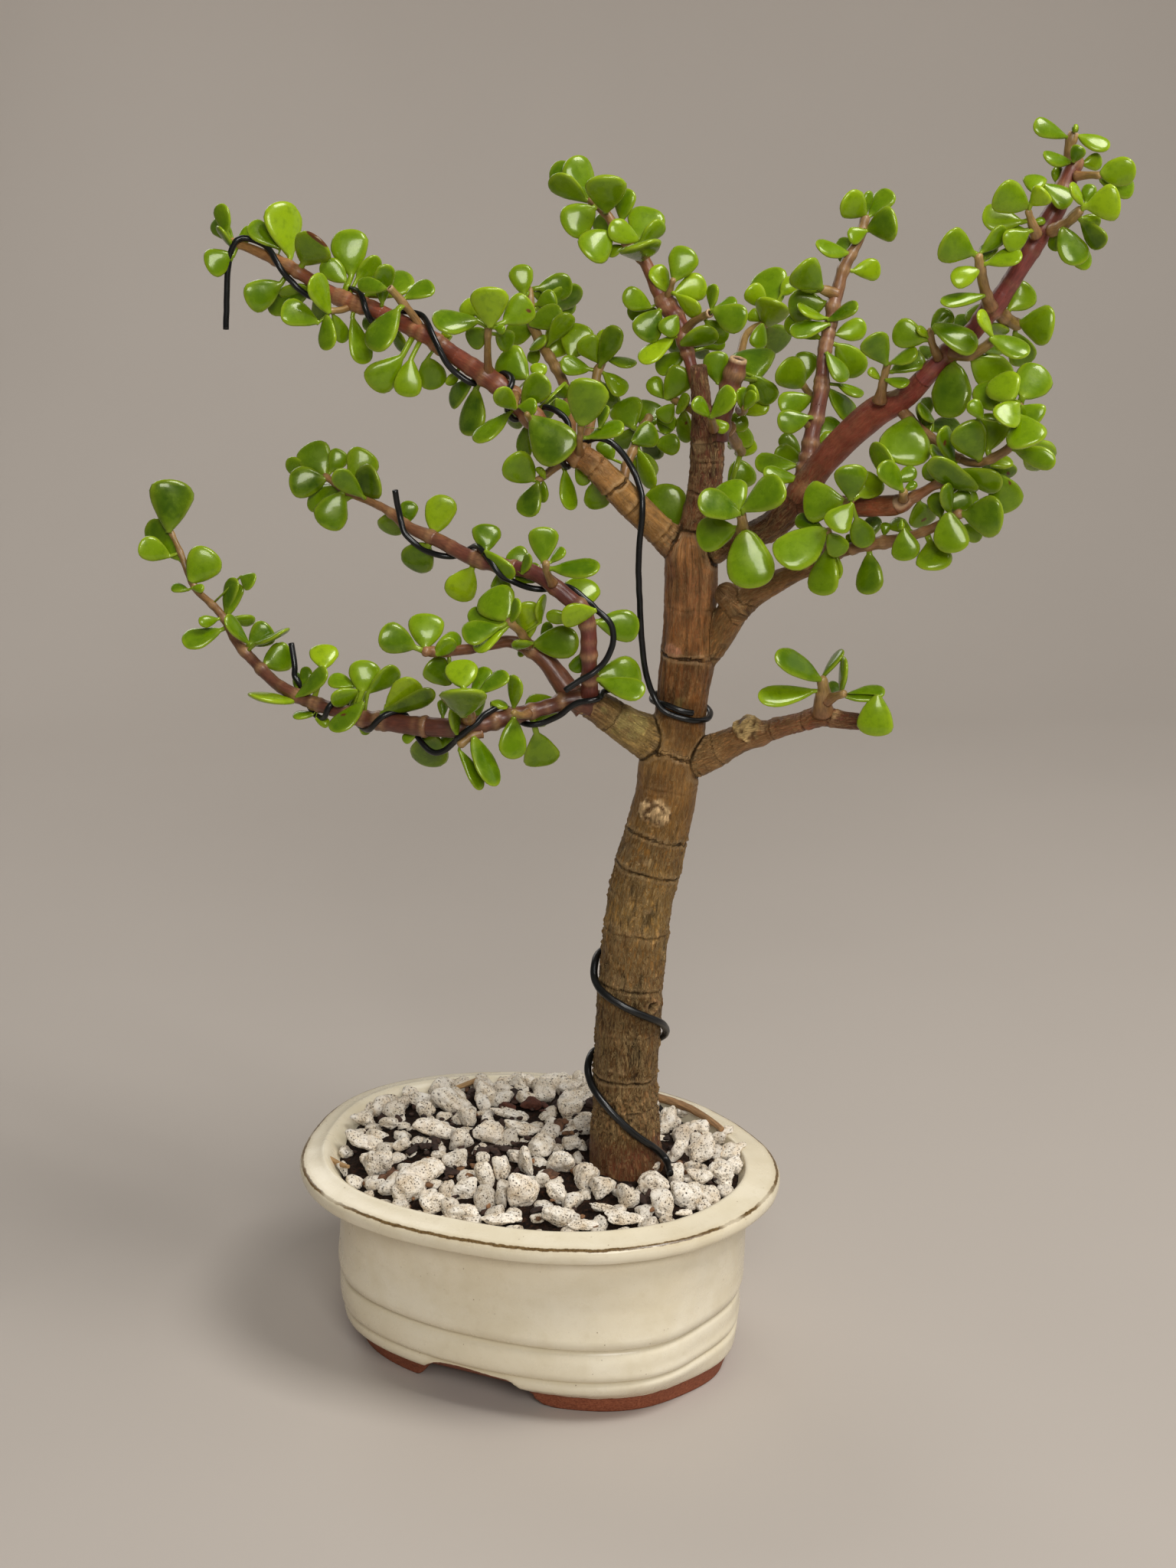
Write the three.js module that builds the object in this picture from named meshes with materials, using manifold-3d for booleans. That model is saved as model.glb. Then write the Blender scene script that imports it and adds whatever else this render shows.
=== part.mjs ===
// Dwarf jade bonsai (Portulacaria afra) in an oval glazed pot.
// Millimetres, +Z up, +X along the pot's long axis, origin on the ground plane
// below the middle of the whole plant's bounding box.
import * as THREE from 'three';
import Module from 'manifold-3d';
import { mergeVertices } from 'three/addons/utils/BufferGeometryUtils.js';

const wasm = await Module();
wasm.setup();

// ------------------------------------------------------------ driving sizes
const POT_HALF_LENGTH = 77.5;      // rim, along X
const POT_HALF_WIDTH = 60.0;       // rim, along Y
const POT_HEIGHT = 66.0;
const FOOT_RECESS = 6.2;           // height of the hollow under the floor
const FLOOR_TOP = 10.0;            // inner floor of the pot
const DRAIN_RADIUS = 8.0;
const DRAIN_OFFSET = 28.0;         // drain holes at +X and -X
const ARCH_HEIGHT = 6.4;           // height of the foot arch inside
const ARCH_IN = 39.5;              // where it starts to slant up, along Y
const ARCH_SLANT = 0.8;
const ARCH = [[-22.0, 0.8], [-19.0, 4.2], [-13.0, 11.8], [-8.0, 14.2], [0.0, 15.0],
  [9.0, 13.7], [15.5, 13.0], [17.6, 9.6], [18.2, 4.0], [20.0, 0.8]]; // its outline on the outside, [x, z]
const SCREEN_SIDE = 24.0;
const SCREEN_THICK = 1.2;
const GAP = 0.3;                   // clearance kept between neighbours
const WIRE_RADIUS = { wire_trunk: 1.15, wire_upper: 0.9, wire_middle_left: 0.9, wire_lower_left: 0.9 };
const GRAVEL_EDGE = 63.8;          // top of the gravel at the rim
const GRAVEL_RISE = 8.7;          // mound above the edge
const GRAVEL_DEPTH = 7.5;
const RIM_RINGS = 34;              // segments round the pot

// ------------------------------------------------------------ tables
// TRUNK and the stems: [x, y, z, radius] along each axis line, from the pot's centre.
// Leaves: [stem point xyz, leaf base xyz, tip xyz, face normal xyz, width, thickness].
// Wires: centre lines.
const TRUNK = [[32.09,0.53,41,12.2],[32.7,0.58,62.72,12.23],[32.55,0.51,87.57,9.85],[32.72,0.59,97.87,9.81],[35.02,1.73,130.73,9.79],[37.45,4.05,155.01,9.82],[39.88,5.82,166.96,9.89],[43.81,8.88,185.79,9.14],[44.73,9.9,195.14,9.11],[47.54,12.41,211.29,7.48],[49.51,13.38,227.54,8.1],[50,13.62,236.74,7.73],[50.14,14.81,253.59,7.91],[49.98,14.73,258.79,7.56]];
const WIRES = {
  wire_trunk: [[50.6,-6.42,70.01],[47.6,-1.54,70.97],[45.38,-1.26,73.45],[43.8,-4.29,76.92],[41.55,-7.51,80.44],[38.91,-9.5,83.58],[35.99,-10.54,86.65],[32.96,-10.88,89.7],[29.81,-10.47,92.55],[26.43,-8.93,95.12],[23.82,-6.52,97.43],[22.27,-4.16,99.75],[21.71,-1.01,101.85],[21.98,3.57,102.45],[24.46,8.27,102.05],[28.66,11.27,102.32],[33.66,12.18,103.65],[38.55,10.99,105.73],[42.09,8.66,108.27],[43.31,7.53,109.64],[44.72,4.99,112.49],[45.32,1.71,115.3],[44.99,-2.15,117.89],[43.3,-5.64,120.2],[40.66,-8.15,122.32],[37.49,-9.56,124.23],[34.21,-9.88,125.84],[30.9,-9.17,127.27],[27.67,-7.23,128.68],[25.43,-4.62,130.36],[24.68,-2.92,132.73],[24.14,-0.27,134.58],[24.1,3.85,135.39],[25.48,7.76,135.92],[28.33,11.15,136.58],[32.12,13.32,137.42],[35.76,14.43,138.34]],
  wire_upper: [[54.23,6.46,213.11],[50.99,4.25,214.23],[47.21,3.73,215.48],[42.58,5.52,215.59],[39.8,9.04,215.57],[39.09,13.32,215.76],[40.9,18.06,215.16],[45.03,20.97,213.78],[49.81,21.06,212.28],[53.91,18.55,211.13],[56.03,14.49,210.41],[55.98,10.09,210.25],[53.94,6.33,210.91],[50.62,4.16,212.1],[47.06,3.15,213.41],[44.09,2.6,216.8],[42.4,2.62,220.24],[41.31,2.34,224.06],[40.62,2.13,228.4],[40.17,1.98,233.3],[39.9,1.93,238.46],[39.75,1.93,243.73],[39.55,1.89,249.31],[39.42,1.9,255.14],[39.62,2.08,260.95],[40.12,2.32,266.51],[40.58,2.6,271.59],[40.08,3.72,276.02],[38.34,5.34,279.81],[36.22,6.17,283.56],[34.11,5.67,287.19],[31.86,4.67,290.11],[29.11,3.61,292.18],[25.97,2.72,292.56],[22.43,3.57,291.42],[18.88,3.92,286.83],[18.47,0.59,284.57],[18.59,-3.04,285.76],[19.08,-4.99,289.49],[19.96,-3.52,293.43],[19.31,-0.52,296.06],[17.23,0.58,298.77],[13.91,0.43,300.8],[9.82,1.27,301.07],[7.69,2.15,300.47],[4.04,0.72,298.21],[2.81,-3.41,298.14],[2.66,-6.13,301.15],[2.81,-6.68,305.67],[3.33,-3.89,308.68],[0.92,-1.08,310.18],[-2.92,0.62,310.65],[-6.89,0.69,309.2],[-9.45,-2.15,307.64],[-11.38,-4.33,308.73],[-13.97,-5.37,310.85],[-16.26,-6.89,313.92],[-18.25,-7.39,317.84],[-20.48,-6.72,321.52],[-23.11,-4.82,324.47],[-26.28,-2.67,326.67],[-30.08,-2.27,327.52],[-33.93,-1.04,327.35],[-37.4,-0.99,325.14],[-39.12,-4.17,323.37],[-40.18,-7.43,325.02],[-41.26,-8.78,328.62],[-43.25,-7.5,332.15],[-46.86,-4.92,333.75],[-51.13,-3.03,333.74],[-55.28,-2.69,332.14],[-58.13,-4.91,331.03],[-60.57,-7,331.73],[-63.73,-7.59,333.42],[-66.35,-8.41,336.05],[-68.4,-9.97,339.16],[-70.61,-10.03,342.49],[-73.39,-8.6,345.23],[-76.57,-7.48,346.89],[-79.73,-7.49,348.02],[-82.51,-9.03,348.59],[-85.02,-10.58,346.07],[-86.42,-10.61,342.71],[-87.05,-11.09,338.48],[-87.42,-11.57,333.3],[-87.72,-12.04,327.71],[-88.02,-12.53,322.34]],
  wire_middle_left: [[-30.4,-15.3,277.67],[-30.17,-14.82,273.65],[-29.41,-14.74,269.32],[-27.57,-15.55,265.13],[-24.55,-14.78,262.04],[-20.89,-14.58,260.06],[-16.81,-14.46,259.09],[-13.32,-12.63,258.75],[-11.52,-11.66,259.33],[-7.54,-11.85,261.43],[-3.82,-14.87,262.5],[-0.17,-17.65,261.51],[3.26,-19.43,258.91],[6.16,-18.69,255.14],[9.8,-17.08,253.15],[13.97,-16.61,251.97],[17.31,-14.55,251.51],[20.97,-12.45,252.27],[25.18,-11.96,251.49],[28.92,-11.47,248.75],[32.46,-11.71,245.91],[34.07,-11.72,244.78],[36.5,-11.22,242.16],[37.32,-11.24,238.21],[36.54,-11.97,234.09],[34.56,-13.34,230.54],[31.98,-15.32,227.87],[28.71,-17.12,225.85],[25.4,-19.16,223.4]],
  wire_lower_left: [[33.74,-0.97,220.25],[31.63,-4.54,220.5],[31.56,-9.62,219.44],[27.33,-12.51,218.74],[23.75,-13.88,216.7],[20.26,-14.17,213.96],[16.75,-14.75,212.23],[13.46,-16.26,211.42],[9.81,-16.76,211.76],[8.08,-16.63,212.57],[5.77,-17.81,215.75],[5.09,-22.01,217.38],[3.47,-25.65,216.4],[1.69,-28.79,214.08],[-1.58,-30.78,211.24],[-5.19,-30.04,208.14],[-8.51,-29.63,205.22],[-11.8,-30.26,203.9],[-15.17,-30.48,205.56],[-18.82,-29.23,208.56],[-21.76,-28.13,212.46],[-23.86,-31.56,215.45],[-26.82,-34.45,214.41],[-30.09,-34.96,211.1],[-33.97,-32.55,209.37],[-38,-30.43,210.29],[-41.18,-29.01,212.94],[-42.03,-29.24,214.87],[-43.52,-32.09,216.79],[-45.36,-34.56,214.94],[-47.63,-33.35,211.88],[-50.79,-31.99,211.45],[-54.31,-30.18,213.11],[-56.91,-28.34,216.23],[-58.24,-29.11,219.86],[-59.83,-29.39,222.23]],
};
const GROWTH = {
  branch_upper_left: { stems: [
    [[50.75,15.11,254.71,4.45],[45.83,12.67,261.15,4.44],[40.36,8.85,268.22,4.42],[24.87,1.17,286.12,3.73],[22.23,0.42,287.75,3.51]],
  ], leaves: [
  ] },
  shoot_upper_left_inner: { stems: [
    [[22.23,0.42,287.75,3.51],[12.9,-1.42,294.29,3.07],[1.51,-2.6,304.95,2.97],[-4.23,-3.21,309.2,2.97],[-15.08,-3.57,315.47,2.54]],
    [[-4.08,-4.26,311.28,1.21],[-2.22,-7.8,316.26,1.09],[0.62,-11.97,324.66,0.97]],
    [[4.28,-4.58,304.63,1.53],[7.94,-11.69,302.62,0.97]],
    [[10.1,-3.92,297.36,1.31],[11.92,-11.95,300.86,0.86]],
    [[17.11,-0.45,286.65,1.54],[10.46,-3.74,280.86,0.88]],
    [[23.26,-1.86,288.9,1.31],[25.09,-5.42,292.1,0.87],[27.37,-8.75,298.47,0.97]],
  ], leaves: [
    [0.6,-12,324.7,-1.8,-13.2,326.6,-12.3,-21.3,327,0.46,-0.56,0.7,8.9,2.1],
    [0.6,-12,324.7,-2.6,-12.5,328.2,-7.8,-10.9,331.2,-0.01,-0.89,0.45,5.6,1.3],
    [0.6,-12,324.7,2.3,-14.1,324.9,3.6,-16.1,336.6,0.46,-0.86,-0.2,10.3,2.5],
    [0.6,-12,324.7,4.3,-10.1,325.8,10.3,-4.9,331.8,0.55,-0.82,0.17,8.6,2.1],
    [0.5,-11.8,324.2,-1.4,-10,324,-7.6,-8.5,319.9,-0.03,-0.95,-0.31,6.5,1.6],
    [0.1,-11.3,323,1.1,-8.5,322.6,2.9,-2.9,319.1,0.84,-0.46,-0.3,6.1,1.5],
    [0.6,-12,324.7,2.6,-12.1,324.7,5.6,-11.3,323.9,0.29,-0.95,0.15,2.6,0.6],
    [2.1,-2.5,304.4,5.7,1.5,309,-2.9,1.8,315.9,0.23,-0.92,0.32,10.1,2.4],
    [3.8,-2.4,302.8,8.5,2.2,308.5,8,4.1,313.3,0.44,-0.82,0.37,4.8,1.2],
    [-6,-3.3,310.2,-9.7,-1.7,306.4,-10.7,-5.5,292.8,-0.17,-0.95,0.27,9.4,2.3],
    [4.8,-2.3,301.9,7.4,-5.5,303.1,14.6,-4.2,310.8,0.27,-0.96,-0.1,7.9,1.9],
    [4.7,-2.3,302,7.2,-7.9,302.3,12.6,-6.5,302.6,0.25,-0.96,0.12,4.8,1.2],
    [4.7,-2.3,302,8.3,-11.5,302.2,7.3,-20.5,308.8,0.79,-0.42,-0.45,5.7,1.4],
    [4.4,-2.3,302.3,3.4,-6.1,300.2,-4.9,-13.2,292.8,0.06,-0.75,0.65,6.8,1.6],
    [7.8,-1.9,299.1,11,-8.4,299.9,22,-6.6,288.2,0.38,-0.9,0.22,13.1,2.5],
    [8.1,-1.9,298.8,15.6,5.2,307.8,13.2,8.3,302.9,0.24,-0.76,-0.61,5.3,1.3],
    [8.9,-1.8,298,13.1,3.6,303.5,15.7,6.4,297.8,0.8,-0.59,0.08,4.7,1.1],
    [8.6,-1.9,298.3,5.6,0.9,296.5,3.2,2,286.1,-0.24,-0.97,-0.05,5.5,1.3],
    [10.5,-3.7,280.9,9.5,-4.2,280.9,4.5,-10.3,288,0.7,-0.71,-0.11,9.3,2.2],
    [10.5,-3.7,280.9,11.3,-4.9,280.4,8.7,-8.6,270.9,0.03,-0.94,0.35,7.4,1.8],
    [11.3,-3.3,281.4,11.6,-2.1,280,10.5,-1.3,274,-0.29,-0.96,-0.07,4.1,1],
    [12.1,-2.9,281.9,13.1,-4,281.5,11.6,-5.7,285,-0.13,-0.87,-0.47,2.8,0.7],
    [16,-1,285.6,17.6,-0.2,283.6,19.8,-1.7,272.2,0.89,-0.39,0.22,6.3,1.5],
    [22.2,0.4,287.8,20.2,1.6,283.6,22.8,4.1,279.2,0.61,-0.79,-0.09,4,1],
    [22.2,0.4,287.8,24.4,4.8,279.6,24.4,8.1,271.2,0.49,-0.81,-0.32,7.5,1.8],
    [27.1,-8.4,297.8,28.1,-9.8,298,31.1,-11.3,311.7,0.39,-0.9,-0.19,11.2,2.5],
    [26.9,-8.1,297.3,31.2,-4.9,296.6,32,-2.9,303.2,-0.36,-0.88,0.31,5,1.2],
    [25.8,-6.5,294.2,27.8,-5.5,294,37.9,-2.9,297.5,-0.03,-0.76,0.65,5.9,1.4],
  ] },
  shoot_upper_left_middle: { stems: [
    [[-15.08,-3.57,315.47,2.54],[-23.55,-3.86,320.74,2.44],[-29.91,-3.67,323.42,2.44],[-38.76,-4.71,327.28,2.45]],
    [[-25.91,-2.8,321.46,1.33],[-26.85,-4.38,325.08,1.11],[-31.51,-11.16,335.11,1.1]],
  ], leaves: [
    [-29.4,-8.5,331.2,-29.7,-6.4,331.7,-22.8,-0.9,335.1,0.23,-0.7,0.68,6.6,1.6],
    [-29,-7.9,330.3,-29.1,-10.2,329.5,-35,-16.4,317.6,0.01,-0.89,0.46,10.3,2.5],
    [-27.8,-3.7,322.5,-30.3,-7.2,315.9,-38.6,-13.2,307.1,0.62,-0.78,-0.06,9.5,2.3],
    [-25.2,-3.8,321.5,-27.7,-7.3,314.9,-28,-10,304,0.46,-0.86,0.2,8,1.9],
    [-20.6,-3.8,318.8,-23.6,-5.2,314.8,-22.8,-2.8,305.7,0.54,-0.82,-0.17,8,1.9],
    [-18.9,-3.7,317.7,-17.6,-0.8,320.6,-21,-1.1,321.4,0.12,-0.97,0.21,3.1,0.7],
  ] },
  shoot_upper_left_tip: { stems: [
    [[-38.76,-4.71,327.28,2.45],[-55.16,-6.14,333.05,2.24],[-68.55,-7.19,340.65,1.8],[-75.12,-7.1,343.23,1.58],[-86.66,-8.36,347.42,1.13]],
    [[-47.72,-5.8,329.41,1.01],[-48.98,-9.77,328.42,1],[-50.7,-12.86,328.44,0.89]],
  ], leaves: [
    [-65.2,-6.8,338.8,-63.1,-6.9,341.3,-54.2,-11.3,349.9,0.1,-0.84,-0.54,11.2,2.5],
    [-51.8,-6,331.8,-49.9,-5,336.1,-57,-6.5,341.4,0.4,-0.87,0.3,6.3,1.5],
    [-50.9,-5.9,331.5,-49.8,-2.1,337.2,-50.9,0.6,350.8,0.52,-0.83,0.2,10.5,2.5],
    [-49.2,-5.9,330.9,-47.6,-2.8,336.8,-42.4,1.8,342.7,0.76,-0.62,-0.19,6.3,1.5],
    [-44.6,-5.4,329.4,-44.2,-4.1,332,-32.9,4.9,336.6,0.26,-0.69,0.68,10,2.4],
    [-50.7,-12.9,328.4,-52.8,-16.1,325.2,-61.1,-22.9,329.8,0.7,-0.64,0.32,8.3,2],
    [-50.7,-12.9,328.4,-49.9,-14.7,327.7,-52.7,-18.9,339.1,0.95,-0.28,0.13,8.3,2],
    [-50.7,-12.9,328.4,-50.7,-15.1,327.6,-49.8,-17,317.5,-0.12,-0.98,0.18,6.4,1.5],
    [-46.4,-5.6,329.9,-47.1,-7.1,326.5,-43.8,-8.7,312.6,0.91,-0.32,0.25,7.5,1.8],
    [-86.7,-8.4,347.4,-87.7,-8.9,350.1,-90.1,-8.1,358.4,-0.09,-0.99,0.07,5.7,1.4],
    [-85.3,-8.2,347,-85.3,-9.4,345.5,-88.4,-12.8,352.3,-0.48,-0.68,-0.56,5.9,1.4],
    [-84.6,-8.2,346.8,-85.3,-9.6,343.8,-92.1,-15,341,0.6,-0.79,0.07,8.1,2],
    [-72.4,-7.1,342.2,-70.9,-6.4,345.2,-79.9,-8.2,352.7,0.63,-0.44,0.64,6.8,1.6],
    [-68.5,-7.2,340.7,-68,-5.8,342.8,-72.8,-4.4,358.4,0.87,-0.4,0.3,11.8,2.5],
    [-67.4,-7.1,340,-69.5,-9.2,335.7,-77.7,-16,330.4,0.59,-0.8,0.1,9,2.2],
    [-85.4,-8.2,347,-86.5,-6.7,346.9,-82.5,-3.3,350.7,0.3,-0.84,0.44,4.5,1.1],
  ] },
  shoot_back_left: { stems: [
    [[17.36,4.14,289.31,1.77],[9.01,20.09,301.33,1.58],[5.91,23.02,305.81,1.58],[-3.81,28.25,316.22,1.6],[-6.9,30.06,321.15,1.6],[-9.16,32.29,326.54,1.38],[-10.41,35.02,331.24,0.92]],
    [[20.7,5.8,288.12,1.77],[17.39,19.78,299.43,1.35],[16.17,25.88,308.94,1.35],[16.77,28.4,311.36,0.9]],
  ], leaves: [
    [-10,34,329.5,-10.5,31.5,329.7,-12.1,32.8,338.8,0.44,-0.87,0.21,7.1,1.7],
    [-10.4,35,331.2,-8.1,36.1,331.6,0,42.5,332.1,0.61,-0.79,0.09,8,1.9],
    [-9.3,32.5,327,-7.6,33.4,326.9,-1.4,34.9,329.1,0.25,-0.97,0.01,6,1.4],
    [-7.1,30.3,321.6,-7.4,27.6,321.6,3.1,30.3,324.7,0.18,-0.96,0.23,7.7,1.9],
    [-3.6,28.2,316.1,-5.7,24.9,314.3,-0.4,26.1,318.1,-0.26,-0.75,0.6,4.6,1.1],
    [-6.8,30,320.9,-7.2,32.1,321,-16,29.9,317.6,0.25,-0.97,0.01,6.9,1.7],
    [-9.8,33.8,329.1,-14,31.7,329.2,-9.4,32.9,330.5,-0.03,-0.69,0.73,3.4,0.8],
    [0.1,26.4,312.3,-2.2,29.8,311.6,2,36.7,319.6,0.59,-0.74,0.33,10.5,2.5],
    [2.4,25.1,309.8,6.1,28.1,312,6.9,33.2,321.4,0.49,-0.78,0.39,10,2.4],
    [16.6,27.6,310.6,16.5,26.8,310.9,13.1,22.9,318.9,0.56,-0.81,-0.14,7.2,1.7],
    [16.8,28.4,311.4,16.2,28.1,312.9,18,32.6,319.7,0.52,-0.77,0.37,7.7,1.8],
    [16.8,28.4,311.4,17.6,28.8,312.2,26.4,31.1,310.7,0.25,-0.32,0.91,6.4,1.5],
    [16.2,25.9,308.9,14,24.8,309.4,6.9,19.3,311,0.59,-0.62,0.52,6.2,1.5],
    [16.2,25.8,308.8,17.4,26.4,308.5,24.2,27.6,302.3,0.6,-0.61,0.53,6.5,1.6],
  ] },
  shoot_upper_left_crotch: { stems: [
    [[30.42,10.62,276.75,1.55],[29.16,16.69,282.46,1.45],[29.56,21.35,287.4,1.35],[31.61,27.95,295.56,1.13]],
  ], leaves: [
    [30.3,24.8,291.7,27.6,25.7,292.3,22.4,30.3,300.1,0.19,-0.78,0.59,9.9,2.4],
    [30.6,25.6,292.7,29.4,29.4,291.9,28.6,36.8,298.6,0.46,-0.57,0.68,9.5,2.3],
    [29.7,22.1,288.3,29.4,19.7,289.2,35.5,24.6,292.4,0.55,-0.81,0.21,7.6,1.8],
    [30.1,23.8,290.4,35.4,24.2,288.4,42.4,26,288,0.26,-0.95,0.16,6.1,1.5],
    [29.5,20.9,286.9,31.3,22.9,285.7,30.6,28.4,277.6,0.49,-0.7,-0.52,8.1,1.9],
    [30.4,10.6,276.7,43.6,20.5,263.5,36.5,20.4,276.6,0.39,-0.9,0.2,12.1,2.5],
    [29.2,17.1,282.9,24.6,17.1,284.4,21.1,16.8,289.9,0.39,-0.9,0.21,5.4,1.3],
    [31,26.6,293.8,35.2,30.8,290.1,35.4,32.7,296.2,0.41,-0.87,0.25,5.9,1.4],
    [31.6,27.9,295.6,38.8,32.6,290.7,39.9,34.2,295.1,0.42,-0.88,0.22,3.6,0.9],
  ] },
  branch_centre: { stems: [
    [[48.96,15.34,255.68,4.46],[49.8,15.76,260.85,4.67],[50.64,16.17,265.77,4.22],[51.88,17.91,272.26,4.43],[53.32,18.62,278.9,4.75],[53.99,18.95,291.03,4.95],[54.02,17.85,295.56,4.38]],
    [[54.01,17.84,293.37,3.73],[53.65,16.55,297.89,3.06],[53.38,14.18,312.64,2.38]],
  ], leaves: [
  ] },
  shoot_centre_outer: { stems: [
    [[52.06,20.23,296.7,1.98],[48.17,24.99,305.39,1.88],[45.44,26.99,311.65,1.77],[44.08,27.43,315.29,1.88],[43.31,27.05,318.58,2.1],[42.35,27.69,321.77,2.21],[40.19,27.74,325.2,2.65],[38.44,26.87,327.85,2.76],[37.08,26.75,330,2.43]],
    [[43.33,27.06,320.54,1.32],[46.93,25.5,323.59,1.21],[53.63,22.12,326.61,1.09]],
    [[50.49,20.57,298.35,1.32],[44.34,25.33,299.71,1.11],[39.75,27.52,301.05,1]],
  ], leaves: [
    [38.4,26.9,327.9,37.2,24.1,327,32.9,19.7,319.1,0.48,-0.85,0.21,8.8,2.1],
    [37.3,26.8,329.6,33.9,25.1,327.5,27.8,20,332.4,0.69,-0.71,0.12,6.3,1.5],
    [40.4,27.7,324.8,42.6,24.5,325.5,39.2,21.3,320.6,0.49,-0.84,0.21,6.2,1.5],
    [43,27.3,319.7,41.4,24.3,319.5,33.7,17.7,312.6,0.05,-0.75,0.66,6.6,1.6],
    [43.6,27.2,317.4,44.3,21.9,317.6,55.1,24.7,321,0.37,-0.74,-0.56,6.9,1.6],
    [53.6,22.1,326.6,53.9,22.7,327.4,54.3,24.5,334.5,-0.46,-0.85,0.25,5.3,1.3],
    [53.6,22.1,326.6,54.8,21.6,327.5,64.3,24,324.3,0.28,-0.95,0.13,8.2,2],
    [53.6,22.1,326.6,54.8,23.8,328,59.6,27.6,329.7,0.16,-0.56,0.81,4.4,1],
    [51,23.6,325.5,51.3,24.9,324,55.7,28.9,318,0.57,-0.81,-0.12,6.1,1.5],
    [44.3,27.3,314.6,42.4,30.1,314.1,34.2,28.2,309.2,0.01,-0.94,0.35,6.7,1.6],
    [44.3,27.4,314.7,47.1,32.1,315.5,52,36,318.5,0.54,-0.82,0.19,5.8,1.4],
    [39.7,27.5,301,37.8,25.4,301.2,43.6,26.8,310.5,0.3,-0.95,-0.05,8,1.9],
    [39.7,27.5,301,36.9,27.2,301.4,32.8,26.8,307.3,0.54,-0.78,0.32,5.1,1.2],
    [43.1,25.9,300.1,42.5,23.4,297.5,46.1,23.7,303.3,-0.5,-0.79,0.34,4.7,1.1],
    [40.5,27.2,300.8,40,26.9,299.8,35.9,26.2,295.3,0.24,-0.97,-0.06,5.4,1.3],
  ] },
  shoot_centre_tip: { stems: [
    [[37.08,26.75,330,2.43],[31.43,26.74,340.52,1.76],[25.34,25.96,346.55,1.32],[20.26,25.67,353.41,1.32],[15.8,23.46,357.59,0.88]],
    [[37.67,26.49,329.6,1.1],[40.31,24.45,332.4,0.77],[41.94,23.02,335.54,0.76]],
  ], leaves: [
    [27.8,26.4,344.2,29.6,27.2,346.1,22.6,21.6,350.7,0.71,-0.63,0.31,6.9,1.7],
    [27.8,26.4,344.2,29.4,27.1,345.9,30.1,34.4,354.7,0.52,-0.68,0.52,10.6,2.5],
    [28.2,26.4,343.7,30.3,26.3,345.5,35.9,31.1,350.8,0.78,-0.51,-0.37,6.1,1.5],
    [30.7,26.7,341.3,32.3,22.7,341.4,36.9,11.4,347.3,0.28,-0.35,-0.89,11.8,2.5],
    [41.8,23.2,335.2,41.8,23.8,335.1,44.4,27.5,344.6,0.45,-0.87,0.21,8.3,2],
    [39.7,24.9,331.8,38.8,26.2,331.8,35,26.3,339.5,0.69,-0.63,0.35,6.1,1.5],
    [40.1,24.6,332.2,41.2,25.1,331.5,48.7,31,334.1,0.58,-0.8,0.14,7.9,1.9],
    [40.3,24.4,332.4,42.1,24.2,331.6,49.3,25.6,325.6,-0.11,-0.93,-0.35,6,1.4],
    [15.8,23.5,357.6,14.7,24.7,357.5,10.2,25.5,369.9,0.67,-0.69,0.29,9.4,2.3],
    [15.8,23.5,357.6,14.8,23,357.6,7,16.4,364.3,0.2,-0.81,-0.56,8.5,2],
    [19.8,25.4,353.9,21.3,23,354.4,24.1,16.7,365,0.37,-0.75,-0.54,11.4,2.5],
    [22.7,25.6,350.2,24,27.4,351.4,24.5,29.8,360.7,-0.02,-0.97,0.26,6.9,1.7],
    [17.5,24.3,356.2,17.4,23.1,355.5,10.7,17.4,349.4,0.56,-0.82,0.15,9.7,2.3],
    [23.3,25.7,349.4,22.6,23.1,348.4,17.7,14.8,342.9,0.71,-0.63,0.32,10.1,2.4],
    [26.3,26.1,345.6,25,26.6,344.6,20,25.3,342.7,0.09,-0.92,0.38,3.8,0.9],
  ] },
  shoot_centre_stub: { stems: [
    [[55.57,19.74,292.08,3.51],[63.47,19.18,314.09,2.6]],
    [[58.33,13.29,295.26,1.3],[60.32,6.46,299.68,0.86]],
    [[61.16,26.97,299.02,1.32],[65.36,19.01,299.76,0.98],[67.07,15.39,301.14,0.86]],
  ], leaves: [
    [60.2,7.2,299.2,60.7,5.6,299.4,56.9,2.1,304.8,0.84,-0.43,0.31,5,1.2],
    [60.2,7.2,299.2,61.1,4.6,299.5,67.7,5.6,307.9,-0.29,-0.9,0.33,7.2,1.7],
    [57,19.6,296.2,57.1,15.2,297.3,61.6,16.2,294.6,0.41,-0.84,0.35,3.8,0.9],
    [60.8,19.5,306.1,57,19.9,306.9,55.8,21.4,316,0.38,-0.9,0.2,7.2,1.7],
    [61.6,26.2,299.1,60.1,28.4,297.7,68,31,301.4,0.07,-0.87,0.49,6.4,1.5],
    [63.3,23,299.4,64.7,19.4,299.9,64.3,17.7,306.6,0.98,-0.2,0.01,4.7,1.1],
    [66.3,17.1,300.5,67.4,14.6,300.8,70.5,14.9,306,-0.2,-0.97,0.16,4.2,1],
    [67.1,15.4,301.1,70.4,17,302.8,67.6,16.9,307.4,-0.23,-0.96,-0.16,3.8,0.9],
    [62,19.4,309.6,66.1,24.8,307.5,61.8,34.9,315.2,0.2,-0.54,0.82,12.7,2.5],
    [62.5,19.3,311,64.8,25,309.2,70,29.8,301.2,0.24,-0.89,-0.38,7.1,1.7],
  ] },
  shoot_centre_back: { stems: [
    [[56.42,27.97,293.2,1.77],[55.41,40.86,284.64,1.36]],
  ], leaves: [
    [55.4,40.9,284.6,51.7,40.2,273.2,56.3,44.6,280.5,0.44,-0.86,0.25,8.7,2.1],
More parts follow.
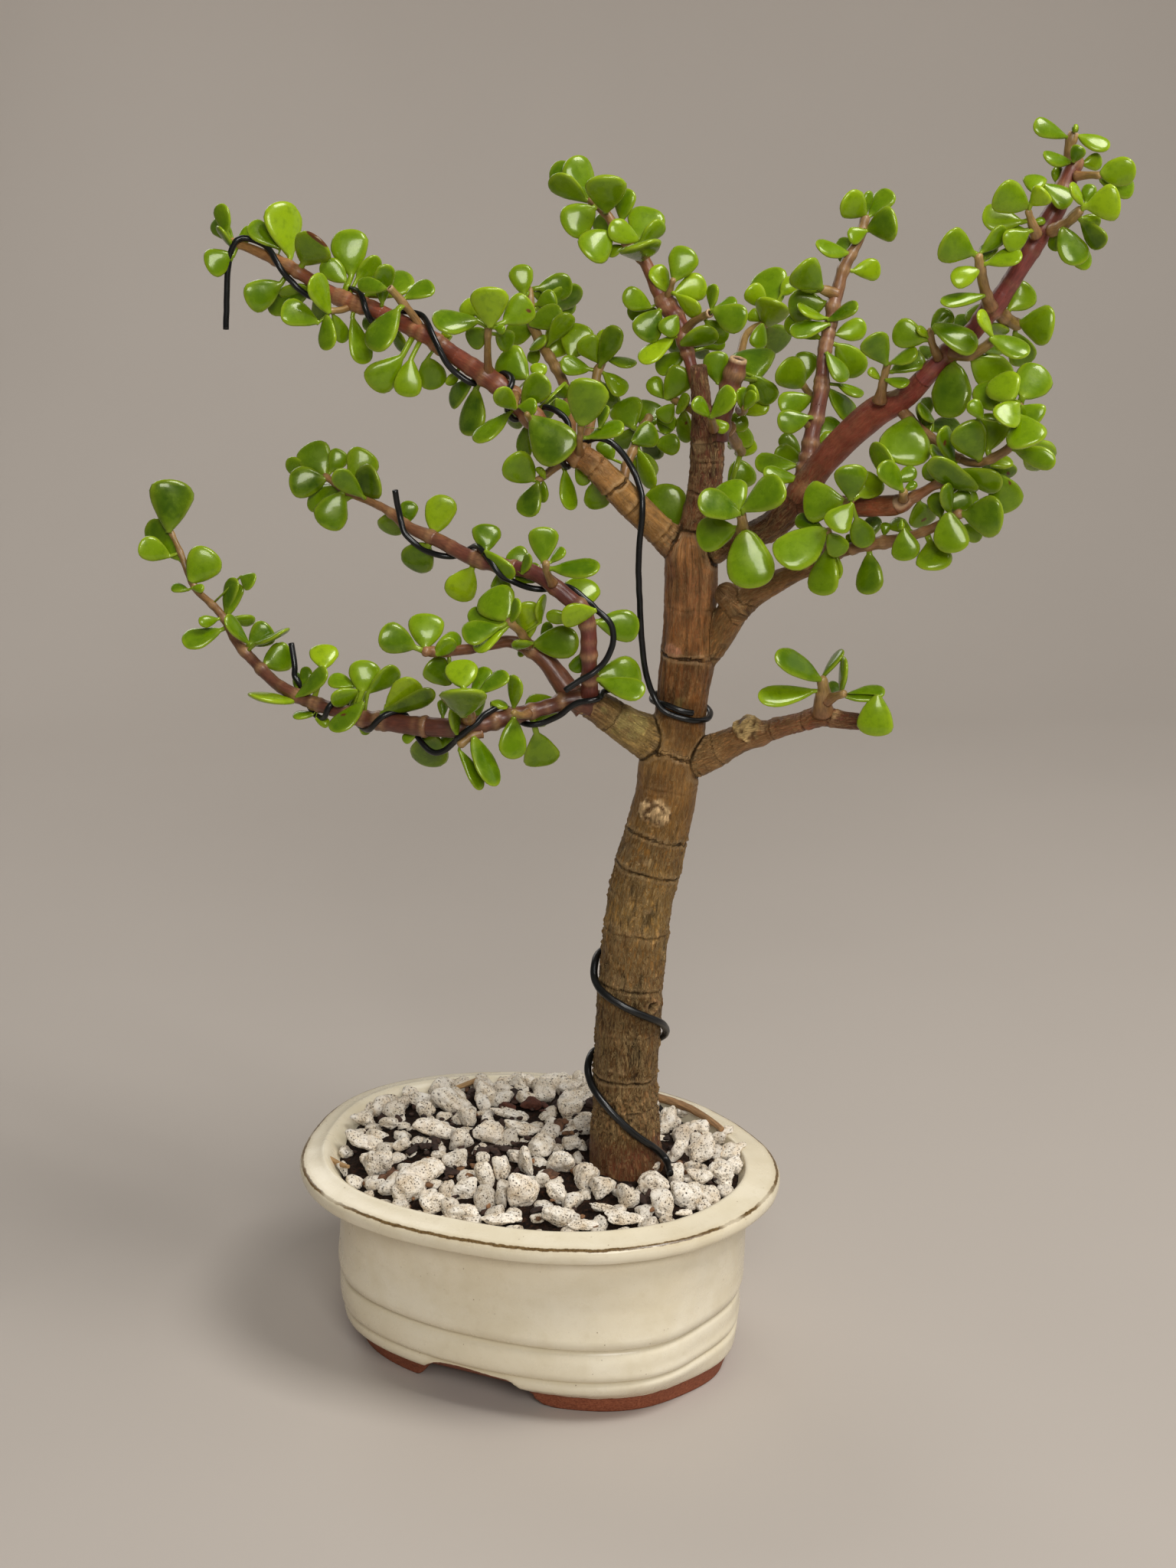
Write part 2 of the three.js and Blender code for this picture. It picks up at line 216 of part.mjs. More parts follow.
    [55.8,36.2,287.7,51.7,40.4,285.7,55.3,47.3,290.1,0.65,-0.62,0.44,8.1,1.9],
    [56.4,28,293.2,54.4,32.9,292.4,58.9,36.6,295.5,0.52,-0.82,0.23,5.8,1.4],
    [55.4,40.9,284.6,52.1,44.2,282.9,56.6,48.1,287.1,0.49,-0.84,0.25,6.3,1.5],
  ] },
  shoot_back_top: { stems: [
    [[60.36,23.23,307.08,1.53],[57.73,33.08,310.68,1.33],[55.57,44.29,318.26,1.12],[56.28,49.11,320.02,1.01],[58.03,54.44,320.67,1.02]],
  ], leaves: [
    [58,54.4,320.7,60.5,56.8,326.1,54.8,61.9,335.4,0.15,-0.83,0.54,11.3,2.5],
    [58,54.4,320.7,57.8,54.3,325.8,53.8,50.6,331.8,0.55,-0.82,-0.15,6.3,1.5],
    [58,54.4,320.7,58.5,53.9,320.3,63,47.4,328.5,0.11,-0.75,-0.66,10,2.4],
    [57.5,52.9,320.5,57.2,52.8,321.5,53.4,51.9,324.1,0.3,-0.94,0.14,4.1,1],
    [57.6,53,320.5,59.5,47.7,321.6,58.3,45.3,314.5,0.73,-0.68,0.1,5.4,1.3],
    [58,54.4,320.7,57.8,56.1,320.1,59.5,65.1,313.1,0.69,-0.52,-0.51,9.5,2.3],
    [58,54.4,320.7,61.5,57.3,328.9,65.1,60.5,333.2,0.49,-0.84,0.23,5,1.2],
  ] },
  branch_right: { stems: [
    [[50.75,15.11,254.71,4.23],[55.16,16.18,258.86,3.99],[72.89,18.28,266.74,4.17],[78.88,17.9,272,4.36],[82.9,17.66,276.64,4.33],[85.37,17.76,280.67,4.1]],
    [[83.48,17.94,277.28,3.9],[87.44,17.68,283.6,3.77],[96.43,17.67,293.67,4.16],[101.82,18.11,298.7,4.35],[106.6,18.25,302.24,4.22],[110.63,18.01,303.88,3.57],[113.37,18.25,305.62,3.15],[118.31,18.47,310.63,2.82]],
    [[104.98,15.21,303.19,2.1],[105.05,13.01,305.76,1.57],[105.17,11.95,308.18,1.46]],
  ], leaves: [
  ] },
  shoot_mast_low: { stems: [
    [[82.9,17.66,276.64,3.25],[83.68,19.16,282.11,2.6],[85.57,25.12,301.77,2.21]],
    [[84.75,26.39,302.13,1.52],[80.64,29.93,304.14,1.09],[78.19,32.06,305.97,0.87]],
    [[83.94,23.76,294.89,1.3],[83.03,18.84,298.09,0.97]],
    [[82.31,25.18,285.93,1.53],[76.97,33.69,285.31,1.11]],
  ], leaves: [
    [78.4,31.9,305.8,78.3,31.2,305.6,74.4,24.3,313.2,0.65,-0.7,-0.3,9.2,2.2],
    [78.2,32.1,306,78.2,32.5,306.6,78.1,34.5,315.2,0.35,-0.91,0.21,6.6,1.6],
    [82.5,28.3,303.2,82.9,26.4,303.1,75.1,20.3,301.5,0.58,-0.8,0.18,6.9,1.7],
    [85.1,23.9,297.8,85.1,19.3,298.8,77.6,13.4,297.7,0.54,-0.76,0.37,6.6,1.6],
    [77,33.7,285.3,76.6,34,286.1,71.1,33,291.3,0.57,-0.67,0.47,5.4,1.3],
    [77.9,32.3,285.4,77.8,31.5,284.8,71.5,26.6,287.4,0.63,-0.78,0.05,5.7,1.4],
    [84,19.9,284.5,81.4,19.7,285,69.6,16.6,286.2,0.24,-0.62,0.75,7,1.7],
    [83.5,18.8,280.9,82.6,16.6,281.6,74.4,10.3,283.9,0.56,-0.47,0.69,5.4,1.3],
    [84.5,22,291.5,84.2,26.8,290.6,90,31.6,295.6,0.48,-0.84,0.26,7.8,1.9],
    [84.3,20.8,287.4,85.2,23.7,286.7,90.5,28.4,292.4,0.46,-0.85,0.27,6.9,1.7],
  ] },
  shoot_mast_middle: { stems: [
    [[85.57,25.12,301.77,2.21],[85.51,27.88,309.49,1.94],[85.52,29,314.71,1.83],[85.87,32.53,321.82,1.73]],
  ], leaves: [
    [85.7,30.7,318.3,88,32.9,317.6,93.5,38.1,309,0.53,-0.83,-0.16,8.2,2],
    [85.6,29.5,315.8,87.1,26.5,316.1,92.3,26.9,307.7,0.74,-0.51,0.44,6.2,1.5],
    [85.7,27,307.4,89.9,29.1,306.9,96.8,30.8,303.9,0.43,-0.27,0.86,5.4,1.3],
    [85.8,26.5,306,87.4,27.7,305.7,93.5,33.3,296.6,0.85,-0.43,0.3,7,1.7],
    [85.8,32,320.9,87.9,33,320.3,94.6,38.3,322.7,0.51,-0.8,0.33,6.1,1.5],
  ] },
  shoot_mast_tip: { stems: [
    [[85.87,32.53,321.82,1.73],[86,33.7,323.84,1.62],[86.01,34.82,327.99,1.95],[86.45,37.27,332.04,1.84],[87.04,38.68,336.18,1.62],[89.21,41.99,342.73,1.51],[90.24,44.74,346.36,1.41],[90.87,47.28,351.49,1.19]],
    [[86.61,36.24,331.07,1.51],[84.43,34.04,332.27,1.51],[83.42,32.42,332.81,0.97]],
  ], leaves: [
    [83.4,32.4,332.8,84,30.9,333.4,79.4,23,340.2,0.69,-0.66,-0.31,9.7,2.3],
    [83.4,32.4,332.8,82.4,33.3,332.1,77,31.9,333.2,0.24,-0.21,0.95,4,1],
    [86,34.9,328.2,83.7,34.9,328.8,73.6,32.3,327.1,0.24,-0.97,0.07,9.3,2.2],
    [86,33.9,324.5,84.9,31.1,324.9,78.3,25.9,328.2,0.55,-0.18,0.82,6,1.4],
    [85.9,33.2,323,86.9,30.1,323.4,77.7,22.9,321.7,0.34,-0.6,0.73,5.9,1.4],
    [86,33.5,323.6,85.5,31.3,324.1,94.3,33.4,328.5,-0.11,-0.8,0.59,5.1,1.2],
    [87.6,39.5,338.2,89.4,40.4,337.3,96.2,45.7,337.2,0.61,-0.79,0.07,6.1,1.5],
    [88.8,41.5,341.8,88.7,40.2,342.2,80.7,34,344.9,0.61,-0.53,0.6,5.7,1.4],
    [90.5,45.8,348.6,92.9,43.7,348.3,88.3,40,346.2,0.57,-0.81,0.16,4.8,1.1],
    [90.5,45.9,348.8,91.8,46.6,348.4,101.3,44.7,351.2,-0.17,-0.98,-0.1,9.5,2.3],
    [90.9,47.3,351.5,91,46.9,352.6,86.9,39.6,357.5,0.72,-0.61,-0.32,8.2,2],
    [90.9,47.3,351.5,91.4,48.9,351.8,96.6,53.6,358.3,0.07,-0.84,0.55,6.7,1.6],
  ] },
  shoot_limb_knee: { stems: [
    [[107.64,13.18,304.79,1.67],[108.81,11.53,308.35,1.25],[110.67,10.22,315.14,0.93]],
  ], leaves: [
    [110.6,10.3,314.9,111.5,7.7,315.2,107.5,3.5,323.7,0.49,-0.85,-0.19,7.8,1.9],
    [110.7,10.2,315.1,111.9,9.7,315.6,118.8,11.4,318.9,-0.11,-0.78,0.62,4.6,1.1],
    [109.4,11,310.7,108.5,11.1,310.9,105.2,10.4,313.7,0.65,-0.36,0.67,3.1,0.7],
    [109.5,11,311,110.7,8.6,311.2,117,10.2,310,0.27,-0.42,0.86,4.7,1.1],
    [110.1,10.6,313.2,110.8,13.2,312.6,117.9,18.9,316.9,0.14,-0.7,0.7,7,1.7],
  ] },
  shoot_limb_middle: { stems: [
    [[118.31,18.47,310.63,2.82],[120.17,18.28,312.67,2.7],[124.12,19.12,316.8,2.69],[128.35,18.98,320.4,2.79],[132.24,19.8,324.47,2.57],[135.19,20.14,328.53,2.97],[139.41,20.56,333.78,2.6]],
    [[123.07,16.36,316.45,1.14],[122.51,13.86,319.35,1.03],[122.12,11.43,324.24,0.82]],
    [[127.19,13.94,318.45,1.64],[131.77,12.87,317.87,1.53],[136.26,11.74,319.72,1.42],[139.14,10.94,321.88,1.11]],
    [[137.03,16.59,330.09,1.73],[136.71,13.08,333.77,1.41],[136.47,10.73,337.31,1.41],[135.81,8.17,343.96,1.1]],
    [[136.06,22.81,329.52,1.85],[138.28,31.72,325.1,1.77],[139.44,34.53,324.04,1.46]],
  ], leaves: [
    [122,12.5,321.9,120.6,11.8,321.7,112.4,9.7,324.8,0.28,-0.95,0.11,7.6,1.8],
    [122.1,12.2,322.6,121.7,11.4,322.6,119,9.2,325.2,0.78,-0.39,0.48,2.9,0.7],
    [122.1,11.4,324.2,124,6.8,326.1,135.7,9.5,320.1,0.47,-0.6,0.64,7.9,1.9],
    [122.1,11.8,323.3,122.1,13.5,323.2,125.6,17,329.2,0.4,-0.87,0.27,5.5,1.3],
    [122.7,14.5,318.6,121.3,19.1,318.2,124.7,23.2,319.1,0.6,-0.35,-0.72,3.3,0.8],
    [136.7,13.1,333.7,137.2,10,333.8,127.5,2.5,332.1,0.34,-0.6,0.73,4.8,1.1],
    [136.1,9.4,340.6,136.1,8.4,340.6,130.2,3.6,337.4,0.38,-0.79,0.48,5.7,1.4],
    [135.8,8.2,344,134.9,7.7,344.6,127.7,0.2,347.9,0.7,-0.71,-0.09,9.2,2.2],
    [135.8,8.2,344,136.3,8.4,344.9,141.4,12.2,351.3,0.77,-0.59,-0.26,5.7,1.4],
    [136,9,341.7,137.6,8.7,342,146.8,11,344.1,0.04,-0.75,0.66,6.2,1.5],
    [136,20.2,329.3,133.5,24.3,330.2,128.4,23.2,326.1,-0.33,-0.74,0.59,4.8,1.1],
    [137.3,28.3,326.7,138.3,29.9,328.5,142.4,35,334.3,0.48,-0.79,0.37,7.9,1.9],
    [139.4,34.4,324.1,139.9,33.6,324.8,150.3,31.7,324.3,-0.17,-0.98,0.12,10.4,2.5],
    [139.4,34.5,324,138.5,35.2,321.9,140.7,38.4,312.5,0.36,-0.9,-0.23,7.5,1.8],
    [139.1,10.9,321.9,139,8.6,323.3,149.3,11.1,318.7,0.44,-0.62,0.65,7.1,1.7],
    [139.1,10.9,321.9,139.9,9.1,323.3,136.9,5.9,330.2,0.93,-0.14,0.33,5.5,1.3],
    [132.9,12.6,318.3,133.2,13.9,316.6,141.5,20.6,310,0.58,-0.81,-0.1,9.4,2.3],
    [124.5,19.1,317.1,126.9,18,315.2,127,14.7,300.6,0.04,-0.97,0.22,10.7,2.5],
  ] },
  shoot_limb_upper: { stems: [
    [[139.41,20.56,333.78,2.6],[143.9,21.11,341.17,2.53],[147.08,22.69,347.21,2.78]],
    [[148.2,18.78,348.63,1.4],[147.12,13.78,355.12,0.79]],
  ], leaves: [
    [147.9,17.5,350.3,147.6,14,350.1,142.1,9.5,346.8,0.54,-0.82,0.21,6.2,1.5],
    [147.7,16.9,351,146,16.1,350.3,137.4,13.8,351,0.24,-0.7,0.67,5,1.2],
    [147.4,15.4,353,145.3,15.5,352.3,135.1,12.9,354.2,0.3,-0.79,0.54,7.6,1.8],
    [147.1,13.8,355.1,147.1,13.8,356.3,139.4,7.7,360,0.58,-0.81,-0.09,8.7,2.1],
    [147.1,13.8,355.1,148,15.3,359.7,146.9,20,364.1,0.21,-0.65,0.73,6,1.4],
    [147.1,13.8,355.1,147.9,13,356.7,152.5,11.1,360.2,-0.16,-0.94,-0.3,5.9,1.4],
    [147.6,16.3,351.8,147,19.1,351.7,149.7,21.1,352.6,0.32,-0.69,0.65,2.4,0.6],
  ] },
  shoot_limb_tip: { stems: [
    [[147.08,22.69,347.21,2.78],[150.76,24.51,353.79,2.72],[152.19,26.33,357.22,2.52],[153.48,26.98,361.47,2.51],[154.37,28.53,364.9,2.41],[155.38,29.03,367.01,1.81]],
    [[154.26,28.48,362.96,1.81],[153.51,29.22,366.83,1.41],[153.23,29.09,369.55,1.31],[154.15,29.54,374.16,1.2]],
    [[155.91,25.95,363.44,1.2],[159.27,25.38,363.63,1],[162.86,23.82,363.67,0.89]],
    [[151.66,19.38,349.78,1.4],[154.91,17.64,351.06,1.39],[157.67,16.78,353.05,1.39],[160.31,14.73,355.27,1.08]],
  ], leaves: [
    [153.8,29.4,372.7,152.9,28.4,373.1,145.4,22.5,376.9,0.68,-0.56,0.47,5.3,1.3],
    [154.1,29.5,373.8,155.3,30.1,373.4,163.3,32.1,370.5,0.39,-0.69,0.61,5,1.2],
    [153.5,29.2,366.8,154.6,26.4,366.9,148.2,21.5,368.9,0.6,-0.57,0.56,4.5,1.1],
    [155.1,28.9,366.5,155.3,25.3,366.9,157.2,25.1,371.2,0.19,-0.98,-0.12,4,1],
    [153.2,26.8,360.5,151.4,28.9,360.8,150,29.4,365.9,0.79,-0.54,0.27,3.8,0.9],
    [154.2,29.5,374.2,154.4,28.7,374.6,155.7,26.5,375.9,-0.88,-0.47,0.09,2.1,0.5],
    [155.3,29,366.9,156.3,30.4,366.2,161,34.1,366.8,0.6,-0.8,0.08,4.4,1.1],
    [162.9,23.8,363.7,163.1,23.4,364.3,171.9,25.7,364.7,0.25,-0.97,0.04,7.3,1.8],
    [162.9,23.8,363.7,162.8,24.9,362.5,170.2,30.6,359.3,0.66,-0.64,0.39,6.4,1.5],
    [160.3,14.7,355.3,161.6,14.3,356.2,170.6,15.8,357.7,0.17,-0.99,0.04,8.9,2.1],
    [159.4,15.5,354.5,160.5,16,353.3,164.7,19.3,351.6,0.59,-0.8,-0.07,3.8,0.9],
    [160.3,14.7,355.3,161.2,14.1,356.6,158.4,11.2,362.1,0.9,-0.28,0.32,4.5,1.1],
    [160.3,14.7,355.3,161.7,15.4,357.1,162.5,16.9,361.7,0.29,-0.92,0.26,3.7,0.9],
    [159,15.8,354.2,160.6,15.5,352.7,167,16.6,346.5,-0.2,-0.91,-0.37,6.3,1.5],
    [154.8,17.7,351,155.7,14.7,351,161.4,15.1,341.8,0.51,-0.82,0.28,7.7,1.8],
    [153.6,18.3,350.5,153.2,20.4,350.1,152.6,21.3,344.6,-0.18,-0.97,-0.14,4,1],
    [152.9,26.7,359.4,148.6,20.1,361.8,156.1,21.7,356.3,0.54,-0.64,0.55,6.5,1.6],
  ] },
  shoot_right_inner: { stems: [
    [[111.02,18.2,303.03,1.68],[115.42,17.04,299.17,1.47],[128.93,12.58,290.99,1.14],[131.4,11.56,290.32,1.14]],
  ], leaves: [
    [120,15.3,296.3,122.4,15.5,299.4,118.5,12,304.1,0.81,-0.2,0.55,4.6,1.1],
    [114.8,17.2,299.7,116.2,14.6,300.6,117.1,5.9,288.9,0.32,-0.75,0.58,13.8,2.5],
    [122,14.7,295.1,121.3,16.5,294.7,119,18.2,299.6,0.01,-0.95,0.32,3.9,0.9],
    [130.7,11.8,290.5,130.4,9.4,288.4,127,5.2,299.6,0.87,-0.48,0.08,5.9,1.4],
    [128.9,12.6,291,128.3,11.2,289.1,123.5,7.2,293.6,0.77,-0.32,0.54,5,1.2],
  ] },
  shoot_right_tip: { stems: [
    [[131.4,11.56,290.32,1.14],[133.86,10.55,289.66,1.13],[138.4,9.46,290.24,1.13],[142.51,8.14,292.26,1.22],[145.74,7.51,294.53,1.22],[148.02,6.41,297.82,1.11],[148.77,5.67,306.38,0.9]],
  ], leaves: [
    [137.3,9.7,290.1,137.7,8.1,291,133.8,3.6,301.3,0.45,-0.87,-0.2,9.6,2.3],
    [140.5,8.8,291.2,139.4,9.4,293,140,12,302.8,0.28,-0.93,0.23,9.4,2.3],
    [139.5,9.1,290.8,139.8,10.4,289.1,145,14.3,290,0.35,-0.62,0.71,4.4,1.1],
    [148.5,5.9,301.2,139.6,3.7,302.3,135.8,3.2,307,0.5,-0.81,0.31,4.3,1],
    [148.7,5.6,304.6,141.6,6.6,304.6,137.4,10,311.1,0.08,-0.86,0.5,8.1,1.9],
    [148.8,5.7,306.4,149.5,4.9,308.1,152,12.3,315.3,0.45,-0.69,0.56,9.7,2.3],
    [148.8,5.7,306.4,149.4,2,307.1,145.9,-4.6,302.8,0.59,-0.64,0.49,7.6,1.8],
    [148.8,5.7,305.8,149,5,305.9,154.6,4.3,302,0.06,-0.96,0.28,7.6,1.8],
    [148.7,5.6,303.4,149.2,2.9,303.8,154.1,-2.8,296.2,0.02,-0.79,0.61,10.4,2.5],
    [148,6.4,297.8,150.9,8.9,296,153.2,18.8,289.5,0.71,-0.49,-0.5,9.3,2.2],
    [148.8,5.7,306.4,147.8,1.8,307.6,142,6.8,313.2,-0.12,-0.79,0.6,9.2,2.2],
  ] },
  branch_right_middle: { stems: [
    [[83.48,17.95,275.1,3.47],[99.26,13.49,275.19,2.88],[104.41,11.58,275.8,2.86],[115.08,9.06,277.65,2.72]],
  ], leaves: [
  ] },
  shoot_right_low: { stems: [
    [[115.08,9.06,277.65,2.72],[118.6,8.57,279.4,1.57],[127.5,7.4,284.44,1.24]],
    [[117.36,5.72,279.59,1.25],[118.28,2.83,281.98,1.03]],
  ], leaves: [
    [127.5,7.4,284.4,137.6,7.9,282.8,126.6,-1,291.8,0.18,-0.8,-0.58,7.7,1.9],
    [127.5,7.4,284.4,131.7,7.3,288,143.6,10.3,284.6,0.09,-0.88,-0.48,7.5,1.8],
    [127.5,7.4,284.4,140.4,13.8,286.8,143.4,17.7,275.9,0.4,-0.89,-0.21,9.3,2.2],
    [127.5,7.4,284.4,128.7,10.2,285.1,121.7,8.5,288.1,0.3,-0.94,0.16,5.8,1.4],
    [120,8.3,280.2,120.4,9.7,278.5,120.4,15.8,270.9,0.43,-0.7,-0.57,7.7,1.9],
    [126.7,7.4,284.1,129.4,8.8,276.8,134.6,13.8,281.7,0.47,-0.82,0.34,7.9,1.9],
    [118.3,2.8,282,118.4,1.2,282.9,113.5,-3.3,290.3,0.83,-0.51,0.23,6.5,1.6],
    [118.3,2.8,282,118.5,3.5,282.5,121,5.6,284.4,0.27,-0.81,0.53,2.6,0.6],
    [118.3,2.8,282,116.1,4,284.8,120.1,7.3,287.8,0.38,-0.83,0.41,4.2,1],
  ] },
  shoot_front_right: { stems: [
    [[96.51,9.89,276.06,1.49],[102.81,4.09,278.64,0.94]],
  ], leaves: [
    [100.9,5.9,277.9,100.9,5.7,278.1,89.1,4.3,277,0.1,-0.98,0.15,11,2.5],
    [102.8,4.1,278.6,103.4,2.5,279.1,103.8,0.4,289.1,0.34,-0.92,-0.21,8.8,2.1],
    [102.8,4.1,278.6,104.1,2.3,278.4,99.2,-2.3,271.9,0.42,-0.86,0.29,7.7,1.9],
    [102.8,4.1,278.6,104.2,5.9,279.7,107.2,12.7,284.3,0.6,-0.62,0.51,8,1.9],
    [102.8,4.1,278.6,103.5,6.7,273.6,106.1,9.8,265.5,0.47,-0.86,-0.18,6.7,1.6],
  ] },
  shoot_front_centre: { stems: [
    [[64.82,14.28,261.4,1.76],[68.86,7.35,266.21,1.52],[71.73,2.08,270.58,1.61],[72.5,-0.89,273.93,1.17]],
  ], leaves: [
    [72.5,-0.9,273.9,71.9,-0.6,274.7,65.9,4.1,282,0.1,-0.8,0.6,10.2,2.5],
    [72.5,-0.9,273.9,73,-2.7,274.5,63.2,-10.4,278.8,0.66,-0.53,0.54,8.9,2.1],
    [72.5,-0.9,273.9,73.3,-2.3,275.1,85.2,0.4,282.7,-0.07,-0.9,0.43,10,2.4],
    [70.5,4.3,268.7,69.1,4,269,58.3,1.3,265.5,0.21,-0.97,0.13,9.5,2.3],
    [70.6,4.2,268.8,72.5,1.9,269.1,76.4,0.1,253.2,0.37,-0.91,0.19,12.9,2.5],
  ] },
  branch_lower_right: { stems: [
    [[50.91,14.07,225.18,3.83],[55.37,15.17,229.94,4.04],[66.14,13.81,245.22,4.53],[76.12,14.3,251.68,3.29],[92.59,13.53,260.03,1.94],[100.36,12.36,263.58,1.6]],
  ], leaves: [
  ] },
  shoot_lower_right_inner: { stems: [
    [[94.35,9.94,262.56,1.5],[96.89,2.27,270.12,0.95]],
  ], leaves: [
    [96.9,2.3,270.1,96.4,1.8,270.8,85.5,-7.3,262.8,0.32,-0.81,0.49,11.3,2.5],
    [95,8.3,264.2,95.8,6.4,264.6,94.8,2.9,251.8,-0.22,-0.93,0.28,9.4,2.3],
    [94.4,9.8,262.7,95.9,10.6,262.5,96.1,11.7,254.7,-0.31,-0.94,-0.14,4.8,1.2],
    [96.8,2.9,269.6,97.3,1.7,269.8,100.3,4.8,263.5,0.53,-0.83,-0.15,6.1,1.5],
  ] },
  shoot_lower_right_outer: { stems: [
    [[100.36,12.36,263.58,1.6],[109,11.62,265.99,1.8],[113.75,10.63,267.11,1.69],[121.88,9.08,270.23,1.26],[133.12,5.72,276.5,1.24]],
  ], leaves: [
    [105.4,11.9,265.2,105.7,12.1,262.9,106.1,9.6,251.5,-0.14,-0.97,0.2,8.3,2],
    [117.1,9.9,268.3,117.5,5.7,272,118.6,4.1,262.9,0.31,-0.93,0.2,7.5,1.8],
    [117.3,9.9,268.4,117.8,3.4,274.5,117.9,2.7,271.7,-0.5,-0.84,0.21,2.1,0.5],
    [110.5,11.3,266.3,109.8,12.4,267.8,110.1,13.4,271.5,0.32,-0.92,0.23,3,0.7],
    [100.4,12.4,263.6,99,13.4,264.4,99.3,14.9,267.2,0.37,-0.83,0.42,3,0.7],
    [130.8,6.5,275,130.4,4.1,277.2,133.2,2.9,266.4,0.29,-0.94,0.18,9.1,2.2],
    [122.7,8.9,270.6,123.8,9.4,268,127.3,3.5,261,0.12,-0.72,0.68,9.6,2.3],
    [130.7,6.5,275,132.1,7.2,272.2,137.9,11.7,269.7,0.63,-0.78,0.06,5.2,1.2],
    [133.1,5.7,276.5,134.2,5.7,276.4,145.5,5.2,276.7,-0.05,-0.98,0.18,10.9,2.5],
    [131.2,6.4,275.3,129.2,6.5,278.4,134.7,10.8,280.5,0.53,-0.8,0.27,6.2,1.5],
  ] },
  branch_right_spur: { stems: [
    [[45.95,10.5,195.11,5.47],[51.48,12.13,197.63,5.11],[57.36,12.81,199.72,4.64],[62.61,13.18,202.76,3.95],[68.4,12.7,205.82,3.48],[74.16,13.33,207.63,3.02],[80.25,13,210.18,2.67],[85.94,13.58,211.97,2.55],[91.93,13.21,214.26,3.08],[95.58,12.78,214.04,2.85],[98.88,13.3,213.55,2.63],[102.89,13.06,213.79,2.51]],
  ], leaves: [
  ] },
  shoot_right_spur: { stems: [
    [[92.62,11.31,215.94,2.63],[93.1,9.32,219.87,2.18],[93.81,8.56,223.05,1.74],[93.75,7.41,226.46,1.3]],
    [[94.62,8.96,220.11,1.53],[100.93,5.39,223.59,0.97]],
  ], leaves: [
    [93.8,7.4,226.5,93.5,6.3,226.7,82.9,-2.2,234.8,0.73,-0.36,0.58,8.1,2],
    [93.7,8.7,222.6,91.6,7.6,223.1,78.2,-2.7,221.2,0.27,-0.5,0.82,7.3,1.8],
    [93.8,7.4,226.5,93.4,8.3,226.7,97.9,12.8,234.5,-0.7,-0.38,0.61,7.1,1.7],
    [100.1,5.9,223.2,99.8,6.6,223.2,99.6,8.9,233.5,-0.83,-0.55,0.1,7.5,1.8],
    [100.9,5.4,223.6,101,5.8,222.6,110.3,13,223.3,0.31,-0.48,0.82,5.9,1.4],
    [100.9,5.4,223.6,109.8,8.7,223.6,110.5,6.3,211.8,0.32,-0.93,0.2,9.9,2.4],
  ] },
  branch_left: { stems: [
    [[45.38,10.78,198.53,5.69],[39.94,7.52,203.55,6.36],[27.54,-5.32,216.1,4.48],[24.41,-7.99,218.08,3.8]],
  ], leaves: [
  ] },
  shoot_left_upright: { stems: [
    [[26.57,-6.92,215.94,2.68],[29.82,-12,227.09,2.32],[30.64,-13.83,234.37,2.3],[30.58,-13.86,241.1,2.29],[29.31,-14.49,246.04,2.4],[21.54,-16.11,252.69,2.4],[16.79,-16.23,255.71,2.29],[12,-16.38,257.18,2.19],[8.85,-16.26,257.39,2.19]],
    [[21.89,-18.17,254.23,1.3],[22.26,-22.45,258.61,0.97],[23.04,-24.3,261.19,0.97]],
  ], leaves: [
    [23,-24.2,261,22.1,-24,260.9,21.4,-22,271.1,0.45,-0.87,0.2,8.2,2],
    [23,-24.3,261.2,23.7,-22.8,261.2,27,-20,264.8,-0.17,-0.69,0.7,4,0.9],
    [22.5,-22.9,259.3,23.4,-22.7,259.4,37.4,-19,259.8,0.14,-0.62,0.77,7.5,1.8],
    [27.9,-14.7,247.3,26.2,-12.6,246.1,25.8,-4.9,253,0.49,-0.57,0.66,10.1,2.4],
    [29.6,-14.4,245,34.3,-15.3,246.8,26.1,-21.8,245.1,0.62,-0.71,-0.31,7.4,1.8],
    [30.3,-14,242.1,32.6,-12.9,242.8,42.3,-5.3,239.7,0.64,-0.75,0.16,9,2.1],
    [29.5,-11.3,225.8,30.1,-8.6,225.2,40.9,-0.3,224,0.61,-0.76,0.23,12,2.5],
    [30.5,-13.5,233.2,27,-11.9,232.5,24.8,-11.8,227.1,0.31,-0.94,-0.15,4.4,1.1],
  ] },
  shoot_left_inner: { stems: [
    [[8.85,-16.26,257.39,2.19],[-6,-15.25,259.34,2.22],[-18.74,-13.76,263.78,2.07]],
  ], leaves: [
    [-4.5,-15.4,259.1,-5.3,-15.9,256.4,-11.6,-16.7,247.2,0.29,-0.95,-0.11,9.1,2.2],
    [-1.5,-15.8,258.6,-1.3,-14.6,260.9,-2.3,-11.1,268.7,0.46,-0.79,0.42,8.2,2],
    [-2.6,-15.7,258.8,0.8,-19.6,262.8,9.5,-17.9,255.1,-0.03,-0.97,-0.24,5.5,1.3],
    [8.8,-16.3,257.4,10.9,-11.9,256.5,5.7,-12.1,261.8,0.35,-0.88,0.31,6.8,1.6],
    [8.8,-16.3,257.4,12.6,-19.4,256.5,16,-19.1,262.2,-0.41,-0.87,0.29,4.4,1.1],
    [8.8,-16.3,257.4,8.4,-15.4,253.8,15.6,-12.9,257,0.09,-0.87,0.48,5.7,1.4],
    [3.9,-16.1,257.9,2.8,-15.5,255,2.9,-12.4,248.8,0.57,-0.73,-0.36,5.7,1.4],
  ] },
  shoot_left_tip: { stems: [
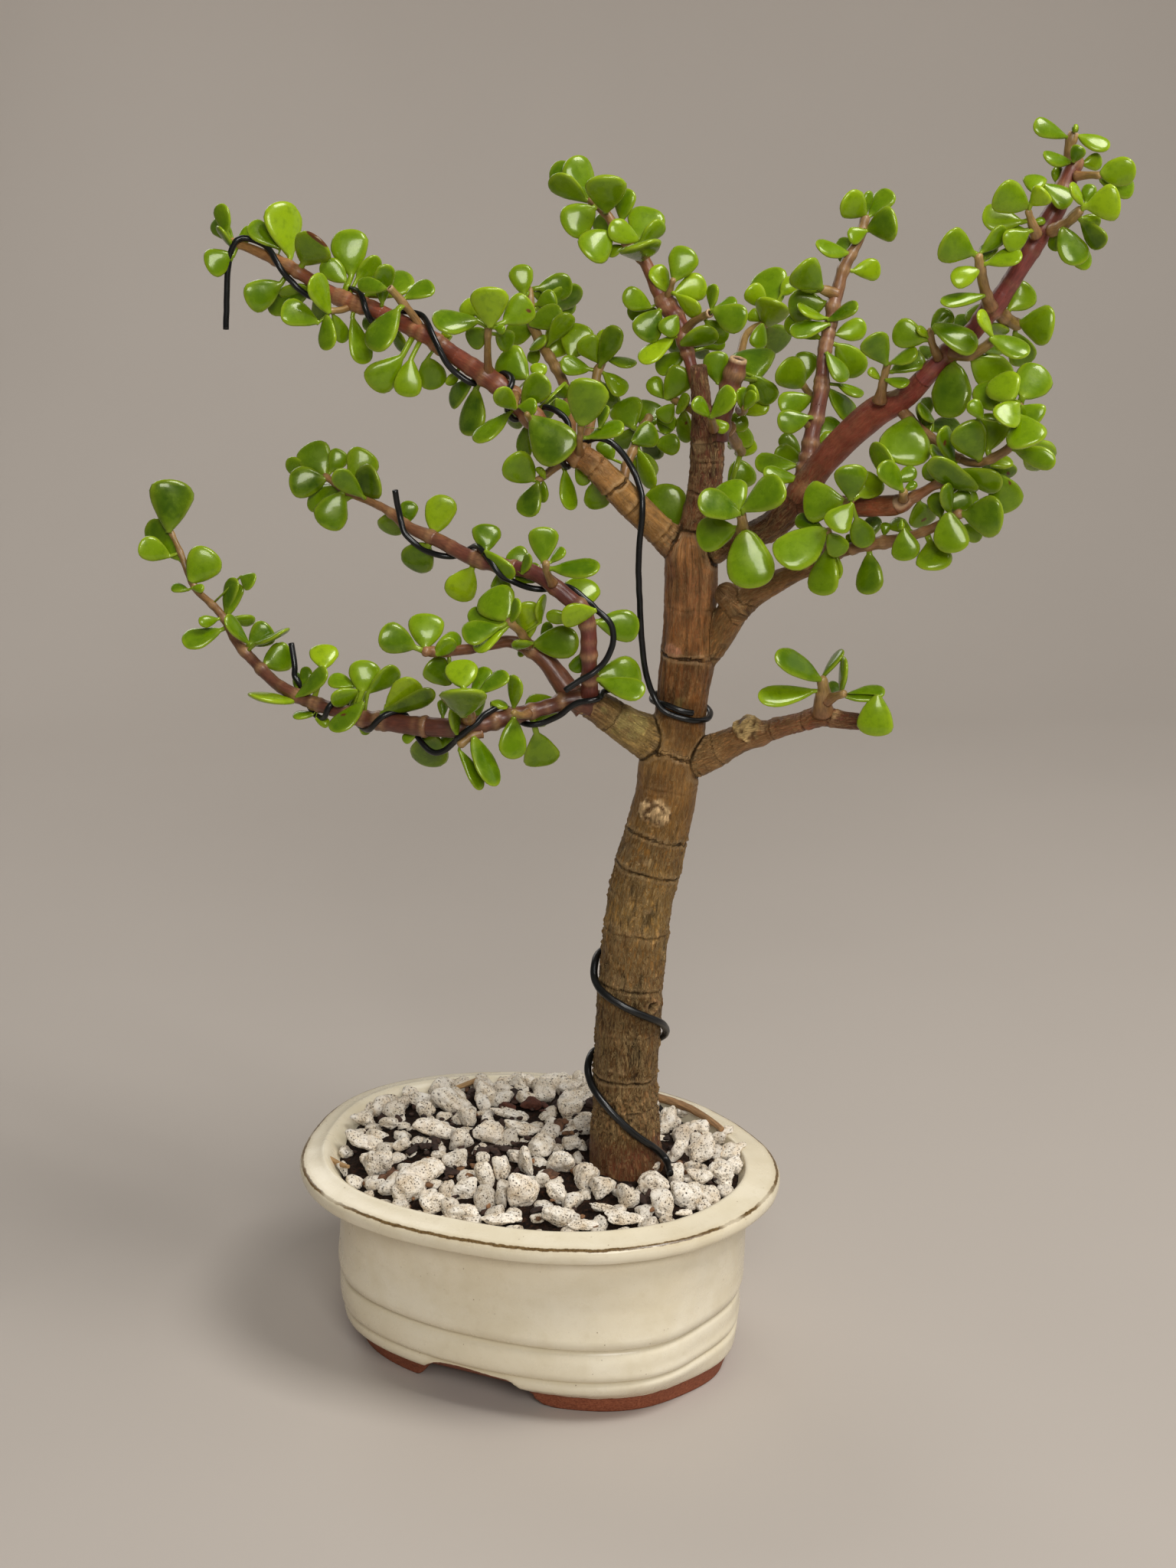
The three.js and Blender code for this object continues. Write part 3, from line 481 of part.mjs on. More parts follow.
    [[-18.74,-13.76,263.78,2.07],[-24.69,-13.35,265.49,1.79],[-29.16,-12.23,266.84,1.58],[-38.12,-9.97,271.18,1.25],[-53.4,-6.38,274.81,1.03],[-61.04,-4.59,278.53,0.92]],
  ], leaves: [
    [-34.3,-10.9,269.6,-34.7,-9.1,270.1,-40,-4.1,262.9,0.17,-0.75,-0.64,8.2,2],
    [-29.1,-12.2,266.8,-30.8,-8.6,266.8,-30.8,-7.1,273.2,0.5,-0.84,0.19,5.2,1.2],
    [-19.5,-13.7,264,-20.5,-14.2,261.8,-29.1,-10.8,253.8,0,-0.92,-0.39,9.8,2.4],
    [-19.8,-13.7,264.1,-19.8,-12.4,265.2,-16.8,-8.3,275.5,0.5,-0.85,0.19,8.7,2.1],
    [-61,-4.6,278.5,-61.4,-4,278.7,-68.3,-2.5,287.4,0.36,-0.83,0.43,10.4,2.5],
    [-60.4,-4.8,278.2,-60.6,-5.4,277.7,-69.2,-12.1,276.5,0.59,-0.79,0.16,9.2,2.2],
    [-60.6,-4.7,278.4,-60.3,-3.4,279.3,-57.4,-0.2,285.9,0.54,-0.83,0.16,6.2,1.5],
    [-53.8,-6.3,275,-52.2,-5.5,277.3,-48,-0.9,286.4,0.53,-0.83,0.17,9.9,2.4],
    [-51.5,-6.8,274.3,-51.5,-6,275.1,-39.5,-7.4,279.6,-0.09,-0.99,-0.08,10.7,2.5],
    [-53.5,-6.4,274.9,-53,-7.9,274.6,-56.7,-12.5,264.1,0.53,-0.83,0.17,9.8,2.4],
  ] },
  shoot_lower_left_upper: { stems: [
    [[25.53,-6.32,215.7,3.36],[21.15,-7.37,219.47,3.36],[13.86,-8.75,229.05,2.68],[9.56,-10.89,232.84,2.12],[5.09,-14.22,235.04,1.78],[-2.51,-25.8,234.7,1.54],[-8.62,-38.87,236.45,1.3]],
    [[11.45,-14.41,234.7,1.33],[12.39,-20.65,239.76,1.21],[11.9,-26.47,244.1,1.09]],
  ], leaves: [
    [11.9,-26.5,244.1,10.9,-26.4,244.2,3.6,-20.5,251.2,0.11,-0.69,0.71,11.3,2.5],
    [11.9,-26.5,244.1,10.4,-28.3,243,1.5,-35.3,240.9,0.31,-0.62,0.72,8,1.9],
    [12,-25.8,243.6,11.1,-27.3,242.2,4.1,-33.2,236.5,-0.33,-0.43,0.84,7.6,1.8],
    [12,-25.8,243.6,13.1,-27.3,244.4,16.2,-27.2,251,-0.53,-0.8,0.26,4.8,1.1],
    [11.7,-16.4,236.3,12.3,-15.8,236.7,13.6,-17.6,248.2,0.3,-0.94,-0.18,7.6,1.8],
    [12.2,-19.6,238.9,16.9,-17.3,242.1,18.1,-18.6,250.9,0.99,-0.05,-0.14,5.9,1.4],
    [10.6,-10.4,232,13.2,-9.1,235.9,15.8,-8.9,240.4,0.19,-0.98,-0.07,3.4,0.8],
    [9.9,-10.7,232.5,14.5,-16.9,236,9.4,-20.9,236,0.47,-0.6,-0.65,4.5,1.1],
    [9.7,-10.8,232.8,8.3,-8.6,232,5.3,-9.3,229.8,-0.18,-0.84,0.51,2.5,0.6],
    [10,-10.7,232.5,12.3,-12.7,234.6,25.3,-9.3,235.6,0.24,-0.95,0.22,9.3,2.2],
    [-8.6,-38.9,236.4,-11.1,-40.1,237.6,-18.9,-46.4,242.8,0.68,-0.73,0.12,8.5,2],
    [-8.6,-38.9,236.4,-9.2,-38.2,236.9,-10.9,-34,246.4,0.47,-0.77,0.43,10,2.4],
    [-7.3,-36,235.9,-6.6,-37.2,235.1,-2.1,-33.4,239.1,0.66,-0.75,-0.02,5,1.2],
    [-5.3,-31.7,235.2,-5.8,-29.7,225.1,-11.1,-34.5,231.9,0.69,-0.73,0.03,7.9,1.9],
  ] },
  shoot_lower_left_inner: { stems: [
    [[27.39,-6.51,216.85,3.35],[22.45,-10.08,217.95,2.79],[17.88,-13.46,216.73,2.23],[1.61,-24.87,212.72,2.56],[-4.8,-28.05,211.74,2.67],[-14.57,-30.66,211.66,2.4]],
    [[-0.35,-30.31,215.51,1.77],[4.18,-38.11,220.85,1.41],[6.86,-43.48,225.78,1.29]],
    [[1.61,-25.99,210.24,1.33],[-0.92,-28.36,209.44,1.22],[-3.09,-30.55,207.49,1.11]],
    [[14.17,-20.88,215.93,1.33],[13.59,-24.52,216.33,0.99],[13.25,-28.03,217.86,0.99]],
  ], leaves: [
    [6.9,-43.5,225.8,6,-43.9,228.5,2.9,-38.2,234.8,0.35,-0.61,0.71,9,2.2],
    [0.7,-32.1,216.7,2.8,-39.4,218.8,9.9,-48.7,230.2,0.2,-0.69,-0.69,12.7,2.5],
    [-5.4,-28.3,211.7,-3.5,-31.9,210.6,-3.1,-33.9,221.1,1,0.02,-0.03,6.9,1.7],
    [-2.8,-27.1,212,-4.3,-24,209.6,-2.3,-20.3,221.1,0.91,-0.42,-0.02,7.2,1.7],
    [6.9,-43.5,225.8,9.8,-42,226.8,16.7,-36.4,231.2,0.07,-0.66,0.75,5.9,1.4],
    [4.2,-23.1,213.3,3.2,-23.6,218.7,7.4,-20.2,217.4,0.45,-0.22,0.87,3.8,0.9],
    [-3.1,-30.5,207.5,-3.7,-30.9,206.1,3,-30.6,194.3,0.83,-0.3,0.46,5,1.2],
    [-0.5,-27.9,209.6,0.5,-29.6,209.9,6.9,-29.9,195.5,0.86,-0.31,0.39,8,1.9],
    [8.7,-19.8,214.4,10.1,-22.2,215,10.9,-24.6,202.8,0.78,-0.6,0.17,8.7,2.1],
    [9.3,-19.5,214.5,9.1,-20.3,216.9,10.5,-21.7,227.2,-0.21,-0.97,-0.11,5.8,1.4],
    [20.3,-11.7,217.4,18.5,-8.2,216.4,8.2,-10.2,212.4,0.13,-0.98,0.14,9.6,2.3],
    [12.9,-16.9,215.5,12.7,-13.7,208.6,11.3,-7.8,196.4,0.5,-0.76,-0.42,10.5,2.5],
  ] },
  shoot_lower_left_middle: { stems: [
    [[-14.57,-30.66,211.66,2.4],[-26.19,-31.96,212.23,2.02],[-35.3,-32.01,212.5,1.8],[-53.97,-31.22,215.67,1.48],[-60.21,-30.97,217.61,1.49],[-66.62,-29.68,219.79,1.38],[-73.55,-28.09,224.02,1.33]],
  ], leaves: [
    [-39.2,-31.9,213.1,-36.3,-31.7,220.7,-42.8,-36.8,218.1,0.67,-0.67,-0.33,6.1,1.5],
    [-36.2,-32,212.7,-33.6,-32.9,218,-41.1,-39.6,209.7,-0.03,-0.77,0.64,7.3,1.8],
    [-40.5,-31.9,213.4,-38,-30.7,221.5,-45.8,-32.7,223.8,0.36,-0.46,0.81,5.6,1.4],
    [-37.8,-32,212.9,-35.5,-30.9,220.1,-36.3,-27.4,229,0.51,-0.79,0.35,9,2.2],
    [-34.7,-32,212.5,-33.4,-31.4,220.2,-26.1,-25.1,226.6,0.76,-0.57,-0.32,7.3,1.8],
    [-27.9,-32,212.3,-27.2,-31.6,216.5,-17.7,-28.6,224.9,0.51,-0.82,-0.28,8.7,2.1],
    [-29.4,-32,212.3,-28,-33.5,215.2,-11.8,-29.3,221.9,0.4,-0.78,-0.48,6.2,1.5],
    [-14.6,-30.7,211.7,-13.2,-28.8,209.3,-20.2,-21.9,198.2,0.17,-0.78,-0.6,11.2,2.5],
    [-35.5,-32,212.5,-36.3,-31.9,210.7,-34.4,-30.1,207.4,0.7,-0.71,0,3.2,0.8],
    [-58.2,-31,217,-58.4,-32.3,215.5,-69.3,-40.9,218.2,0.17,0.1,0.98,10,2.4],
    [-58.5,-31,217.1,-57.7,-32.8,216.9,-47.3,-30.5,226,-0.2,-0.87,0.45,5.7,1.4],
    [-52.7,-31.3,215.5,-49.3,-29.6,225.6,-51.9,-23.9,231.3,0.43,-0.54,0.73,8.4,2],
    [-50.8,-31.4,215.1,-51.9,-31.9,212,-58.3,-33.7,211.4,-0.02,-0.3,0.96,4.5,1.1],
    [-50.2,-31.5,215,-51,-33,211.2,-46.9,-32,209.2,0.42,-0.78,0.47,3.2,0.8],
    [-72.8,-28.3,223.5,-72.3,-26.9,224.3,-66.9,-20.1,227.5,0.68,-0.67,0.3,8.8,2.1],
  ] },
  shoot_lower_left_tip: { stems: [
    [[-73.55,-28.09,224.02,1.33],[-79.51,-27.14,228.52,1.27],[-83.53,-25.78,231.69,1.16],[-89.55,-24.3,238.99,1.05],[-97.17,-23.62,244.47,0.93],[-100.54,-23.05,249.35,0.82],[-107.67,-21.01,262.27,0.7]],
  ], leaves: [
    [-91.8,-24.1,240.7,-83,-20.8,249.4,-77.1,-21.9,247.5,0,-0.88,0.48,5.6,1.3],
    [-87.5,-24.6,236.8,-86.2,-24,237.8,-83.1,-20.1,246.7,-0.06,-0.91,0.41,5.2,1.3],
    [-85.6,-25,234.6,-87.7,-26.1,233.6,-96.8,-33.4,229.9,0.2,-0.63,0.75,7.6,1.8],
    [-79.2,-27.2,228.3,-77.5,-26.3,229.9,-73.1,-21.1,234.8,0.6,-0.75,0.27,7.9,1.9],
    [-79.2,-27.2,228.3,-76.9,-27.2,230.2,-81.4,-31.9,239.8,0.92,-0.19,0.34,5.2,1.2],
    [-78.4,-27.3,227.6,-74.6,-27.6,230.7,-63.6,-24.7,234.5,-0.3,-0.12,0.95,7.9,1.9],
    [-107.2,-21.1,261.5,-107.4,-22.3,261.3,-107.5,-18.6,277.4,0.59,-0.79,0.18,12.9,2.5],
    [-103.8,-22,255.8,-106.6,-23.4,254.5,-113.7,-29.2,258.9,0.68,-0.72,0.13,7.3,1.7],
    [-99.1,-23.3,247.3,-99.3,-24.3,247.1,-94.1,-18.9,256.6,0.56,-0.82,0.15,10.5,2.5],
    [-98.1,-23.5,245.8,-100,-24.4,244.7,-105.2,-25.8,245.3,0.21,-0.37,0.91,3.7,0.9],
    [-98.1,-23.5,245.8,-98.3,-24.7,245.6,-94,-24.4,245.6,0.05,-0.97,0.23,2.8,0.7],
  ] },
};

// loose stones and litter on the gravel: [x, y, size x, size y, size z, turn]
const STONES = {
  pumice_stone_front: [-34, -31, 7.6, 6.0, 5.2, 0.4],
  pumice_stone_left: [-50, 4, 6.8, 5.6, 5.0, 1.1],
  pumice_stone_right: [56, 10, 6.4, 5.6, 5.0, 2.0],
  pumice_stone_middle: [4, -34, 7.0, 6.0, 5.4, 2.6],
  pumice_stone_back: [14, 36, 7.4, 6.0, 5.4, 0.2],
};
const STICK = [[21, 47.5, 2.4, 1.3], [32.5, 44.6, 2.6, 1.3], [39.5, 41.6, 2.5, 1.2], [46, 37.8, 2.3, 1.1], [50.5, 34.8, 2.0, 0.9]];

// ------------------------------------------------------------ helpers
function solid(geometry) {
  const g = geometry.clone();
  g.deleteAttribute('normal');
  g.deleteAttribute('uv');
  const m = mergeVertices(g, 1e-4);
  return new wasm.Manifold(new wasm.Mesh({
    numProp: 3,
    vertProperties: new Float32Array(m.attributes.position.array),
    triVerts: new Uint32Array(m.index.array),
  }));
}

function geometryOf(manifold) {
  const m = manifold.getMesh();
  const g = new THREE.BufferGeometry();
  const p = new Float32Array((m.vertProperties.length / m.numProp) * 3);
  for (let i = 0; i < p.length / 3; i++) {
    for (let k = 0; k < 3; k++) p[i * 3 + k] = m.vertProperties[i * m.numProp + k];
  }
  g.setAttribute('position', new THREE.BufferAttribute(p, 3));
  g.setIndex(new THREE.BufferAttribute(new Uint32Array(m.triVerts), 1));
  g.computeVertexNormals();
  return g;
}

function indexed(vertices, faces) {
  const g = new THREE.BufferGeometry();
  g.setAttribute('position', new THREE.BufferAttribute(new Float32Array(vertices.flat()), 3));
  g.setIndex(faces.flat());
  return g;
}

// rings of equal length, closed by a fan at each end
function loft(rings, startCentre, endCentre) {
  const n = rings[0].length;
  const v = rings.flat().map((p) => [p[0], p[1], p[2]]);
  const f = [];
  for (let r = 0; r + 1 < rings.length; r++) {
    for (let i = 0; i < n; i++) {
      const a = r * n + i, b = r * n + (i + 1) % n, c = a + n, d = b + n;
      f.push([a, b, d], [a, d, c]);
    }
  }
  const s = v.push(startCentre) - 1;
  const e = v.push(endCentre) - 1;
  const last = (rings.length - 1) * n;
  for (let i = 0; i < n; i++) {
    f.push([s, (i + 1) % n, i]);
    f.push([e, last + i, last + (i + 1) % n]);
  }
  return indexed(v, f);
}

function sidesFor(radius) {
  if (radius > 6) return 11;
  if (radius > 3) return 7;
  return 5;
}

// a tapered stem along its axis line
function stemGeometry(points, grow = 0) {
  const p = points.map((q) => new THREE.Vector3(q[0], q[1], q[2]));
  const sides = sidesFor(Math.max(...points.map((q) => q[3])));
  const dir = (i) => {
    const a = p[Math.max(0, i - 1)], b = p[Math.min(p.length - 1, i + 1)];
    return b.clone().sub(a).normalize();
  };
  if (grow) {
    p[0].addScaledVector(dir(0), -grow);
    p[p.length - 1].addScaledVector(dir(p.length - 1), grow);
  }
  let side = new THREE.Vector3(0.31, 0.83, 0.17);
  const rings = [];
  for (let i = 0; i < p.length; i++) {
    const t = dir(i);
    side = side.clone().addScaledVector(t, -side.dot(t)).normalize();
    const up = t.clone().cross(side);
    const r = (points[i][3] + grow) / Math.cos(Math.PI / sides) ** 0.5;
    const ring = [];
    for (let k = 0; k < sides; k++) {
      const a = (k / sides) * Math.PI * 2;
      const q = p[i].clone().addScaledVector(side, r * Math.cos(a)).addScaledVector(up, r * Math.sin(a));
      ring.push([q.x, q.y, q.z]);
    }
    rings.push(ring);
  }
  return loft(rings, p[0].toArray(), p[p.length - 1].toArray());
}

// a fleshy leaf: a faceted outline, narrow at the stem, and a raised middle on
// each face
function leafGeometry(l, grow = 0) {
  const v = (i) => new THREE.Vector3(l[i], l[i + 1], l[i + 2]);
  const root = v(0), base = v(3), tip = v(6), normal = v(9).normalize();
  const width = l[12], thick = l[13];
  const axis = tip.clone().sub(base);
  const length = axis.length();
  axis.normalize();
  const side = new THREE.Vector3().crossVectors(normal, axis).normalize();
  const face = new THREE.Vector3().crossVectors(axis, side).normalize();
  const at = (s, w) => base.clone().addScaledVector(axis, length * s).addScaledVector(side, width * w);
  const centre = at(0.6, 0);
  const outline = length > 11.5
    ? [root, at(0.55, 0.48), at(0.95, 0.29), at(0.95, -0.29), at(0.55, -0.48)]
    : [root, at(0.62, 0.49), tip, at(0.62, -0.49)];
  const points = outline.map((q) => {
    const d = q.clone().sub(centre);
    const n = d.length();
    return q.clone().addScaledVector(d, (grow * 1.25) / n).toArray();
  });
  const h = thick / 2 + grow * 1.2;
  points.push(centre.clone().addScaledVector(face, h).toArray());
  points.push(centre.clone().addScaledVector(face, -h).toArray());
  const f = [];
  const n = outline.length;
  for (let i = 0; i < n; i++) {
    const j = (i + 1) % n;
    f.push([i, j, n], [j, i, n + 1]);
  }
  return indexed(points, f);
}

function outward(manifold) {
  return manifold.volume() < 0;
}

function solidUp(geometry) {
  // the winding is turned where a mirrored outline left it inside out
  let m = solid(geometry);
  if (outward(m)) {
    const ix = Array.from(geometry.index.array);
    for (let i = 0; i < ix.length; i += 3) [ix[i], ix[i + 1]] = [ix[i + 1], ix[i]];
    const g = geometry.clone();
    g.setIndex(ix);
    m = solid(g);
  }
  return m;
}

function largest(manifold) {
  const parts = manifold.decompose();
  let best = parts[0];
  for (const q of parts) if (q.volume() > best.volume()) best = q;
  return best;
}

function union(list) {
  let level = list;
  while (level.length > 1) {
    const next = [];
    for (let i = 0; i < level.length; i += 2) {
      next.push(i + 1 < level.length ? level[i].add(level[i + 1]) : level[i]);
    }
    level = next;
  }
  return level[0];
}

function boxesMeet(a, b, margin) {
  const p = a.boundingBox(), q = b.boundingBox();
  for (let k = 0; k < 3; k++) {
    if (p.min[k] > q.max[k] + margin || q.min[k] > p.max[k] + margin) return false;
  }
  return true;
}

// joins the ends of edges shorter than a limit, where the surface stays closed
// and no neighbouring face turns over
function tidy(manifold, limit = 0.14) {
  const mesh = manifold.getMesh();
  const np = mesh.numProp;
  const pos = [];
  for (let i = 0; i < mesh.vertProperties.length / np; i++) {
    pos.push(new THREE.Vector3(mesh.vertProperties[i * np], mesh.vertProperties[i * np + 1], mesh.vertProperties[i * np + 2]));
  }
  let faces = [];
  for (let i = 0; i < mesh.triVerts.length; i += 3) faces.push([mesh.triVerts[i], mesh.triVerts[i + 1], mesh.triVerts[i + 2]]);
  const around = pos.map(() => new Set());
  faces.forEach((f, i) => f.forEach((v) => around[v].add(i)));
  const dead = new Set();
  const neighbours = (v) => {
    const out = new Set();
    for (const i of around[v]) for (const w of faces[i]) if (w !== v) out.add(w);
    return out;
  };
  const normal = (f, from, to) => {
    const [a, b, c] = f.map((v) => (v === from ? pos[to] : pos[v]));
    return b.clone().sub(a).cross(c.clone().sub(a));
  };
  const queue = [];
  faces.forEach((f) => {
    for (let k = 0; k < 3; k++) {
      const a = f[k], b = f[(k + 1) % 3];
      if (a < b && pos[a].distanceTo(pos[b]) < limit) queue.push([pos[a].distanceTo(pos[b]), a, b]);
    }
  });
  queue.sort((p, q) => p[0] - q[0]);
  const moved = new Map();
  const find = (v) => { while (moved.has(v)) v = moved.get(v); return v; };
  for (const [, a0, b0] of queue) {
    const a = find(a0), b = find(b0);
    if (a === b || pos[a].distanceTo(pos[b]) > limit * 1.5) continue;
    for (const [from, to] of [[b, a], [a, b]]) {
      const shared = [...around[from]].filter((i) => faces[i].includes(to));
      if (shared.length !== 2) break;
      const na = neighbours(from), nb = neighbours(to);
      const both = [...na].filter((v) => nb.has(v));
      if (both.length !== 2) break;
      let fine = true;
      for (const i of around[from]) {
        if (shared.includes(i)) continue;
        const before = normal(faces[i], -1, -1), after = normal(faces[i], from, to);
        const was = before.length(), is = after.length();
        if (is < 2e-3 || (was > 1e-3 && before.dot(after) < 0.5 * was * is)) { fine = false; break; }
      }
      if (!fine) continue;
      for (const i of shared) {
        dead.add(i);
        for (const v of faces[i]) around[v].delete(i);
      }
      for (const i of around[from]) {
        faces[i] = faces[i].map((v) => (v === from ? to : v));
        around[to].add(i);
      }
      around[from] = new Set();
      moved.set(from, to);
      break;
    }
  }
  faces = faces.filter((_, i) => !dead.has(i));
  const used = new Map(), p = [];
  const ix = faces.flat().map((v) => {
    if (!used.has(v)) { used.set(v, used.size); p.push(pos[v].x, pos[v].y, pos[v].z); }
    return used.get(v);
  });
  return new wasm.Manifold(new wasm.Mesh({ numProp: 3, vertProperties: new Float32Array(p), triVerts: new Uint32Array(ix) }));
}

// ------------------------------------------------------------ pot outline
// the hand-made oval of the lip, as a factor on the ellipse
function lipOval(a) {
  return 1.0138 + 0.0029 * Math.cos(a) + 0.0044 * Math.sin(a)
    - 0.0017 * Math.cos(2 * a) + 0.0004 * Math.sin(2 * a)
    + 0.0108 * Math.cos(3 * a) + 0.0003 * Math.sin(3 * a)
    - 0.0096 * Math.cos(4 * a) - 0.0059 * Math.sin(4 * a)
    + 0.0012 * Math.cos(5 * a) + 0.0092 * Math.sin(5 * a);
}

// the body under the lip is squarer, and fuller at one corner above the foot
function bodyOval(z) {
  const full = Math.min(Math.max((z - 8) / 6, 0), 1);
  return (a) => 1 + 0.0075 * Math.cos(a) - 0.0071 * Math.cos(3 * a) - 0.0172 * Math.cos(4 * a)
    - 0.0053 * Math.cos(5 * a) + 0.0099 * Math.cos(6 * a) + 0.0064 * Math.cos(8 * a)
    + 0.028 * full * Math.exp(-(((a - 5.725) / 0.245) ** 2));
}

function potRing(z, sx, sy, shift = 0, oval = lipOval) {
  const n = RIM_RINGS;
  const ring = [];
  for (let i = 0; i < n; i++) {
    const a = (i / n) * Math.PI * 2;
    const w = oval(a);
    ring.push([POT_HALF_LENGTH * sx * w * Math.cos(a) + shift, POT_HALF_WIDTH * sy * w * Math.sin(a), z]);
  }
  return ring;
}

// [z, scale along X, scale along Y, shift along X] up the outside of the body, over the lip and down the inside
const BODY = [
  [0, 0.828, 0.695, -0.5], [6.4, 0.861, 0.738, -0.65], [9.0, 0.872, 0.793, -0.55],
  [13.4, 0.874, 0.853, -0.2], [15.2, 0.861, 0.841, 0], [16.8, 0.873, 0.863, -0.15],
  [24.4, 0.879, 0.866, 0], [26.0, 0.866, 0.844, 0.1], [27.8, 0.880, 0.861, 0.2],
  [42.0, 0.892, 0.875, 1.35], [57.0, 0.889, 0.893, 1.6],
];
const LIP = [
  [58.9, 0.990, 0.985, 0], [62.4, 1.010, 1.006, 0], [64.2, 0.994, 0.984, 0],
];
const INSIDE = [
  [POT_HEIGHT, 0.898, 0.868, -1.0], [64.6, 0.885, 0.852, -0.3], [55.0, 0.795, 0.812, 0],
  [20.0, 0.780, 0.785, 0], [13.0, 0.740, 0.715, 0], [FLOOR_TOP, 0.680, 0.620, 0],
];

// ------------------------------------------------------------ pot, screens
const potShell = loft(
  [potRing(FOOT_RECESS, 0.694, 0.55, -0.5, bodyOval(0)), potRing(0, 0.709, 0.56, -0.5, bodyOval(0)),
    ...BODY.map((row) => potRing(...row, bodyOval(row[0]))),
    ...LIP.map((row) => potRing(...row)),
    ...INSIDE.map((row) => potRing(...row))],
  [0, 0, FOOT_RECESS], [0, 0, FLOOR_TOP],
);
let potSolid = solidUp(potShell);
function place(geometry, x, y, z) {
  geometry.translate(x, y, z);
  return geometry;
}
const drain = (x) => {
  const g = new THREE.CylinderGeometry(DRAIN_RADIUS, DRAIN_RADIUS, 20, 20);
  g.rotateX(Math.PI / 2);
  return solid(place(g, x, 0, FOOT_RECESS + 2));
};
potSolid = potSolid.subtract(drain(DRAIN_OFFSET)).subtract(drain(-DRAIN_OFFSET));
{
  // the arch in each long side of the foot, cut slanting up through the wall
  const s = new THREE.Shape();
  s.moveTo(ARCH[0][0], -1);
  for (const [x, z] of ARCH) s.lineTo(x, z);
  s.lineTo(ARCH[ARCH.length - 1][0], -1);
  const g = new THREE.ExtrudeGeometry(s, { depth: 160, bevelEnabled: false });
  g.rotateX(Math.PI / 2);
  const w = new THREE.Shape();
  w.moveTo(-80, -2);
  for (const y of [-70, -ARCH_IN, ARCH_IN, 70]) w.lineTo(y, ARCH_HEIGHT + Math.max(0, Math.abs(y) - ARCH_IN) * ARCH_SLANT);
  w.lineTo(80, -2);
  const h = new THREE.ExtrudeGeometry(w, { depth: 80, bevelEnabled: false });
  h.rotateX(Math.PI / 2);
  h.rotateZ(Math.PI / 2);
  potSolid = potSolid.subtract(solidUp(place(g, 0, 80, 0)).intersect(solidUp(place(h, -40, 0, 0))));
}
potSolid = largest(potSolid);

function plate(half, depth, x, y, z) {
  const s = new THREE.Shape();
  s.moveTo(-half, -half); s.lineTo(half, -half); s.lineTo(half, half); s.lineTo(-half, half);
  return solidUp(place(new THREE.ExtrudeGeometry(s, { depth, bevelEnabled: false }), x, y, z));
}
function screen(x) {
  let body = plate(SCREEN_SIDE / 2, SCREEN_THICK, x, 0, FLOOR_TOP + GAP);
  for (const i of [-1, 0, 1]) {
    for (const j of [-1, 0, 1]) {
      body = body.subtract(plate(2.4, SCREEN_THICK + 2, x + i * 7, j * 7, FLOOR_TOP + GAP - 1));
    }
  }
  return body;
}
const screens = { drain_screen_left: screen(-DRAIN_OFFSET), drain_screen_right: screen(DRAIN_OFFSET) };

// ------------------------------------------------------------ soil and gravel
// height of the gravel surface at a share rho of the way to the rim
function gravelTop(x, y, rho) {
  return GRAVEL_EDGE + GRAVEL_RISE * Math.pow(Math.max(0, 1 - rho * rho), 0.8) + 1.5 * (y / 50);
}
function pebbles(x, y) {
  return 0.9 * Math.sin(x * 0.62 + 1.3 * Math.sin(y * 0.35)) * Math.cos(y * 0.58 + 0.9 * Math.sin(x * 0.41))
    + 0.35 * Math.sin(x * 1.1 + y * 0.7);
}
function bed(topRings, lowRings, top, bottom) {
  // a lumpy bed inside the pot: rings below from the middle to the wall, then back on top
  const ring = (rho, [ex, ey], height) => potRing(0, ex * rho, ey * rho)
    .map(([x, y]) => [x, y, height(x, y, rho)]);
  const all = [...lowRings.map((r) => ring(r, BED_LOW, bottom)), ...topRings.map((r) => ring(r, BED_TOP, top))];
  return loft(all, [0, 0, bottom(0, 0, 0)], [0, 0, top(0, 0, 0)]);
}
const BED_LOW = [0.794, 0.806];            // the bed's edge on the soil, clear of the wall
const BED_TOP = [0.862, 0.836];            // and at the gravel's surface
const soilTop = (x, y, rho) => gravelTop(x, y, rho) - GRAVEL_DEPTH;
let soilSolid;
{
  const top = [1, 0.8, 0.5].map((rho) => potRing(0, BED_LOW[0] * rho, BED_LOW[1] * rho)
    .map(([x, y]) => [x, y, soilTop(x, y, rho)]));
  const low = [[FLOOR_TOP + GAP, 0.670, 0.608], [13.2, 0.731, 0.705], [20.2, 0.772, 0.776]]
    .map(([z, x, y]) => potRing(z, x, y));
  soilSolid = solidUp(loft([...low, ...top], [0, 0, FLOOR_TOP + GAP], [0, 0, soilTop(0, 0, 0)]));
}
for (const x of [-DRAIN_OFFSET, DRAIN_OFFSET]) {
  soilSolid = soilSolid.subtract(plate(SCREEN_SIDE / 2 + GAP, SCREEN_THICK + 2 * GAP + 1, x, 0, FLOOR_TOP - 1));
}
let gravelSolid = solidUp(bed(
  [1.0, 0.84, 0.66, 0.46, 0.24], [0.5, 0.8, 1.0],
  (x, y, rho) => gravelTop(x, y, rho) + pebbles(x, y) * (rho > 0.99 ? 0.4 : 1),
  (x, y, rho) => soilTop(x, y, rho) + GAP,
));

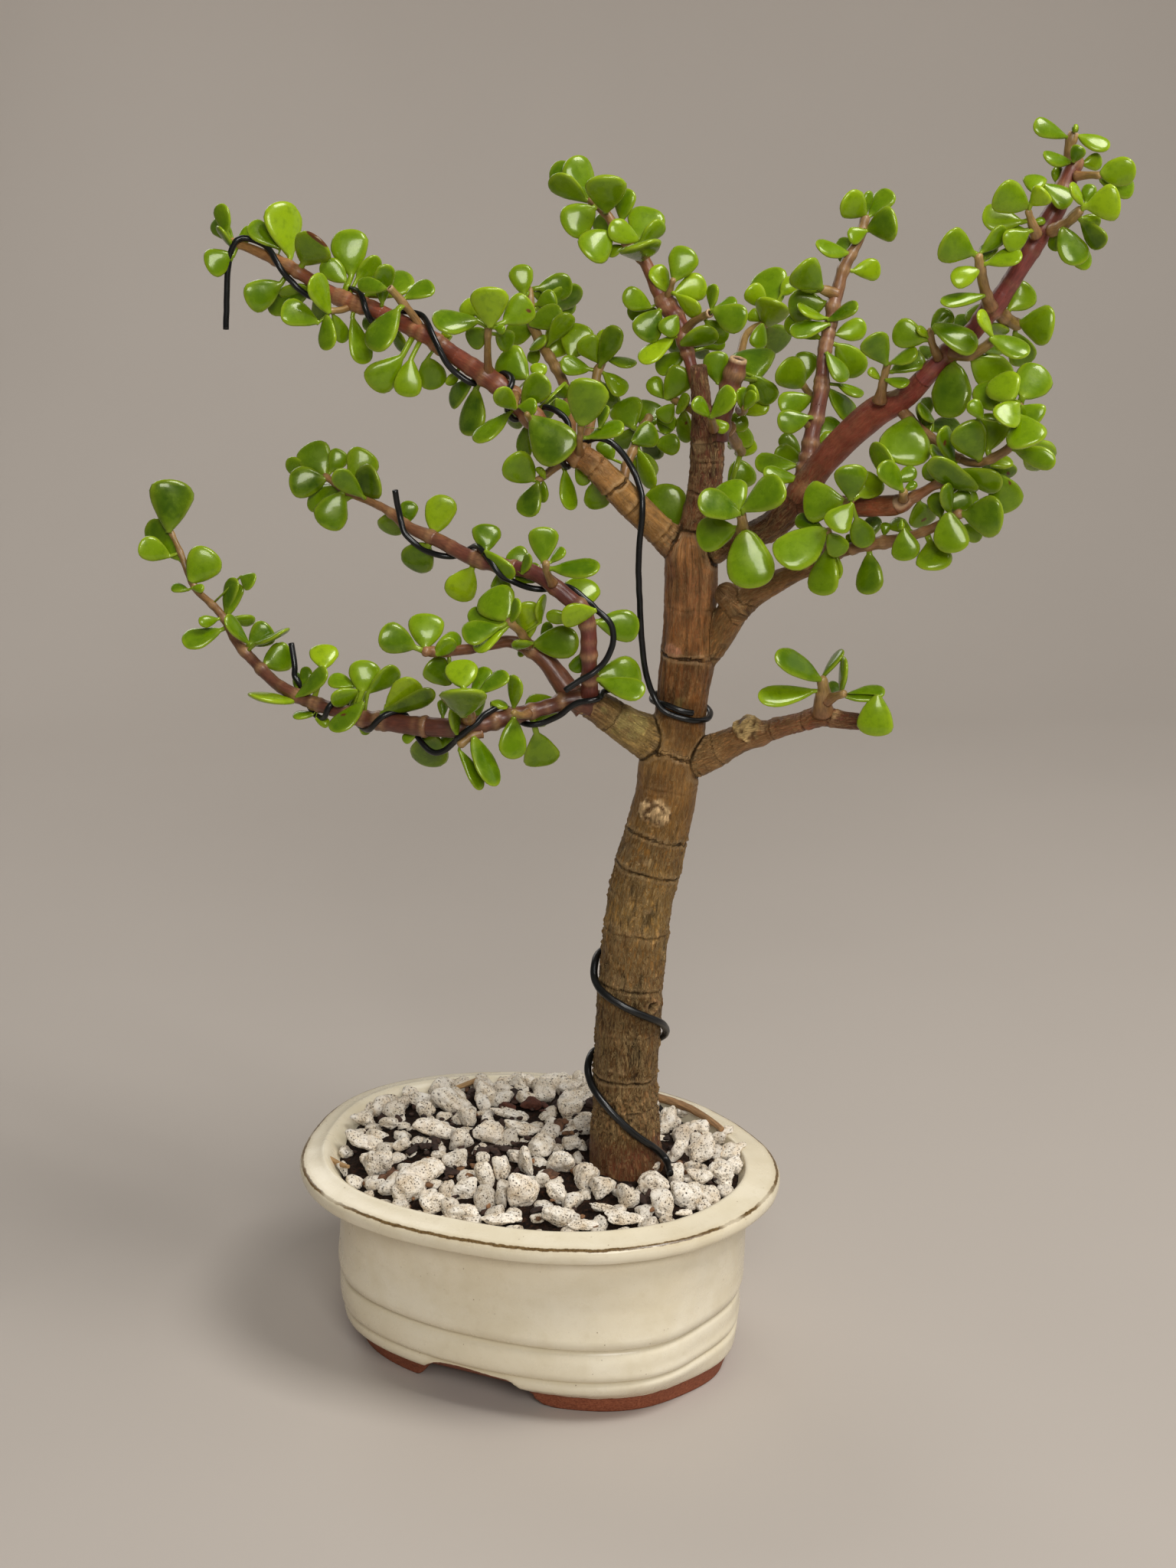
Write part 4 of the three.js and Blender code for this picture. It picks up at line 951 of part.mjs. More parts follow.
// ------------------------------------------------------------ stones and stick
function stoneGeometry([x, y, a, b, c, turn], grow = 0) {
  const g = new THREE.IcosahedronGeometry(1, 1);
  g.deleteAttribute('normal'); g.deleteAttribute('uv');
  const m = mergeVertices(g, 1e-4);
  const p = m.attributes.position;
  for (let i = 0; i < p.count; i++) {
    const v = new THREE.Vector3().fromBufferAttribute(p, i);
    const k = 1 + 0.13 * Math.sin(3.1 * v.x + x) + 0.11 * Math.sin(4.3 * v.y + y) + 0.08 * Math.cos(5.2 * v.z + a);
    p.setXYZ(i, v.x * (a * k + grow), v.y * (b * k + grow), v.z * (c * k + grow));
  }
  m.rotateZ(turn);
  const rho = Math.hypot(x / (POT_HALF_LENGTH * BED_TOP[0]), y / (POT_HALF_WIDTH * BED_TOP[1]));
  m.translate(x, y, gravelTop(x, y, rho) + c * 0.35);
  return m;
}
function stickPoints() {
  return STICK.map(([x, y, h, r]) => {
    const rho = Math.hypot(x / (POT_HALF_LENGTH * BED_TOP[0]), y / (POT_HALF_WIDTH * BED_TOP[1]));
    return [x, y, gravelTop(x, y, rho) + h, r];
  });
}

// ------------------------------------------------------------ wires
function wireGeometry(points, radius) {
  const curve = new THREE.CatmullRomCurve3(points.map((p) => new THREE.Vector3(...p)));
  const s = new THREE.Shape();
  const n = 5;
  for (let i = 0; i < n; i++) {
    const a = (i / n) * Math.PI * 2;
    if (i) s.lineTo(radius * Math.cos(a), radius * Math.sin(a));
    else s.moveTo(radius, 0);
  }
  return new THREE.ExtrudeGeometry(s, { steps: Math.round(points.length * 0.8), extrudePath: curve, bevelEnabled: false, curveSegments: 1 });
}

// ------------------------------------------------------------ assembly
const BARK = ['#8a7358', 0.85], TWIG = ['#7a5a48', 0.7], SHOOT = ['#6f9a35', 0.45];
const WIRE = ['#111214', 0.3];
const finished = [];                        // { name, body, grown, colour, rough }
function grownOf(list) { return union(list); }
function cut(body, skip = new Set()) {
  let out = body;
  for (const f of finished) {
    if (skip.has(f.name)) continue;
    if (!boxesMeet(out, f.grown, 0)) continue;
    const meet = out.intersect(f.grown);
    if (meet.isEmpty() || meet.volume() < 1e-4) continue;
    out = out.subtract(f.grown);
  }
  return out;
}
function finish(name, body, grown, [colour, rough]) {
  finished.push({ name, body, grown, colour, rough });
}

for (const [name, path] of Object.entries(WIRES)) {
  finish(name, largest(cut(solidUp(wireGeometry(path, WIRE_RADIUS[name])))), solidUp(wireGeometry(path, WIRE_RADIUS[name] + GAP)), WIRE);
}
finish('trunk', largest(cut(solidUp(stemGeometry(TRUNK)))), solidUp(stemGeometry(TRUNK, GAP)), BARK);
const order = Object.keys(GROWTH).sort((a, b) => (b.startsWith('branch') ? 1 : 0) - (a.startsWith('branch') ? 1 : 0));
for (const name of order) {
  const { stems, leaves } = GROWTH[name];
  const plain = [...stems.map((s) => solidUp(stemGeometry(s))), ...leaves.map((l) => solidUp(leafGeometry(l)))];
  const wide = [...stems.map((s) => solidUp(stemGeometry(s, GAP))), ...leaves.map((l) => solidUp(leafGeometry(l, GAP)))];
  finish(name, largest(cut(union(plain))), grownOf(wide), name.startsWith('branch') ? TWIG : SHOOT);
}
for (const [name, row] of Object.entries(STONES)) {
  finish(name, largest(cut(solidUp(stoneGeometry(row)))), solidUp(stoneGeometry(row, GAP)), ['#d8cfbe', 0.95]);
}
finish('bark_stick', largest(cut(solidUp(stemGeometry(stickPoints())))), solidUp(stemGeometry(stickPoints(), GAP)), ['#a58a63', 0.9]);
gravelSolid = largest(cut(gravelSolid));
soilSolid = largest(cut(soilSolid));
const nodes = [
  { name: 'pot', body: potSolid, colour: '#e8e0c8', rough: 0.25 },
  ...Object.entries(screens).map(([name, body]) => ({ name, body, colour: '#2a2c2b', rough: 0.6 })),
  { name: 'soil', body: soilSolid, colour: '#3a2b20', rough: 0.95 },
  { name: 'gravel', body: gravelSolid, colour: '#cfc6b4', rough: 0.95 },
  ...finished,
];

const plant = new THREE.Group();
for (const { name, body, colour, rough } of nodes) {
  const mesh = new THREE.Mesh(geometryOf(tidy(body)), new THREE.MeshStandardMaterial({ color: colour, roughness: rough, metalness: 0, flatShading: true }));
  mesh.name = name;
  plant.add(mesh);
}
const bounds = new THREE.Box3().setFromObject(plant);
plant.position.set(-(bounds.min.x + bounds.max.x) / 2, -(bounds.min.y + bounds.max.y) / 2, -bounds.min.z);

const group = new THREE.Group();
group.add(plant);
export default group;
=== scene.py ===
# Dwarf jade bonsai: the looks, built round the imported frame.
# Tables are millimetres from the pot's centre on the ground, +X along the pot,
# +Z up. OFF moves them to the frame's origin.
import math
import bpy
import numpy as np
from mathutils import Matrix, Vector


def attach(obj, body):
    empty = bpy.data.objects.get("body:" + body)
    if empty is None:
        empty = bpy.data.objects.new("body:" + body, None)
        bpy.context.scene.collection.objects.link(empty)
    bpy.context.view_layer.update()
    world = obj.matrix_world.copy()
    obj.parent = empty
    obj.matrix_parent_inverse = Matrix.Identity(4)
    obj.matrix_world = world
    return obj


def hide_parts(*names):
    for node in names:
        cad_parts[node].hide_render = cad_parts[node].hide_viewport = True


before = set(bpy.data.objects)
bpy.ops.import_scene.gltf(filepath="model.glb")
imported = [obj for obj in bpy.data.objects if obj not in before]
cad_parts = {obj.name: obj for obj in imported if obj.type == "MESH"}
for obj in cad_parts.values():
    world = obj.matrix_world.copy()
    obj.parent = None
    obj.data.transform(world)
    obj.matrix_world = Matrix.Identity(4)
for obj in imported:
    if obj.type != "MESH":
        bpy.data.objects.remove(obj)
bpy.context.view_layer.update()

MM = 0.001
OFF = np.array([-24.8, -2.78935, 0.0])
POT_A, POT_B, POT_H = 77.5, 60.0, 66.0
WIRE_R = {"wire_trunk": 1.15}

STEMS = {
    'T': [(32.59, 0.53, 56.1, 12.5), (32.7, 0.58, 62.72, 12.23), (32.57, 0.52, 68, 11.72), (32.35, 0.41, 74.56, 10.97), (32.56, 0.51, 81.08, 10.47), (32.55, 0.51, 87.57, 9.85), (32.72, 0.59, 97.87, 9.81), (33.41, 0.94, 108.08, 9.88), (33.99, 1.22, 118.2, 9.96), (35.02, 1.73, 130.73, 9.79), (36.03, 2.79, 142.93, 9.98), (37.45, 4.05, 155.01, 9.82), (39.88, 5.82, 166.96, 9.89), (42.06, 7.46, 176.4, 9.4), (43.81, 8.88, 185.79, 9.14), (44.73, 9.9, 195.14, 9.11), (46.66, 11.41, 204.4, 8.17), (47.54, 12.41, 211.29, 7.48), (48.43, 12.85, 219.44, 7.79), (49.51, 13.38, 227.54, 8.1), (50, 13.62, 236.74, 7.73), (50.07, 14.22, 245.76, 7.71), (50.14, 14.81, 253.59, 7.91), (49.98, 14.73, 258.79, 7.56)],
    'A': [(50.75, 15.11, 254.71, 4.45), (45.83, 12.67, 261.15, 4.44), (40.36, 8.85, 268.22, 4.42), (34.53, 5.95, 275.05, 4.41), (29.69, 3.56, 280.71, 4.18), (24.87, 1.17, 286.12, 3.73), (19.59, -0.34, 289.39, 3.29), (12.9, -1.42, 294.29, 3.07), (7.21, -2.01, 299.62, 2.96), (1.51, -2.6, 304.95, 2.97), (-4.23, -3.21, 309.2, 2.97), (-11.46, -3.45, 313.37, 2.65), (-18.71, -3.69, 317.57, 2.43), (-23.55, -3.86, 320.74, 2.44), (-29.91, -3.67, 323.42, 2.44), (-35.81, -4.36, 325.99, 2.45), (-41.72, -5.05, 328.57, 2.45), (-47.68, -5.78, 330.28, 2.35), (-55.16, -6.14, 333.05, 2.24), (-62.59, -6.47, 337.37, 1.91), (-68.55, -7.19, 340.65, 1.8), (-75.12, -7.1, 343.23, 1.58), (-81.16, -7.87, 345.66, 1.36), (-86.66, -8.36, 347.42, 1.13)],
    'A_cut': [(-25.91, -2.8, 321.46, 1.33), (-26.85, -4.38, 325.08, 1.11), (-28.63, -7.49, 329.67, 1.1), (-31.51, -11.16, 335.11, 1.1)],
    'A_tw': [(-47.72, -5.8, 329.41, 1.01), (-48.98, -9.77, 328.42, 1), (-50.7, -12.86, 328.44, 0.89)],
    'L': [(45.38, 10.78, 198.53, 5.69), (39.94, 7.52, 203.55, 6.36), (35.75, 3.21, 207.3, 5.76), (31.62, -1.06, 211.72, 5.06), (27.54, -5.32, 216.1, 4.48), (24.41, -7.99, 218.08, 3.8)],
    'La': [(26.57, -6.92, 215.94, 2.68), (28.4, -9.36, 221.78, 2.44), (29.82, -12, 227.09, 2.32), (30.64, -13.83, 234.37, 2.3), (30.58, -13.86, 241.1, 2.29), (29.31, -14.49, 246.04, 2.4), (25.81, -15.11, 249.24, 2.4), (21.54, -16.11, 252.69, 2.4), (16.79, -16.23, 255.71, 2.29), (12, -16.38, 257.18, 2.19), (5.7, -16.15, 257.6, 2.2), (-0.63, -15.94, 258.48, 2.21), (-6, -15.25, 259.34, 2.22), (-11.38, -14.57, 261.11, 2.11), (-16.77, -13.89, 263.13, 2.12), (-20.72, -13.62, 264.42, 2.01), (-24.69, -13.35, 265.49, 1.79), (-29.16, -12.23, 266.84, 1.58), (-33.62, -11.08, 269.34, 1.47), (-38.12, -9.97, 271.18, 1.25), (-42.67, -8.88, 272.35, 1.14), (-48.79, -7.45, 273.62, 1.03), (-53.4, -6.38, 274.81, 1.03), (-56.84, -5.86, 276.63, 1.03), (-61.04, -4.59, 278.53, 0.92)],
    'Lb': [(27.39, -6.51, 216.85, 3.35), (22.45, -10.08, 217.95, 2.79), (17.88, -13.46, 216.73, 2.23), (12.31, -17.34, 215.32, 2.23), (6.75, -21.21, 213.91, 2.45), (1.61, -24.87, 212.72, 2.56), (-4.8, -28.05, 211.74, 2.67), (-11.27, -30.14, 211.63, 2.56), (-17.86, -31.18, 211.7, 2.23), (-26.19, -31.96, 212.23, 2.02), (-35.3, -32.01, 212.5, 1.8), (-44.03, -31.87, 213.96, 1.59), (-53.97, -31.22, 215.67, 1.48), (-60.21, -30.97, 217.61, 1.49), (-66.62, -29.68, 219.79, 1.38), (-71.24, -28.62, 222.45, 1.38), (-75.85, -27.56, 225.6, 1.27), (-79.51, -27.14, 228.52, 1.27), (-83.53, -25.78, 231.69, 1.16), (-86.12, -24.83, 235.33, 1.05), (-89.55, -24.3, 238.99, 1.05), (-93.25, -23.9, 241.72, 0.93), (-97.17, -23.62, 244.47, 0.93), (-100.54, -23.05, 249.35, 0.82), (-103.24, -22.16, 254.94, 0.82), (-106.02, -21.3, 259.35, 0.7), (-107.67, -21.01, 262.27, 0.7)],
    'Lc': [(25.53, -6.32, 215.7, 3.36), (21.15, -7.37, 219.47, 3.36), (17.8, -7.92, 223.91, 3.13), (13.86, -8.75, 229.05, 2.68), (9.56, -10.89, 232.84, 2.12), (5.09, -14.22, 235.04, 1.78), (1.52, -19.33, 234.96, 1.66), (-2.51, -25.8, 234.7, 1.54), (-5.95, -33.09, 235.37, 1.42), (-8.62, -38.87, 236.45, 1.3)],
    'R': [(45.95, 10.5, 195.11, 5.47), (51.48, 12.13, 197.63, 5.11), (57.36, 12.81, 199.72, 4.64), (62.61, 13.18, 202.76, 3.95), (68.4, 12.7, 205.82, 3.48), (74.16, 13.33, 207.63, 3.02), (80.25, 13, 210.18, 2.67), (85.94, 13.58, 211.97, 2.55), (91.93, 13.21, 214.26, 3.08), (95.58, 12.78, 214.04, 2.85), (98.88, 13.3, 213.55, 2.63), (102.89, 13.06, 213.79, 2.51)],
    'B': [(48.96, 15.34, 255.68, 4.46), (49.8, 15.76, 260.85, 4.67), (50.64, 16.17, 265.77, 4.22), (51.88, 17.91, 272.26, 4.43), (53.32, 18.62, 278.9, 4.75), (53.95, 18.93, 285.52, 4.85), (53.99, 18.95, 291.03, 4.95), (54.02, 17.85, 295.56, 4.38)],
    'B1': [(54.01, 17.84, 293.37, 3.73), (53.65, 16.55, 297.89, 3.06), (53.5, 15.36, 304.55, 2.72), (53.38, 14.18, 312.64, 2.38)],
    'B2': [(55.57, 19.74, 292.08, 3.51), (57.56, 19.61, 297.65, 3.17), (59.94, 19.67, 303.59, 2.83), (61.71, 19.43, 308.65, 2.82), (63.47, 19.18, 314.09, 2.6)],
    'B3': [(52.06, 20.23, 296.7, 1.98), (48.17, 24.99, 305.39, 1.88), (45.44, 26.99, 311.65, 1.77), (44.08, 27.43, 315.29, 1.88), (43.31, 27.05, 318.58, 2.1), (42.35, 27.69, 321.77, 2.21), (40.19, 27.74, 325.2, 2.65), (38.44, 26.87, 327.85, 2.76), (35.71, 26.63, 332.16, 2.1), (33.57, 26.69, 336.45, 1.87), (31.43, 26.74, 340.52, 1.76), (28.68, 26.5, 343.31, 1.54), (25.34, 25.96, 346.55, 1.32), (22.22, 25.53, 350.85, 1.43), (20.26, 25.67, 353.41, 1.32), (18.12, 24.61, 355.61, 0.99), (15.8, 23.46, 357.59, 0.88)],
    'B4': [(37.67, 26.49, 329.6, 1.1), (40.31, 24.45, 332.4, 0.77), (41.94, 23.02, 335.54, 0.76)],
    'B5': [(43.33, 27.06, 320.54, 1.32), (46.93, 25.5, 323.59, 1.21), (50.49, 23.91, 325.32, 0.98), (53.63, 22.12, 326.61, 1.09)],
    'S': [(60.36, 23.23, 307.08, 1.53), (57.73, 33.08, 310.68, 1.33), (56.46, 39.15, 315.05, 1.23), (55.57, 44.29, 318.26, 1.12), (56.28, 49.11, 320.02, 1.01), (58.03, 54.44, 320.67, 1.02)],
    'DL': [(50.75, 15.11, 254.71, 4.23), (55.16, 16.18, 258.86, 3.99), (60.52, 16.61, 261.59, 3.87), (66.63, 17.4, 263.84, 3.96), (72.89, 18.28, 266.74, 4.17), (78.88, 17.9, 272, 4.36), (82.9, 17.66, 276.64, 4.33), (85.37, 17.76, 280.67, 4.1)],
    'D1': [(82.9, 17.66, 276.64, 3.25), (83.68, 19.16, 282.11, 2.6), (84.27, 20.57, 286.7, 2.49), (84.68, 23.01, 295.02, 2.27), (85.27, 24.42, 299.17, 2.27), (85.86, 25.82, 304.38, 2.16), (85.51, 27.88, 309.49, 1.94), (85.52, 29, 314.71, 1.83), (85.75, 31.35, 319.8, 1.84), (86, 33.7, 323.84, 1.62), (86.01, 34.82, 327.99, 1.95), (86.45, 37.27, 332.04, 1.84), (87.04, 38.68, 336.18, 1.62), (88.02, 40.29, 339.88, 1.73), (89.21, 41.99, 342.73, 1.51), (90.24, 44.74, 346.36, 1.41), (90.87, 47.28, 351.49, 1.19)],
    'D2': [(83.48, 17.94, 277.28, 3.9), (87.44, 17.68, 283.6, 3.77), (91.77, 17.59, 288.77, 3.96), (96.43, 17.67, 293.67, 4.16), (101.82, 18.11, 298.7, 4.35), (106.6, 18.25, 302.24, 4.22), (110.63, 18.01, 303.88, 3.57), (113.37, 18.25, 305.62, 3.15), (116.45, 18.66, 308.58, 2.93), (120.17, 18.28, 312.67, 2.7), (124.12, 19.12, 316.8, 2.69), (128.35, 18.98, 320.4, 2.79), (132.24, 19.8, 324.47, 2.57), (135.19, 20.14, 328.53, 2.97), (137.79, 20.31, 331.18, 2.76), (141.04, 20.81, 336.39, 2.44), (143.9, 21.11, 341.17, 2.53), (145.97, 22.13, 345.07, 2.73), (148.19, 23.24, 349.34, 2.83), (150.76, 24.51, 353.79, 2.72), (152.19, 26.33, 357.22, 2.52), (153.48, 26.98, 361.47, 2.51), (154.37, 28.53, 364.9, 2.41), (155.38, 29.03, 367.01, 1.81)],
    'D2t': [(154.26, 28.48, 362.96, 1.81), (153.51, 29.22, 366.83, 1.41), (153.23, 29.09, 369.55, 1.31), (153.68, 29.31, 372.25, 1.4), (154.15, 29.54, 374.16, 1.2)],
    'D3': [(83.48, 17.95, 275.1, 3.47), (91.79, 15.37, 275.11, 3.01), (99.26, 13.49, 275.19, 2.88), (104.41, 11.58, 275.8, 2.86), (109.19, 10.6, 276.44, 2.85), (113.55, 9.41, 277.09, 2.94), (116.61, 8.7, 278.22, 2.51), (118.6, 8.57, 279.4, 1.57), (121.99, 8.02, 281.35, 1.35), (125.36, 7.45, 283.49, 1.24), (127.5, 7.4, 284.44, 1.24)],
    'E': [(111.02, 18.2, 303.03, 1.68), (115.42, 17.04, 299.17, 1.47), (119.22, 15.57, 296.8, 1.36), (123.37, 14.28, 294.24, 1.25), (128.93, 12.58, 290.99, 1.14), (133.86, 10.55, 289.66, 1.13), (138.4, 9.46, 290.24, 1.13), (142.51, 8.14, 292.26, 1.22), (145.74, 7.51, 294.53, 1.22), (148.02, 6.41, 297.82, 1.11), (148.69, 5.63, 302.98, 1.01), (148.77, 5.67, 306.38, 0.9)],
    'D4': [(50.91, 14.07, 225.18, 3.83), (55.37, 15.17, 229.94, 4.04), (59.59, 15.03, 235.83, 4.24), (62.58, 14.28, 240.78, 4.44), (66.14, 13.81, 245.22, 4.53), (70.85, 13.92, 248.7, 3.74), (76.12, 14.3, 251.68, 3.29), (82.11, 13.92, 254.84, 2.83), (88.03, 13.51, 257.54, 2.49), (92.59, 13.53, 260.03, 1.94), (97.46, 12.6, 262.48, 1.5), (103.25, 12.12, 264.68, 1.71), (109, 11.62, 265.99, 1.8), (113.75, 10.63, 267.11, 1.69), (118.46, 9.61, 268.86, 1.37), (121.88, 9.08, 270.23, 1.26), (127.73, 7.51, 273.17, 1.25), (133.12, 5.72, 276.5, 1.24)],
    'tA6': [(-4.08, -4.26, 311.28, 1.21), (-2.22, -7.8, 316.26, 1.09), (-0.65, -10.37, 320.85, 0.97), (0.62, -11.97, 324.66, 0.97)],
    'tA7': [(4.28, -4.58, 304.63, 1.53), (6.57, -9.02, 303.53, 1.09), (7.94, -11.69, 302.62, 0.97)],
    'tA8': [(10.1, -3.92, 297.36, 1.31), (11.08, -9.02, 299.37, 0.98), (11.92, -11.95, 300.86, 0.86)],
    'tA8h': [(17.11, -0.45, 286.65, 1.54), (14.49, -1.75, 284.07, 1.32), (12.06, -2.95, 281.93, 0.99), (10.46, -3.74, 280.86, 0.88)],
    'tA9': [(23.26, -1.86, 288.9, 1.31), (25.09, -5.42, 292.1, 0.87), (26.24, -7.08, 295.4, 0.86), (27.37, -8.75, 298.47, 0.97)],
    'tA10': [(30.42, 10.62, 276.75, 1.55), (29.16, 16.69, 282.46, 1.45), (29.56, 21.35, 287.4, 1.35), (30.38, 25.11, 292.07, 1.35), (31.61, 27.95, 295.56, 1.13)],
    'tM': [(17.36, 4.14, 289.31, 1.77), (9.01, 20.09, 301.33, 1.58), (5.91, 23.02, 305.81, 1.58), (0.75, 26.04, 311.61, 1.48), (-3.81, 28.25, 316.22, 1.6), (-6.9, 30.06, 321.15, 1.6), (-9.16, 32.29, 326.54, 1.38), (-10.41, 35.02, 331.24, 0.92)],
    'tN': [(20.7, 5.8, 288.12, 1.77), (17.39, 19.78, 299.43, 1.35), (16.37, 23.74, 305.61, 1.35), (16.17, 25.88, 308.94, 1.35), (16.77, 28.4, 311.36, 0.9)],
    'tB6': [(50.49, 20.57, 298.35, 1.32), (44.34, 25.33, 299.71, 1.11), (39.75, 27.52, 301.05, 1)],
    'tB7': [(58.33, 13.29, 295.26, 1.3), (59.91, 8.49, 298.33, 0.97), (60.32, 6.46, 299.68, 0.86)],
    'tB8': [(56.42, 27.97, 293.2, 1.77), (55.73, 36.56, 287.52, 1.57), (55.41, 40.86, 284.64, 1.36)],
    'tB9': [(61.16, 26.97, 299.02, 1.32), (65.36, 19.01, 299.76, 0.98), (67.07, 15.39, 301.14, 0.86)],
    'tD1a': [(86.61, 36.24, 331.07, 1.51), (84.43, 34.04, 332.27, 1.51), (83.42, 32.42, 332.81, 0.97)],
    'tD1b': [(84.75, 26.39, 302.13, 1.52), (80.64, 29.93, 304.14, 1.09), (78.19, 32.06, 305.97, 0.87)],
    'tD1c': [(83.94, 23.76, 294.89, 1.3), (83.03, 18.84, 298.09, 0.97)],
    'tD1d': [(82.31, 25.18, 285.93, 1.53), (76.97, 33.69, 285.31, 1.11)],
    'tV1': [(107.64, 13.18, 304.79, 1.67), (108.81, 11.53, 308.35, 1.25), (109.65, 10.83, 311.75, 0.93), (110.67, 10.22, 315.14, 0.93)],
    'tV1s': [(104.98, 15.21, 303.19, 2.1), (105.05, 13.01, 305.76, 1.57), (105.17, 11.95, 308.18, 1.46)],
    'tV8': [(123.07, 16.36, 316.45, 1.14), (122.51, 13.86, 319.35, 1.03), (122.04, 12.5, 321.91, 0.92), (122.12, 11.43, 324.24, 0.82)],
    'tV17': [(137.03, 16.59, 330.09, 1.73), (136.71, 13.08, 333.77, 1.41), (136.47, 10.73, 337.31, 1.41), (136.14, 9.45, 340.55, 1.3), (135.81, 8.17, 343.96, 1.1)],
    'tV22': [(148.2, 18.78, 348.63, 1.4), (147.56, 16.23, 351.9, 1), (147.12, 13.78, 355.12, 0.79)],
    'tW8': [(155.91, 25.95, 363.44, 1.2), (159.27, 25.38, 363.63, 1), (162.86, 23.82, 363.67, 0.89)],
    'tW14': [(151.66, 19.38, 349.78, 1.4), (154.91, 17.64, 351.06, 1.39), (157.67, 16.78, 353.05, 1.39), (160.31, 14.73, 355.27, 1.08)],
    'tE1': [(136.06, 22.81, 329.52, 1.85), (137.22, 27.84, 326.86, 1.86), (138.28, 31.72, 325.1, 1.77), (139.44, 34.53, 324.04, 1.46)],
    'tE5': [(127.19, 13.94, 318.45, 1.64), (131.77, 12.87, 317.87, 1.53), (136.26, 11.74, 319.72, 1.42), (139.14, 10.94, 321.88, 1.11)],
    'tX4': [(64.82, 14.28, 261.4, 1.76), (68.86, 7.35, 266.21, 1.52), (71.73, 2.08, 270.58, 1.61), (72.5, -0.89, 273.93, 1.17)],
    'tX9': [(96.51, 9.89, 276.06, 1.49), (100.48, 6.28, 277.73, 1.05), (102.81, 4.09, 278.64, 0.94)],
    'tX7': [(94.35, 9.94, 262.56, 1.5), (96.25, 5.3, 267.19, 1.17), (96.89, 2.27, 270.12, 0.95)],
    'tR': [(92.62, 11.31, 215.94, 2.63), (93.1, 9.32, 219.87, 2.18), (93.81, 8.56, 223.05, 1.74), (93.75, 7.41, 226.46, 1.3)],
    'tR2': [(94.62, 8.96, 220.11, 1.53), (97.98, 7.27, 222.18, 1.19), (100.93, 5.39, 223.59, 0.97)],
    'tL48': [(1.61, -25.99, 210.24, 1.33), (-0.92, -28.36, 209.44, 1.22), (-3.09, -30.55, 207.49, 1.11)],
    'tL43': [(-0.35, -30.31, 215.51, 1.77), (4.18, -38.11, 220.85, 1.41), (6.86, -43.48, 225.78, 1.29)],
    'tL38': [(14.17, -20.88, 215.93, 1.33), (13.59, -24.52, 216.33, 0.99), (13.25, -28.03, 217.86, 0.99)],
    'tLt1': [(21.89, -18.17, 254.23, 1.3), (22.26, -22.45, 258.61, 0.97), (23.04, -24.3, 261.19, 0.97)],
    'tLt2': [(11.45, -14.41, 234.7, 1.33), (12.39, -20.65, 239.76, 1.21), (11.9, -26.47, 244.1, 1.09)],
    'tD3n': [(117.36, 5.72, 279.59, 1.25), (118.28, 2.83, 281.98, 1.03)],
}
